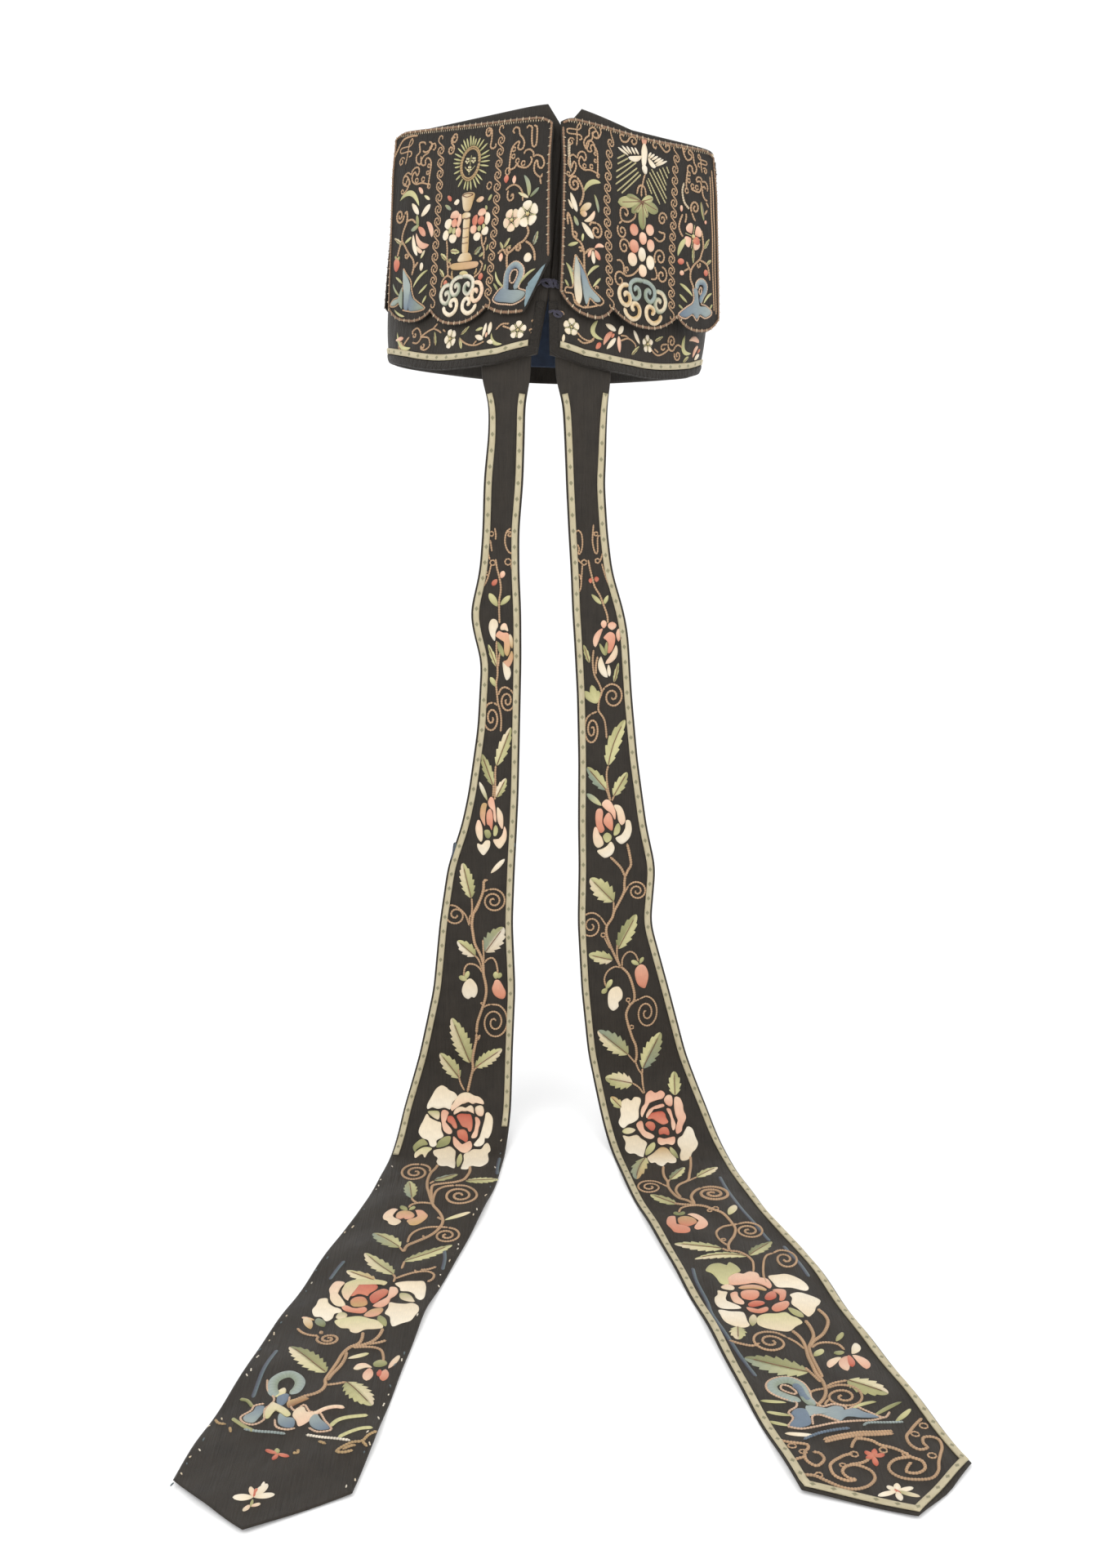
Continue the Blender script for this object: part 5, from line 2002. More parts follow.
def right_lappet_peony(t):
    leaves(
        t, ((51, 424.6), (31.8, 408), 13.4, "YC|SE", 6), ((60.6, 434), (71.6, 409.8), 12, "Y|ES", 6),
        ((54, 443.4), (36.6, 440), 11.6, "YS|CY", 5), ((81, 451), (80.6, 435.8), 9, "Y|YS", 4),
        ((47, 459), (40, 452), 6.4, "SY|YD", 2),
    )
    t.cords(
        [(51, 424.6), (53.4, 427.6), (56, 430.6)],
        [(56, 430), (58, 435), (60, 438), (60.6, 444), (61.6, 450)],
        [(60.4, 434), (60.2, 439), (60.6, 445)], [(54, 443.4), (58, 446), (61, 450)], width=1.2,
    )
    patches(
        t,
        ([(46, 460), (47, 455), (50.4, 453), (53, 454.4), (55, 452.2), (58.4, 452.6), (59.2, 455),
            (57.8, 460), (57.4, 465.8), (54.6, 468.6), (51, 470.2), (47.6, 472.8), (44.8, 469),
            (46.2, 464)], "CW", 90),
        ([(59.7, 459), (61.7, 456), (62.4, 450.6), (65.5, 448), (68.5, 449.5), (72, 448), (74.6, 450.2),
            (73, 453.2), (70.2, 454), (65, 456), (61, 459.6), (59.9, 465.4), (58.9, 463)], "PK", 90),
        ([(73.9, 454), (76, 451), (78.8, 451.4), (79.4, 455), (78.6, 458.2), (75.7, 457.4)], "KP", 90),
        ([(80.8, 452.4), (84, 452.8), (85.8, 457), (86.2, 461), (87.6, 466), (85.2, 472), (84.2, 476),
            (81.2, 478), (80.6, 474), (82.3, 469), (80.9, 464), (80.2, 458)], "KP", 90),
        ([(62.3, 464), (64.2, 460.4), (68, 458), (73, 456.6), (74, 458.3), (70.6, 459.6), (65.6, 461),
            (63, 466)], "PK", 90),
        ([(75.3, 460), (78, 460.4), (79.4, 466), (80.9, 471.4), (79.2, 475.4), (78.1, 472.6),
            (77.6, 466)], "PK", 90),
        ([(63.1, 466.6), (64.8, 463.2), (68, 462), (72, 461.5), (74.2, 462.9), (75, 466), (76.2, 469.2),
            (73, 470.8), (70, 469.4), (66.7, 466.9)], "RO", 90),
        ([(61.6, 470.6), (63.7, 468.3), (67, 469.4), (67.9, 472.4), (66.2, 475.4), (63.7, 473.9)], "OR",
            90),
        ([(69.9, 475), (72.2, 472.8), (75.2, 473), (76.5, 476), (76, 479), (73, 478), (70.3, 478.4)],
            "OR", 90),
        ([(55.9, 470.6), (58.2, 468), (60, 468.7), (60.2, 472.6), (62.9, 476.9), (66.3, 478.5),
            (66.9, 480.3), (64.5, 481.8), (60.7, 480), (57.9, 475.8)], "PK", 90),
        ([(69.4, 480.8), (73, 481.9), (77, 480.8), (79.8, 480.5), (79.6, 485), (77.8, 487.4),
            (74.5, 486.4), (71.2, 487.4), (68.9, 484.9)], "PK", 90),
        ([(47.2, 478.4), (51, 479.3), (56, 478.2), (58.5, 481), (62, 484.8), (61, 490), (59.6, 497),
            (59.1, 499.4), (56.5, 498), (54, 495), (50.5, 494.6), (48.2, 490), (48.7, 484)], "CW", 90),
        ([(61.7, 500), (65.2, 495.7), (70, 489.8), (74.3, 490.5), (77.1, 497), (79.3, 502),
            (78.7, 507.6), (75.5, 508.6), (73.5, 507.6), (70.5, 512.6), (67.5, 510.6), (66, 507.6),
            (63.5, 508), (62.2, 504.4)], "DCW", 90),
        ([(81.8, 482), (84.6, 479.2), (86.7, 474.8), (88.5, 472.4), (91.3, 474.4), (92.8, 480.6),
            (94, 486), (92.2, 491.4), (89.8, 495), (88.3, 500.4), (85.8, 504.2), (82.4, 504.6),
            (81.9, 498), (82.9, 492), (81.3, 487)], "WC", 90),
    )
    petals(
        t, ((55.4, 474.2), (46.8, 475.4), 4.6, "CY"), ((60.8, 497.6), (66.7, 484.6), 4.6, "SY"),
        ((80.6, 502), (76.4, 489.2), 3.2, "GY"),
    )
    leaves(
        t, ((60.6, 500.4), (53.4, 531), 10.4, "YD|SE", 4, 1.4),
        ((74, 530), (83.6, 513.8), 7.2, "GE|Y", 4), ((90.4, 526.6), (104, 512.4), 8, "SY|YC", 4),
    )
    t.cords(
        [(70.8, 513), (70.2, 520), (70.6, 527), (72, 533), (72, 540), (73.6, 548), (77, 556),
            (82, 560.4), (85.6, 565.4)],
        [(88.4, 500), (87.6, 512), (86, 523), (84.4, 531), (79, 537), (76.6, 543), (76.4, 549),
            (78.4, 556)], width=1.7,
    )
    t.cords(
        [(73.8, 529.6), (72.4, 534), (72.4, 539)], [(90.4, 526.4), (87.4, 529), (84.4, 532)],
        [(72, 541), (68.6, 537)], coil((68.6, 537), (61, 541), 2.1, -1), width=1.25,
    )


def right_lappet_lower(t):
    worn_streaks(
        t, [(104, 526), (106, 540), (109, 556), (113, 572), (119, 588), (125, 606)],
        [(132, 612), (137, 632), (141, 650)],
        [(79, 638), (80, 652), (84, 672), (86, 690), (94, 720), (102, 744)],
    )
    leaves(
        t, ((75, 563.4), (60.8, 549.8), 8.4, "SY|S", 4), ((97, 616.6), (70.8, 612), 9.6, "YC|SY", 6),
        ((111.8, 624), (126, 606.4), 9, "G|YS", 5), ((110, 625), (81, 627.6), 6.6, "YC|SY", 7, 3.4),
    )
    t.petal((104.6, 578), (109.6, 566.8), 4.8, "YC")
    t.cords(
        [(74, 562.4), (79, 564.6), (85, 566), (91, 568), (96, 572), (101, 576), (104, 582), (106, 588),
            (107, 593), (105.4, 601), (103, 607), (101, 613), (101, 619)], width=1.7,
    )
    t.cords(
        [(85.8, 565), (84.6, 556), (87.4, 547.6), (91.4, 542.4)],
        coil((91.4, 542.4), (97.6, 551.6), 2.3, 1, 1.1), width=1.9,
    )
    t.cords(
        [(88.4, 566.6), (82, 566.8), (77.6, 569), (76, 574)],
        [(106, 588.4), (100, 591), (96, 597), (95.6, 603), (97.6, 609), (100.6, 613.4)],
        [(105.6, 588.6), (109, 587.4)], coil((109, 587.4), (114.4, 594.6), 2.2, 1),
        [(97, 616.4), (100.6, 619.4)],
        [(101, 619), (106, 620), (110, 624), (112.6, 630), (112.6, 636), (112, 641)],
        [(117.4, 656), (117, 645), (118.6, 632), (121, 625), (125, 621.8)],
        coil((125, 621.8), (130.8, 630), 1.9, 1, 1.7), width=1.4,
    )
    for x, s, radius in ((97.6, 571, 1.7), (94, 573, 1.3), (99, 606.6, 1.2)):
        t.ring((x, s), radius)
    petals(t, ((76, 578), (73.4, 573.4), 3.6, "G"), ((76.2, 578), (79, 573.4), 3.4, "G"))
    patches(
        t,
        ([(70, 579.6), (73.4, 579.4), (73.2, 586), (74, 592), (78, 595.6), (80.6, 594.6), (80.6, 599),
            (77.4, 601), (72, 600), (70, 595.6), (68, 590.4), (68.4, 584)], "PO", 90),
        ([(75, 582), (79, 579.2), (84, 581.4), (85.6, 586.4), (83, 590.6), (79, 593), (75, 589.6)], "DO",
            90),
        ([(80.8, 577), (83.6, 575.4), (87.6, 578), (91, 583.4), (91.6, 589), (89, 594), (85, 596.6),
            (83.4, 594), (86.4, 589), (86, 583.4), (83.4, 579.6)], "KP", 90),
        ([(97, 656), (93, 655), (91, 648), (89, 643), (86, 640), (89, 633), (94, 630.8), (98.4, 633),
            (100, 630), (103.6, 634), (105, 640), (100, 644), (97.6, 649)], "SY", 90),
        ([(97.6, 656), (96.6, 650), (99.6, 644.6), (103, 642), (106, 643), (110, 640.6), (114, 643),
            (115, 648), (118.6, 650), (120, 657), (118.4, 661.4), (115.4, 658), (111, 654.6), (106, 656),
            (101.4, 657)], "KP", 90),
        ([(119.4, 647), (124.4, 646), (129, 646), (134, 649.6), (138, 655), (139.4, 660.4), (137, 663.2),
            (130, 660.2), (123, 659.6), (121, 654)], "CW", 90),
        ([(92.6, 658.6), (95.6, 656.4), (98, 657), (99.8, 660), (98.4, 662.6), (94.2, 661.2)], "KC", 90),
        ([(90.6, 662), (93, 663), (95.6, 664.4), (94.2, 669), (94.8, 674), (98.6, 677.6), (101.4, 680.6),
            (98, 681.4), (91, 680), (88.4, 675), (88.4, 669), (90.2, 666)], "CW", 90),
        ([(101.8, 660.2), (105, 657.9), (110, 657.2), (114.2, 659), (116.6, 662.6), (115.3, 664.4),
            (110, 662), (104, 662)], "PD", 90),
        ([(96.8, 667), (98.2, 664.9), (100.7, 665), (101, 670), (103.4, 675.6), (101.8, 677.4),
            (97.8, 674.2)], "PK", 90),
        ([(102.7, 665.2), (106.5, 663.3), (111.6, 664.4), (112, 669), (110.2, 672.6), (107, 673.9),
            (102.8, 671.2)], "PO", 90),
        ([(114.4, 672.4), (115.9, 668.2), (119, 665.1), (121, 666.5), (120.6, 671.8), (118, 674.4),
            (115.3, 674.5)], "OR", 90),
        ([(119.6, 663.6), (123, 662), (126.6, 663.4), (126, 670), (124.2, 674.6), (121.9, 675),
            (122.5, 669)], "PO", 90),
        ([(105.4, 677), (109, 675), (113.6, 676.3), (113.1, 678.7), (108, 680.5), (105.4, 679.3)], "OR",
            90),
        ([(118.2, 679.7), (122, 677), (126.1, 675.6), (126.6, 679), (123.8, 683.6), (119, 685.5),
            (116.9, 682.9)], "PO", 90),
        ([(103.9, 680.5), (107, 683.3), (112, 683), (115, 681.2), (114.7, 684.4), (110.5, 686.5),
            (105.7, 684.7)], "PO", 90),
        ([(128.4, 668), (133, 665), (138, 667), (143.6, 671.6), (143, 676), (140.6, 680), (139, 685),
            (135.8, 689.6), (134, 688.6), (130.7, 682.8), (127.9, 678), (129, 672)], "WC", 90),
        ([(89.4, 681.6), (95, 683.6), (101.2, 684.6), (102.6, 688), (103, 694), (103.6, 699),
            (100, 701.6), (95, 699.6), (91.3, 695), (89.8, 688)], "WC", 90),
        ([(108.8, 690), (113, 687.1), (119, 687), (123.8, 686.1), (126.6, 689.2), (129.6, 691.2),
            (131.4, 695), (127.6, 698.2), (123.6, 702.6), (118, 702.6), (111.4, 700.6), (108, 697)],
            "YC", 90),
    )
    petals(t, ((125.6, 682), (132.6, 690.4), 4.6, "S"), ((105, 699.4), (107, 687.4), 4.2, "SC"))
    leaves(
        t, ((97.4, 700.6), (96.4, 713), 9.6, "SY|YC", 4), ((128, 740), (98, 728), 15.4, "YE|SG", 7),
        ((146, 749), (163.6, 761.4), 14, "YC|S", 5),
    )
    for path in (
        [(125, 702), (128, 707), (129.6, 713), (130, 720), (130, 727), (131, 735), (132, 742),
            (134, 748), (134.4, 756), (132.6, 763), (128, 771)],
        [(133, 693), (135, 699), (135.6, 706), (133.6, 712), (131.6, 718), (131.8, 727), (133, 736),
            (134.4, 745)], [(141, 682), (144, 688), (144.6, 695), (141, 704), (135, 711), (132.4, 717)],
    ):
        t.cord(path, 1.9)
    t.cords(
        [(129, 719), (126, 713.4), (121.6, 708.8)], coil((121.6, 708.8), (112.8, 714.4), 2.1, -1),
        [(107, 716), (103, 718.4), (97, 716.6), (91.6, 713.6)],
        [(133, 717.4), (137, 713), (142, 712), (147, 714), (149.4, 719)],
        [(127, 736), (130, 742), (133, 748.6)], [(146, 749), (139, 750.4), (135, 753)],
        [(124, 760), (129, 755.6), (135, 754.2)], coil((135, 754.2), (141.8, 762.4), 2.1, 1),
        [(132, 770), (133, 767), (135.4, 763.6)], width=1.4,
    )
    petals(
        t, ((133, 726), (138.6, 718.4), 4, "SY"), ((146.4, 711), (151, 703.6), 3, "S"),
        ((149, 721), (143.4, 722.4), 4, "SG"), ((150.6, 724), (150.4, 736.6), 4.2, "OR"),
        ((149.8, 724.8), (147.4, 740.4), 5.4, "PK", 1.6), ((152.4, 724), (157, 738.8), 5.6, "KP", -2.0),
        ((146.6, 726.4), (139, 737), 4.4, "CK", 1.4), ((152.4, 723), (155.4, 713.2), 4.6, "CW", 1.4),
    )


def right_lappet_end(t):
    petals(
        t, ((114, 767), (101.6, 765), 2.2, "YS"), ((115, 778), (103.6, 773.6), 2.2, "SY"),
        ((113, 785.6), (103.6, 781), 2.2, "YS"), ((144, 774), (157, 767.2), 2.2, "YS", -1.6),
        ((153, 780), (169, 767.6), 2.4, "SG", -1.2), ((163, 783), (172.4, 772.6), 2.8, "SY"),
        ((124, 794.4), (110, 791.4), 3, "WC"),
    )
    t.band(
        [(121, 766), (114.4, 762), (109.6, 757), (109, 751), (113, 747), (118, 746.4), (122.4, 750.6),
            (123.6, 757), (124.4, 764), (127, 770)], 5.4, "AE", 1.1,
    )
    t.band([(119.4, 749.4), (122.4, 754), (123.4, 761), (125.4, 768)], 4.2, "B", 1.2)
    patches(
        t,
        ([(123, 770), (130, 773.6), (136, 770.6), (140, 772), (141, 776), (146, 772.6), (150, 776),
            (156, 779.6), (148, 781), (141, 780.4), (137, 784), (133, 781), (128, 777.6), (123, 779)],
            "AB", 0),
        ([(118, 772.4), (122, 773), (123.4, 779), (123, 785.4), (117, 787.4), (113, 785.4), (116, 780),
            (115, 776)], "BB", 90),
    )
    t.cords(
        [(119, 767), (112, 763), (106.6, 757), (106.4, 750), (111, 744.6), (118, 743.6), (124, 748),
            (126.6, 756), (126.6, 763), (130, 771), (136, 769), (141, 771), (142, 774), (146, 771),
            (151, 775), (158, 780), (162, 775)],
        [(112, 786), (118, 788.4), (125, 787.6), (134, 785.6), (145, 784), (152, 783), (158, 780)],
        [(119, 767), (118, 771), (114, 775), (115.4, 780), (112, 786)],
        [(112.6, 754), (114, 750.6), (117.4, 752), (120, 757), (118.6, 759), (114.6, 756.6),
            (112.6, 754)], [(124, 786), (124.6, 779.6), (128, 778.6), (133, 782), (137, 785)],
        width=1.25, dye="K",
    )
    t.cord([(147, 788), (150, 785.4), (158, 784.2), (167, 782.6)], 1.4, "A", kind="silk")
    t.cord([(118, 797), (125, 793), (133, 791), (140.6, 790)], 1.6, "B", kind="silk")
    t.cords(
        [(127, 797.6), (134, 795.4), (144, 793.4), (152, 792.8), (160.4, 791.2)],
        [(127.4, 799.4), (134.4, 797.2), (144.4, 795.2), (152.4, 794.6), (160.4, 793)], width=1.7,
    )
    t.cords(
        [(106, 797), (110, 799), (114, 800), (119, 801.6), (119, 805), (117, 808), (117, 815),
            (121, 819), (125, 814), (124, 809), (120.6, 807.6)],
        [(117, 812), (112, 814.4), (111.4, 819), (113, 824.6), (119, 826), (124, 829.6), (130, 833.6),
            (136, 834.6), (142, 832), (146, 826), (145, 820), (139, 816.6), (134, 818.6), (132, 823),
            (134, 827), (137, 828), (133, 829), (128, 825.6), (127, 819), (129, 815), (132, 812),
            (135, 809.6), (139, 808)],
        [(139, 804), (140.6, 800), (143, 797.6), (149, 799), (152.6, 802), (158, 804), (162, 806.6),
            (165, 810), (169.6, 813), (170, 818), (166, 821), (161.4, 820), (163, 815.6), (165, 813.6)],
        [(165, 810), (158, 811.6), (154, 816), (154.6, 821), (159, 824.6), (166, 825.6), (172, 824.6),
            (175.6, 820), (177, 814), (179, 808), (181, 802), (181, 796), (178, 793.6), (174, 794.6),
            (173, 799), (174, 803), (170, 804.6), (166.6, 801), (166, 795), (168.6, 790), (171, 786),
            (174, 782), (176.4, 779.4)], [(136, 816.6), (142, 814.6), (146, 811.6)], width=1.6,
    )
    for x, s, radius in (
        (112, 802.6, 1.9), (116.4, 807.6, 1.7), (121, 825.4, 1.6), (139.6, 808.4, 1.8),
        (133, 817.4, 1.4), (143.6, 795.8, 1.4), (153.4, 805.4, 1.7), (163, 808.4, 1.4), (176, 785, 1.9),
        (170.6, 792, 1.9), (175, 809, 1.9),
    ):
        t.ring((x, s), radius)
    petals(
        t,
        *(((148.4, 809.6), tip, 2.8, "OR") for tip in ((153.6, 808.2), (144.6, 806.2), (148.4, 816.4),
            (149.6, 804.6), (144.4, 811))),
    )
    petals(
        t,
        *(((154.4, 834.6), tip, 3.2, dyes) for tip, dyes in (((145, 838.8), "CW"), ((150.2, 831.2),
            "CW"), ((155.4, 828.6), "WC"), ((162.2, 831.4), "CW"), ((163.8, 838.6), "SC"), ((154.6, 842),
            "CW"))),
    )
    petals(t, ((152.6, 832.8), (155.6, 836.8), 2.0, "OR"))


def right_lappet_work():
    t = on_lappet("right")
    right_lappet_top(t)
    right_lappet_middle(t)
    right_lappet_peony(t)
    right_lappet_lower(t)
    right_lappet_end(t)
    t.build("embroidery_right", "lappet_satin")


# ---- Embroidery: left lappet -----------------------------------------------------------------


def left_lappet_top(t):
    t.cords(
        [(-31.6, 90), (-31, 94), (-31.2, 97)],
        [(-33.4, 104), (-33.8, 101), (-34.4, 97.4), (-35.6, 101), (-35.6, 105), (-34.6, 109)],
        [(-34, 112), (-35.2, 117), (-37, 122), (-40, 126.4), (-42.6, 129.6)],
        coil((-35.4, 117.4), (-36.6, 116.6), 1.0),
        [(-22, 90), (-24.6, 92.4), (-25.6, 97.6), (-24.4, 102.4), (-22.2, 104.8), (-19.8, 103),
            (-20.6, 98), (-20, 94.8)], [(-19.6, 105), (-20.4, 108), (-22, 110.2)],
        [(-22, 111.4), (-21, 115.6), (-19.8, 120), (-19.6, 126)], coil((-24.6, 93), (-22.9, 93.8), 1.4),
        width=1.1,
    )
    for x, s, radius in ((-33.6, 93.5, 1.3), (-33, 110.6, 1.5), (-23.8, 110, 1.8)):
        t.ring((x, s), radius)
    petals(
        t, ((-30.4, 120.4), (-33.4, 124.2), 3.0, "OR"), ((-28, 119.8), (-26.4, 115.4), 3.0, "PK"),
        ((-30.2, 136.8), (-35.2, 128.8), 3.9, "SY"), ((-28.6, 136), (-22.6, 130.2), 3.2, "SY"),
        ((-21.6, 162.4), (-23, 153.4), 2.7, "DC"), ((-30.4, 158), (-26.8, 167.4), 3, "GS"),
        ((-27.4, 170.6), (-25, 182), 4.4, "CW", -1.4), ((-31.2, 186), (-35, 179.8), 3, "SY"),
    )
    leaves(t, ((-31, 173.6), (-36, 159.8), 3.6, "YS|Y", 3))
    patches(
        t,
        ([(-35, 146), (-33, 144.2), (-30.6, 145.4), (-30, 148.6), (-31.4, 152), (-32, 157.6),
            (-34.4, 154.6), (-35.6, 150)], "CW", 90),
        ([(-28.6, 149), (-27, 147), (-25, 147.4), (-23.9, 151.8), (-26, 151), (-28.3, 151)], "KC", 90),
        ([(-31.5, 154.6), (-29.6, 151.6), (-27, 152.6), (-24, 153), (-23, 157), (-23, 163.6),
            (-24.6, 167), (-26.4, 164.6), (-26.6, 158.4), (-28.6, 156.4)], "PD", 90),
        ([(-22, 163.8), (-20.8, 167.6), (-22.6, 172.6), (-25, 174), (-27, 170.4), (-24.6, 169)], "DP",
            90),
    )
    t.cords(
        [(-31.2, 108.4), (-30.6, 113), (-29.4, 118), (-28.4, 123), (-28.3, 127.6), (-29.2, 133),
            (-29.3, 140), (-29.1, 147)],
        [(-31, 157.6), (-31, 165), (-30.6, 172), (-30.6, 179), (-31.4, 184), (-31, 190), (-30.4, 197)],
        [(-29.2, 165), (-29.8, 170), (-30.2, 173.6)],
        [(-30.2, 191), (-28.6, 187.4), (-26, 186.2), (-22.9, 187.6)],
        coil((-22.9, 187.6), (-24.8, 194.6), 1.9, 1, 1.5), [(-30.6, 197.6), (-33, 195.6)],
        coil((-33.4, 195.6), (-34.4, 205.4), 1.9, -1, 1.8),
        [(-30.8, 195), (-29.8, 198.4), (-28.8, 203), (-28.5, 208), (-28.9, 214)], width=1.25,
    )
    worn_streaks(t, [(-19.6, 133), (-18.4, 140), (-18.6, 150)], [(-20, 181), (-18.6, 186), (-18.6, 192)])


def left_lappet_middle(t):
    leaves(
        t, ((-31.5, 235.2), (-22.6, 211.2), 7.8, "YC|YS", 5),
        ((-33.8, 247.6), (-40.6, 227.8), 6.6, "S|YS", 5),
        ((-31.8, 255.2), (-25.8, 243.2), 6.2, "C|SY", 4),
    )
    petals(t, ((-37.4, 257.4), (-42.2, 245.4), 2.6, "SW"), ((-35.6, 303.8), (-26.8, 294.4), 3, "CW"))
    t.cords(
        [(-32, 235), (-32.4, 240), (-32.4, 247), (-32.6, 253), (-32.8, 257)],
        [(-33.6, 247), (-33.6, 251), (-33.9, 255)], width=1.25,
    )
    patches(
        t,
        ([(-37, 258), (-35.4, 255), (-33.6, 256), (-32.7, 260), (-32.2, 265), (-32, 271), (-33.4, 269.4),
            (-34, 264), (-36.4, 261)], "PK", 90),
        ([(-40.2, 259), (-37.7, 259.4), (-38.2, 263), (-38.8, 268), (-38.9, 273.4), (-40.6, 271),
            (-42, 267), (-41.6, 262)], "DP", 90),
        ([(-38, 266), (-36.5, 262.9), (-35.2, 262.9), (-34.1, 266), (-34, 271), (-34.8, 276.2),
            (-36.2, 273.4), (-37.8, 272)], "PO", 90),
        ([(-31.5, 262), (-30, 262.4), (-28, 266), (-27.6, 271), (-28.2, 275.4), (-30, 273),
            (-31.4, 269)], "CK", 90),
        ([(-43.6, 270), (-42, 270.2), (-40.8, 273.6), (-40.4, 277), (-40.6, 282.4), (-42, 283.4),
            (-44, 280), (-44.9, 275)], "KC", 90),
        ([(-27, 273.6), (-25.6, 277), (-26, 282.4), (-29.4, 287.6), (-32, 286.4), (-34, 282.2),
            (-30.6, 281.6), (-28, 278)], "KC", 90),
        ([(-43.6, 284.6), (-41, 285.4), (-38.6, 282.8), (-36, 283), (-36, 286.4), (-37.6, 289.6),
            (-40, 292.2), (-42.4, 290), (-43.8, 287)], "CW", 90),
        ([(-39.2, 276.2), (-36.6, 276), (-35.2, 279), (-36.6, 281.5), (-38.6, 280.6), (-39.4, 278)],
            "SG", 90),
        ([(-33.8, 279), (-33.6, 275), (-32.2, 272.8), (-30.9, 275.4), (-31.6, 279), (-33, 280)], "SY",
            90),
    )
    worn_streaks(
        t, [(-20.6, 284), (-22.6, 288), (-24, 291), (-21.4, 294)],
        [(-57.6, 284), (-58.4, 290), (-59.6, 296)],
    )
    leaves(
        t, ((-48, 319.8), (-53, 297.4), 9.6, "YC|SY", 6),
        ((-39.4, 355.2), (-27.8, 338.8), 13.6, "ES|CW", 5),
        ((-45.8, 357.8), (-56.8, 347.8), 9.4, "CW|SY", 4),
        ((-49.8, 430.2), (-61, 399.4), 12.6, "YC|SY", 8),
    )
    t.cords(
        [(-37.4, 308), (-39.8, 309), (-40.2, 314), (-41.6, 319), (-44, 324.6), (-46.6, 330),
            (-47.6, 337), (-47, 343), (-45.8, 350), (-43, 356), (-41, 362), (-40.6, 370), (-39.6, 375),
            (-39, 380), (-39.4, 385), (-41, 391), (-43, 397), (-44.8, 403), (-45.5, 410)], width=1.8,
    )
    t.cords(
        [(-42.4, 322), (-45, 328), (-48.8, 332), (-49, 337)], [(-47.6, 320), (-47.4, 326), (-47.8, 332)],
        [(-40, 315.6), (-37, 314.2)], coil((-37, 314.2), (-34, 321.6), 2.2, 1),
        [(-49.2, 338), (-51.4, 331.4), (-54.6, 327.6), (-58, 325.2), (-61.4, 324.6)],
        coil((-61.4, 325), (-57.8, 331), 1.7, -1), [(-40.9, 347), (-40.5, 356), (-40.5, 362)],
        [(-46, 357.4), (-43.6, 360.4), (-41.4, 367)],
        [(-41.4, 369), (-43, 366), (-46, 363.6), (-50, 363.2), (-52.4, 366), (-53.2, 371)],
        [(-40, 362.4), (-38, 360), (-35, 359.2), (-32.8, 362), (-31.8, 367), (-31.8, 369.6)],
        coil((-40.4, 389), (-41.6, 389.4), 1.0), [(-41, 392.4), (-38.6, 391), (-36, 390.4)],
        coil((-36, 390.4), (-34, 402.6), 2.2, 1, 1.35), width=1.25,
    )
    petals(
        t, ((-52.4, 373.6), (-50, 367.8), 3, "SY"), ((-51, 374), (-56.2, 371.4), 3.4, "YS"),
        ((-32.8, 373.4), (-32.8, 368.2), 3.6, "SY"), ((-31.4, 373), (-29.8, 369), 3, "S"),
    )
    patches(
        t,
        ([(-50, 373), (-47.8, 373.4), (-45, 377.4), (-44.6, 382), (-46.4, 385.6), (-48.4, 385.2),
            (-50.4, 386.6), (-53, 385), (-54.4, 381), (-53, 376)], "CW", 90),
        ([(-33.2, 374), (-30.6, 374.4), (-28, 379), (-26.6, 383), (-28, 386.6), (-31, 386.4), (-34, 384),
            (-35.4, 380), (-34.4, 376.4)], "PO", 90),
    )


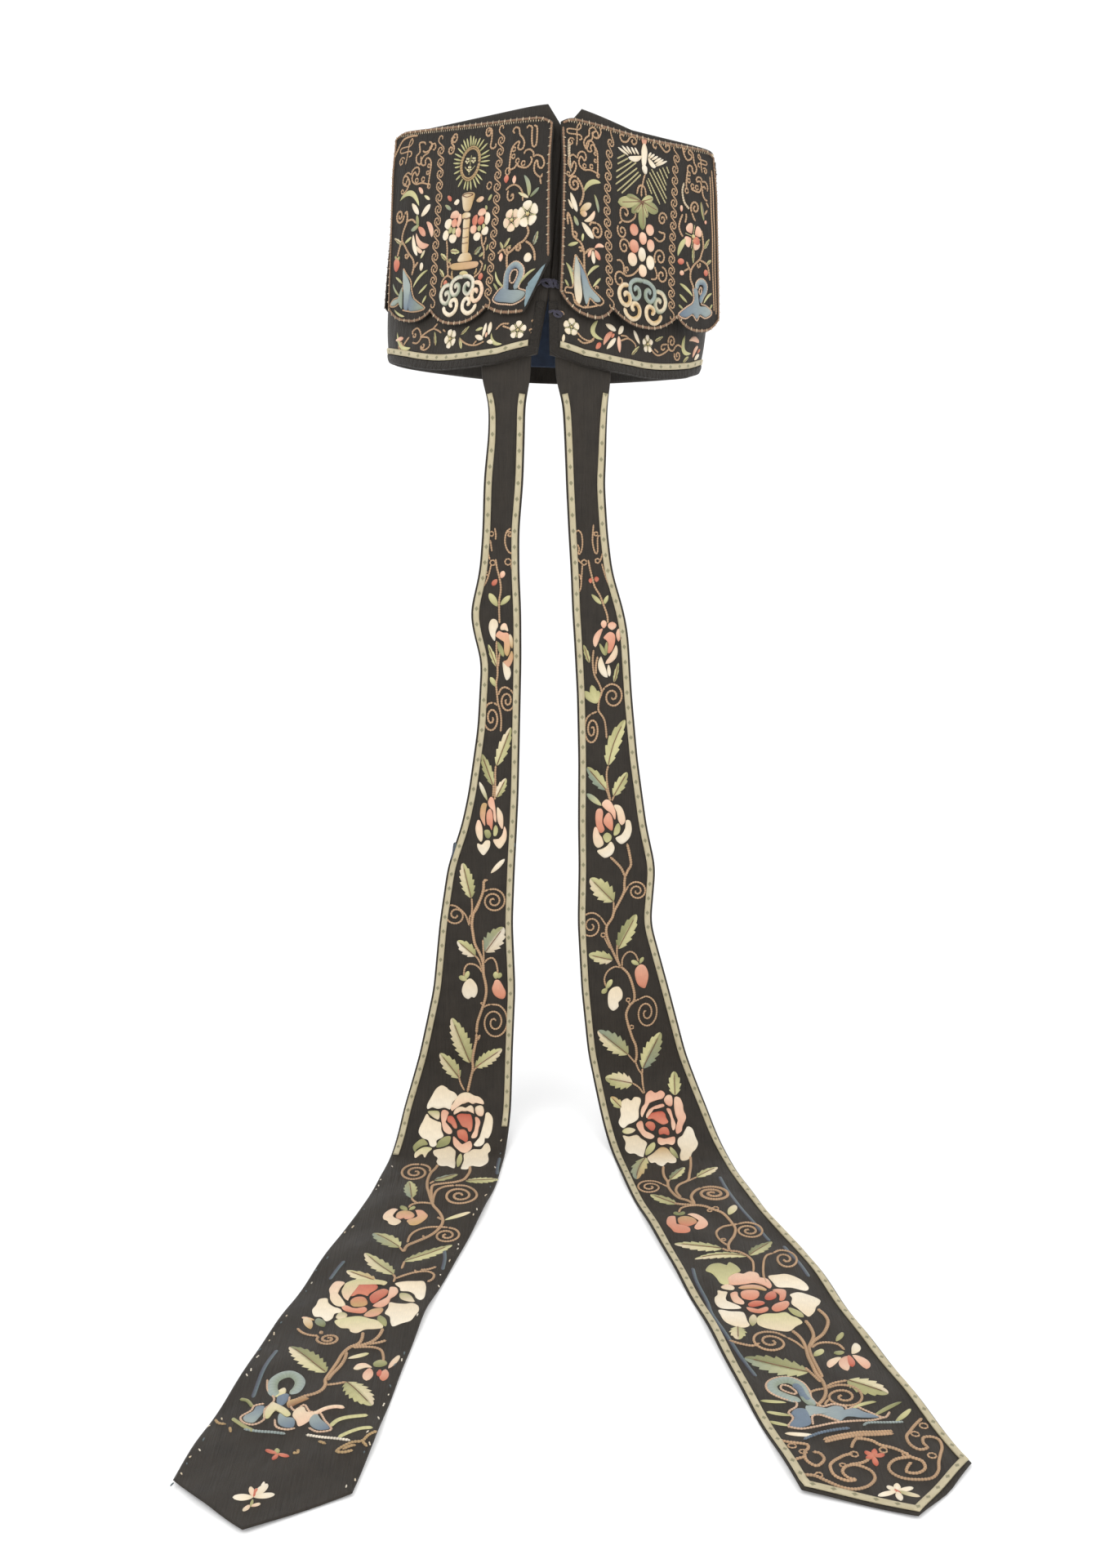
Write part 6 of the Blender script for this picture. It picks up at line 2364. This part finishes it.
def left_lappet_peony(t):
    leaves(
        t, ((-56.6, 440.2), (-68.8, 423.4), 10.6, "YC|SY", 5),
        ((-46.4, 433.2), (-29.4, 421), 9.8, "SY|YC", 6), ((-68.4, 533), (-55, 522.6), 8.4, "E|S", 3),
        ((-49.6, 533.6), (-29.8, 530.4), 8.6, "Y|SY", 6),
    )
    t.cords(
        [(-45.5, 410), (-45.6, 414), (-46.8, 420), (-48.2, 428), (-48, 434), (-49.6, 441), (-51.4, 449)],
        [(-43.2, 411), (-45, 415)], width=1.8,
    )
    t.cords(
        [(-57.4, 434), (-57, 438), (-56, 443), (-53.4, 448)], [(-48.8, 437), (-46, 433.6), (-42, 429.6)],
        width=1.25,
    )
    patches(
        t,
        ([(-76.6, 460), (-76.8, 457), (-74, 451.4), (-71.4, 447), (-68, 444.8), (-65, 446), (-63, 447.8),
            (-59.6, 449.4), (-57.8, 452.4), (-60.6, 455.4), (-61.9, 459), (-62.6, 460.2), (-66, 459),
            (-70, 459.8), (-73.6, 459)], "CW", 90),
        ([(-76.5, 461.8), (-72, 461), (-69, 462), (-69.4, 466.8), (-73, 465.4)], "SC", 90),
        ([(-77, 463.2), (-74.6, 466), (-70, 468.2), (-67.9, 469.2), (-67.4, 474), (-66, 478.8),
            (-70, 482), (-69.9, 485.4), (-71.6, 487.4), (-74, 486.4), (-75.6, 482), (-79, 480.4),
            (-81.6, 476.4), (-81, 472), (-79.4, 468.4)], "CW", 90),
        ([(-84.6, 487.4), (-81, 482), (-78, 481.4), (-75.4, 485.4), (-79, 487), (-82, 490),
            (-83, 492.6)], "SG", 90),
        ([(-72.6, 488.8), (-75, 493), (-76.6, 498), (-78.6, 494.4), (-82.4, 498.6), (-83.2, 494),
            (-81, 490.4), (-77, 487.6)], "YC", 90),
        ([(-62, 459), (-60, 455.4), (-56.4, 450.4), (-51.4, 449.2), (-47, 451.2), (-44, 452),
            (-41.4, 454.4), (-41.2, 456.8), (-45.4, 455.8), (-48, 456.6), (-50.4, 455.4), (-54, 456.6),
            (-57, 456.8), (-60, 460), (-61, 461.2)], "CK", 90),
        ([(-68, 464), (-67.4, 461), (-65, 460.6), (-63, 462.6), (-65, 465), (-65, 468.6), (-62.4, 472.6),
            (-60.8, 474), (-60.8, 476.4), (-63, 477), (-66, 474.4), (-67.4, 469)], "PK", 90),
        ([(-63.8, 464.8), (-61, 464.4), (-59, 467), (-57.6, 471), (-57.8, 473), (-59.6, 472.6),
            (-61.4, 470), (-63.8, 468)], "RO", 90),
        ([(-60, 462), (-58.4, 459.2), (-55, 458.2), (-52.4, 459), (-49.6, 457.4), (-47.6, 458.8),
            (-47.2, 463), (-49, 461.2), (-53, 461.4), (-57.4, 461.4), (-59.4, 463.6)], "CK", 90),
        ([(-58, 464.6), (-56, 462.9), (-52, 463), (-49.2, 463.4), (-48, 467), (-47.9, 472), (-48.8, 475),
            (-50.2, 475), (-51.2, 472.8), (-54.4, 471.4), (-56.2, 468.4)], "RO", 90),
        ([(-57.4, 475), (-55.4, 473.7), (-52.6, 473.9), (-50.8, 477), (-50.4, 481.4), (-51.6, 483.4),
            (-54, 481.6), (-56.6, 479.4)], "OR", 90),
        ([(-59.8, 479), (-58.6, 479.6), (-56.6, 482.4), (-53.6, 485.6), (-50.4, 484.4), (-48.9, 482.4),
            (-47.6, 486), (-48.4, 490), (-51, 493), (-54, 492.4), (-57, 489), (-59.4, 485)], "PK", 90),
        ([(-46.4, 459), (-44.4, 457.6), (-41.8, 457.8), (-40.7, 461), (-41.6, 464.3), (-44, 464.3),
            (-45.9, 462.4)], "CK", 90),
        ([(-46.3, 465.2), (-44.3, 465.6), (-42.9, 468.6), (-43.8, 473), (-44.8, 479), (-47.4, 480.4),
            (-48.4, 479), (-46.8, 475), (-46, 469)], "PK", 90),
        ([(-39.6, 462.6), (-37.6, 462.2), (-35.3, 465.4), (-35, 470), (-35.8, 476), (-37.6, 480.4),
            (-39.8, 480.6), (-40, 484), (-42, 486.8), (-45, 487.2), (-46.6, 485.4), (-44.2, 482.4),
            (-42.8, 478), (-41.3, 471.4), (-40.2, 466.4)], "CW", 90),
        ([(-70, 487.8), (-69, 483), (-65.4, 479.3), (-61.6, 478.7), (-61.4, 482), (-62.6, 485.2),
            (-66, 487.3)], "SG", 90),
        ([(-71.4, 490.6), (-66, 488.7), (-61.6, 486.9), (-58.6, 489.9), (-57.7, 492.2), (-57.7, 500),
            (-57.2, 506), (-57.4, 512.8), (-59.6, 511.8), (-62, 509.4), (-64, 509.6), (-67, 508.4),
            (-69, 503), (-68.6, 498.4), (-71, 495)], "CW", 90),
        ([(-52.4, 494.8), (-49.4, 492.2), (-46.6, 489.8), (-42, 489.9), (-39.6, 485.4), (-37.7, 484.7),
            (-36.3, 488), (-36, 492), (-37.4, 495), (-36.8, 502), (-37.6, 507.4), (-41, 511.8),
            (-44.4, 511.4), (-47, 510.4), (-49, 514.8), (-51, 515.4), (-53.4, 514.2), (-53.1, 510),
            (-52.2, 502)], "CW", 90),
    )
    petals(t, ((-55.4, 511.6), (-54.5, 493.6), 3.4, "SY"))
    t.cord([(-49.8, 495.6), (-48.4, 498.6), (-47.6, 502)], 0.8, "E")
    t.cords(
        [(-68, 508), (-69, 513), (-71.4, 520), (-72.4, 528), (-72.6, 535), (-72, 544), (-70.4, 552),
            (-68.6, 560), (-66.8, 566), (-64, 572), (-61.6, 579), (-60.4, 586), (-61.6, 592),
            (-64.6, 598), (-69, 603), (-74.6, 608), (-79, 612.6), (-80.4, 619)],
        [(-48, 512), (-47.7, 519), (-49, 526), (-51, 532), (-56, 536), (-62, 538), (-68.4, 540.6),
            (-69.4, 546), (-69, 553), (-68, 560)], width=1.8,
    )
    t.cords(
        [(-72, 518), (-72.6, 512.6), (-75, 509), (-79, 507)],
        coil((-79, 507), (-81, 519.6), 2.1, -1, 1.4), [(-68.6, 534), (-71, 538)],
        [(-67.6, 563), (-67.4, 555), (-66, 548), (-62, 543), (-56, 540.6)],
        coil((-56, 540.6), (-52.2, 553.4), 2.3, 1, 1.2), width=1.6,
    )


def left_lappet_lower(t):
    leaves(
        t, ((-80.5, 556.6), (-83.6, 532), 9, "ES|SY", 5), ((-83, 614.6), (-99.2, 598.4), 13, "SE|YS", 5),
        ((-79, 631), (-53.8, 611), 10.4, "S|Y", 7), ((-84, 647.6), (-101.4, 623.4), 11.6, "YC|SY", 6),
        ((-93, 655), (-109.6, 641.4), 9.6, "YC|DY", 4), ((-109.4, 741), (-130, 718.8), 13.6, "YC|SG", 8),
        ((-98, 750.6), (-84, 769.2), 13.6, "YC|SY", 7),
    )
    t.cords(
        [(-80.5, 556.4), (-79.4, 559.4), (-77, 562)],
        [(-67.4, 563.6), (-71, 562.2), (-76, 562), (-80, 564), (-81.4, 567)],
        [(-83, 614.4), (-80.6, 619)], [(-61, 584), (-64, 580.4)], [(-79, 631), (-79.8, 640.6)],
        [(-84, 647.4), (-82.6, 651), (-83, 655.6)],
        [(-79, 609), (-78.4, 603), (-76.6, 598), (-73, 594), (-68, 592), (-62, 592), (-57, 592.6)],
        coil((-57, 592.6), (-57.6, 600.6), 2.0, 1), [(-71, 600.6), (-70, 603.4)],
        [(-82, 652), (-76, 647), (-71, 644), (-65.6, 642.8), (-62, 645.2), (-62.4, 650), (-65, 653.4)],
        [(-72.6, 641.6), (-71.4, 645.4)], [(-69.6, 641.6), (-65, 640.2), (-61, 637)], width=1.4,
    )
    petals(
        t, ((-82, 569.8), (-86.4, 565.2), 3.6, "SG"), ((-81, 569.6), (-77.8, 565.8), 2.8, "S"),
        ((-59.6, 584.6), (-44.8, 576), 3.6, "YC"), ((-88.2, 736), (-88.6, 748.8), 5.2, "PK"),
        ((-83, 737.8), (-82.6, 744.8), 3, "RR"), ((-80.2, 737.6), (-80.6, 748.4), 4.6, "PO"),
        ((-78.8, 737), (-74.4, 724.4), 3.4, "KC"), ((-100, 727.4), (-89.8, 722), 3, "CY"),
        ((-122, 699.6), (-126, 688.4), 4.6, "DC"), ((-121, 691), (-128, 689.4), 2.2, "DK"),
        ((-115.4, 697), (-120, 689.4), 5, "GE"), ((-83.4, 699.2), (-88, 687.8), 4.2, "SG"),
    )
    patches(
        t,
        ([(-90.6, 568), (-87.6, 569), (-89.2, 572), (-89.8, 576), (-87.8, 580.4), (-84.8, 582),
            (-85.4, 585), (-88, 587.4), (-91.4, 585.4), (-92.6, 582), (-95, 580), (-95.6, 576),
            (-94, 571.4)], "KC", 90),
        ([(-88.2, 575), (-87, 571.6), (-83.6, 570.2), (-80, 571.2), (-77.8, 574), (-77.6, 577.4),
            (-79.6, 579.6), (-82.4, 580), (-83.4, 578.4), (-85.4, 579.6), (-87.8, 578)], "DP", 90),
        ([(-77.4, 569.8), (-73.6, 570), (-71.4, 573), (-69.6, 577), (-70.4, 581.4), (-73, 586),
            (-76, 588.6), (-79, 588), (-80.6, 584.6), (-81.4, 581.8), (-78, 580.6), (-75.6, 577.4),
            (-76, 572.6)], "PD", 90),
        ([(-115, 653), (-111.6, 652.6), (-109.2, 655), (-110.8, 660), (-111.6, 667), (-109.8, 672),
            (-106.6, 676.2), (-108, 678.2), (-112, 677), (-115, 672), (-116, 666), (-117, 660)], "KC",
            90),
        ([(-108.4, 654.8), (-104, 652.2), (-98, 652.8), (-92, 653.2), (-86.4, 655.8), (-88, 659.2),
            (-90.6, 657), (-93, 655.4), (-98, 655.8), (-101, 654.4), (-104.2, 657.4), (-105.8, 663),
            (-107, 668.6), (-105.4, 673), (-108, 670.4), (-110, 664), (-109.4, 658.6)], "YK", 90),
        ([(-105.2, 668.4), (-104.4, 663), (-103, 658.2), (-100.6, 656.8), (-97, 657.8), (-93, 657.4),
            (-91.1, 659.8), (-91.5, 663), (-94.8, 666.8), (-95.6, 669), (-97.6, 668), (-100.6, 667.2),
            (-103.4, 669)], "RO", 90),
        ([(-94.2, 668.6), (-91.2, 664.6), (-87.4, 662.4), (-84.9, 664.2), (-85.8, 668), (-88.2, 671.2),
            (-90.6, 674.8), (-92.6, 675.2), (-94.2, 672)], "OR", 90),
        ([(-104.2, 672.6), (-101.6, 670), (-97.6, 670), (-95.6, 672.8), (-95.2, 676.4), (-98, 678.2),
            (-102, 678.2), (-103.8, 676.2)], "OD", 90),
        ([(-84.4, 660.6), (-81, 660.8), (-79.8, 665), (-81.2, 669), (-83.2, 671.4), (-83.8, 675.4),
            (-86.6, 679.2), (-90, 679.2), (-92.2, 677.6), (-89.6, 676.2), (-86.8, 673), (-84.8, 669),
            (-83.8, 665)], "KP", 90),
        ([(-82, 657), (-77, 654.4), (-71, 653.4), (-67, 653), (-65.4, 658), (-65.2, 665), (-65.6, 671),
            (-67.4, 673.4), (-69.8, 671), (-71.2, 667), (-74, 664.2), (-78.4, 663.8), (-79.2, 661)],
            "CW", 90),
        ([(-78.8, 666.4), (-75.4, 666.2), (-72.6, 668.6), (-70.8, 673), (-70.4, 675.4), (-74, 674.6),
            (-78, 671.4)], "SC", 90),
        ([(-121, 671), (-117, 670.4), (-115.6, 675), (-112.2, 678.8), (-108.8, 680.4), (-107.8, 683.6),
            (-111.2, 684.4), (-112.2, 689), (-115, 691.6), (-118, 688), (-121.6, 687.6), (-123.4, 682),
            (-122, 677)], "CW", 90),
        ([(-108.4, 678.6), (-106.4, 677.4), (-103, 679.6), (-98.6, 680.2), (-95.8, 679), (-94.8, 682),
            (-97, 684.4), (-102, 683.6), (-106.4, 681.8)], "PO", 90),
        ([(-93, 681.8), (-89.6, 680.4), (-86.4, 680.8), (-86.6, 684.6), (-89, 688), (-93, 688.6),
            (-96, 686.4)], "DP", 90),
        ([(-83.4, 675), (-79.6, 676.2), (-75, 677.2), (-71, 676.8), (-68, 680.4), (-67.4, 685.6),
            (-69, 690), (-71, 694.6), (-75.6, 697), (-79.6, 699.4), (-81.2, 696), (-82.2, 690),
            (-85, 686), (-83.8, 680)], "CW", 90),
        ([(-109.8, 685), (-107.6, 683.2), (-104.8, 685), (-105.2, 688), (-108.4, 689.4), (-110.4, 688)],
            "SC", 90),
        ([(-110.6, 691), (-104, 687.6), (-97.6, 687.2), (-92, 690.6), (-88.8, 692.4), (-85.4, 697),
            (-85, 700.4), (-89, 701.2), (-94, 701.4), (-97.6, 704.4), (-101, 703), (-102.6, 699.4),
            (-107, 698)], "YC", 90),
        ([(-86.8, 731), (-84, 728.4), (-80.6, 729.8), (-80, 733), (-82.6, 735.2), (-86, 734.6)], "SG",
            90),
        ([(-96.2, 736.6), (-94.6, 732.4), (-91, 731.4), (-88, 734), (-87.2, 735.8), (-90.4, 735.8),
            (-94, 738)], "KC", 90),
    )
    t.cords(
        [(-94.6, 704), (-94.6, 710), (-96, 714.6), (-100, 718), (-103, 724), (-104.6, 731),
            (-106.6, 739), (-108.6, 748), (-108, 753), (-109, 758), (-112, 761.6), (-117, 764),
            (-122, 768)], [(-84.6, 701), (-86, 707), (-89, 712), (-94, 715.6), (-99, 717.4)],
        [(-101, 722), (-101.4, 728), (-103, 735), (-106, 743), (-107.4, 749)], width=1.8,
    )
    t.cords(
        [(-82, 711), (-86, 713), (-91, 714.4)],
        [(-98, 718), (-94, 717), (-88, 717), (-84, 719.4), (-82.4, 725), (-82, 730)],
        [(-107.4, 753.6), (-103, 752.6), (-98, 750.6)],
        [(-129, 699.6), (-126, 703.4), (-122, 706), (-117, 707)],
        coil((-117, 707.6), (-111.6, 710.4), 2.0, -1), coil((-115, 704), (-115.8, 703), 1.0), width=1.5,
    )
    worn_streaks(
        t, [(-112, 632), (-115, 640), (-118, 650)], [(-136, 722), (-140, 740), (-142, 762)],
        [(-58, 616), (-57, 628), (-57.6, 640)], [(-30, 500), (-31, 514), (-31, 524)],
    )


def left_lappet_end(t):
    t.band(
        [(-129.6, 762), (-133, 757), (-133.6, 750), (-130.6, 745.4), (-126, 743.8), (-122.4, 746.4),
            (-120.6, 751), (-121.4, 757), (-124, 761)], 5.2, "AE", 1.1,
    )
    patches(
        t, ([(-131.6, 761.6), (-130, 757), (-127.4, 755), (-126.4, 759), (-128.4, 763)], "CY", 90),
        ([(-129.8, 761.4), (-125, 760.6), (-124.4, 766), (-126.4, 770.4), (-129.4, 768)], "BB", 90),
        ([(-142.4, 782), (-143.8, 778), (-140, 774), (-139, 769.8), (-135.4, 769.6), (-134.6, 774),
            (-136.4, 780), (-138.4, 783.4)], "BA", 90),
        ([(-134.4, 779), (-134, 772), (-132, 766.6), (-130, 768), (-127, 770.6), (-123.6, 774),
            (-121.4, 778), (-123.6, 779.4), (-127.4, 776), (-129.4, 775), (-131.6, 780.4)], "CY", 90),
        ([(-127, 777), (-123.4, 780), (-119.4, 781), (-119, 786.6), (-123, 787), (-126.6, 784)], "AB",
            60),
        ([(-120.6, 778.4), (-119.4, 773.4), (-116, 772.4), (-114, 776), (-110, 777), (-112, 782.4),
            (-116.4, 786.4), (-118.4, 782.4)], "CK", 60),
        ([(-112.4, 780.4), (-109.4, 777.4), (-106.8, 781.4), (-103, 786), (-102, 789), (-107, 789.4),
            (-111, 786)], "AB", 60),
        ([(-124.6, 768), (-121, 765.6), (-116.6, 764.6), (-114.4, 766), (-119.4, 770), (-123, 773)],
            "DT", 60),
    )
    t.cords(
        [(-137, 748), (-135.6, 756), (-131.6, 763), (-131.6, 768), (-134.6, 773), (-133.6, 781),
            (-138, 785), (-143, 783), (-145, 778), (-141, 773), (-140, 769), (-135.4, 767.6)],
        [(-124, 763), (-123.4, 769), (-120, 775), (-116, 771), (-112.6, 776), (-108, 776.6), (-105, 782),
            (-101, 789.6), (-107, 791), (-112, 787.4)],
        [(-128.6, 781), (-127, 786.6), (-122, 788.6), (-118, 787.6)], width=1.2, dye="K",
    )
    t.cord([(-142, 788.4), (-135, 790), (-128, 790.6), (-122, 791.6)], 1.5, "A", kind="silk")
    t.cord([(-112.4, 792.8), (-105, 795.6), (-98, 797.6), (-91, 799.6)], 1.5, "W", kind="silk")
    for path, width, dyes in (
        ([(-148, 763), (-144, 764.6), (-140.6, 770)], 1.8, "SG"),
        ([(-149, 779), (-145.4, 783), (-142, 786.4), (-137, 790)], 2, "GS"),
        ([(-111, 778.4), (-106, 773.8), (-101, 771.8), (-96.6, 772.2)], 2.2, "CK"),
        ([(-102, 787.4), (-99, 782.4), (-94, 779.8), (-85, 778)], 2.4, "SY"),
        ([(-97, 796.8), (-92, 792.8), (-87, 790), (-81.6, 789.4)], 2.2, "SY"),
    ):
        t.band(path, width, dyes)
    t.cords(
        [(-79.4, 792), (-83, 795.4), (-85.6, 800), (-90, 801), (-94.6, 804.6), (-96.4, 807.4),
            (-93, 808), (-89, 806.6)], [(-85.6, 800), (-82.8, 804)],
        [(-94, 806), (-90.4, 803.6), (-88, 803)], [(-157, 779.4), (-154.6, 783), (-151, 784)],
        [(-148.8, 786.6), (-147.6, 791)], [(-106, 798.6), (-102, 801.4)],
        coil((-115.4, 804.6), (-115.4, 806.2), 1.0), width=1.5, dye="D",
    )
    petals(
        t,
        *(((-123.6, 806.6), tip, 2.6, dyes) for tip, dyes in (((-129.8, 803), "OR"), ((-117.8, 809.6),
            "OR"), ((-125, 811.6), "OR"), ((-124.6, 802.4), "S"))),
    )
    petals(
        t,
        *(((-129.4, 839.6), tip, wide, dyes) for tip, wide, dyes in (((-138.4, 840.8), 4.6, "CW"),
            ((-131.8, 832.6), 2.6, "KC"), ((-128.6, 833.6), 3, "RO"), ((-124.6, 829.8), 4, "CW"),
            ((-120.4, 836.6), 3.8, "CW"))),
    )
    petals(
        t, ((-129.6, 846), (-125.6, 843.6), 2, "KC"), ((-130, 845), (-132.4, 849.6), 2.4, "KC"),
        ((-129.4, 841), (-129.6, 846.4), 1.4, "S"), ((-127, 832.6), (-126.2, 828.8), 1.4, "W"),
    )


def loose_stitches(t, side_edge, tops):
    """Ends of pale thread left where the braid has come away from an edge."""
    chance = np.random.default_rng(7 + side_edge)
    lappet = LAPPETS["left"]
    for s in np.arange(tops, 836, 6.5):
        if chance.random() < 0.45:
            continue
        down = s + chance.uniform(-2, 2)
        inset = chance.uniform(1.2, 4.2)
        edges = lappet_edges(lappet, down)
        x = -(edges[side_edge] + (inset if side_edge == 0 else -inset))
        lean, long = chance.uniform(-1.2, 1.2), chance.uniform(1.2, 3.2)
        t.cord(
            [(x, down), (x + lean * 0.6, down + long / 2), (x + lean, down + long)], 0.8,
            chance.choice(["C", "W", "L"]), kind="silk",
        )


def left_lappet_work():
    t = on_lappet("left")
    left_lappet_top(t)
    left_lappet_middle(t)
    left_lappet_peony(t)
    left_lappet_lower(t)
    left_lappet_end(t)
    loose_stitches(t, 0, 480)
    loose_stitches(t, 1, 504)
    t.build("embroidery_left", "lappet_satin")


# ---- The flat size of every cloth --------------------------------------------------------------


def lappet_cut(lappet):
    """Width, length and flat area of a lappet, in metres."""
    s = np.arange(LAPPET_TOP, lappet["end"][1])
    inner, outer = lappet_edges(lappet, s)
    end = lappet_end(lappet, np.linspace(0, 1, 21)).mean()
    wide = (outer - inner) * MM
    return wide.max(), (lappet["end"][1] - LAPPET_TOP) * MM, wide[s < end].sum() * MM


def pieces_named(*starts):
    return [piece.name for piece in bpy.data.objects if piece.name.startswith(starts)]


def declare_cloths():
    """What each cloth measures when flat, how it is held and what is sewn to it."""
    for name, panel in PANELS.items():
        on_it = pieces_named(f"edge_cord_{name}_", f"embroidery_{name}_")
        if "turned" in panel:
            on_it.append("turned_corner_cloth")
    for name, lappet in LAPPETS.items():
        wide, long, area = lappet_cut(lappet)
        on_it = pieces_named(f"braid_{name}", f"embroidery_{name}_")


# ---- Floor, light and camera -----------------------------------------------------------


def studio():
    """White paper that runs under the object and sweeps up far behind it."""
    n = Nodes("white_paper")
    n.finish((0.88, 0.88, 0.88, 1.0), 0.9, Emission_Color=(1, 1, 1, 1), Emission_Strength=0.13)
    turn = np.linspace(0, pi / 2, 13)
    radius, behind = 1500, 1800
    route = [
        (-4000, 0), *((behind + radius * sin(t), radius * (1 - cos(t))) for t in turn),
        (behind + radius, 6000),
    ]
    corners = [(x, y, FLOOR_Z + z) for y, z in route for x in (-6000, 6000)]
    paper = make_object("paper_sweep", corners, grid_faces(len(route), 2))
    paper.data.materials.append(n.material)

    world = bpy.data.worlds.new("studio")
    bpy.context.scene.world = world
    world.use_nodes = True
    world.node_tree.nodes["Background"].inputs["Color"].default_value = (1, 1, 1, 1)
    world.node_tree.nodes["Background"].inputs["Strength"].default_value = 1.0

    lights = [
        ("key", (-700, -1300, 1300), 1400, 13),
        ("fill", (900, -1100, 700), 1200, 5),
    ]
    for name, place, size, watts in lights:
        data = bpy.data.lights.new(name, "AREA")
        data.shape = "DISK"
        data.size = size * MM
        data.energy = watts
        light = bpy.data.objects.new(name, data)
        light.location = Vector(place) * MM
        target = Vector((0, -50, -150)) * MM
        light.rotation_euler = (target - light.location).to_track_quat("-Z", "Y").to_euler()
        bpy.context.scene.collection.objects.link(light)

    data = bpy.data.cameras.new("camera")
    data.sensor_width = 36
    data.lens = 41.8
    data.clip_start = 0.01
    camera = bpy.data.objects.new("camera", data)
    camera.location = (0, -1.176, (FLOOR_Z + 500) * MM)
    camera.rotation_euler = (radians(90 - 14), 0, 0)
    bpy.context.scene.collection.objects.link(camera)
    bpy.context.scene.camera = camera
    bpy.context.scene.view_settings.view_transform = "Standard"


# ---- Everything, in order --------------------------------------------------------------

cap_wall()
for panel_name in PANELS:
    panel_cloth(panel_name)
for lappet_name in LAPPETS:
    lappet_cloth(lappet_name)
cap_lining()
crown_top()
hem_binding()
band_galloon()
lappet_galloons()
for panel_name in PANELS:
    panel_edge_cord(panel_name)
turned_corner()
slit_knots()
near_left_work()
near_right_work()
band_work()
right_lappet_work()
left_lappet_work()
declare_cloths()
studio()
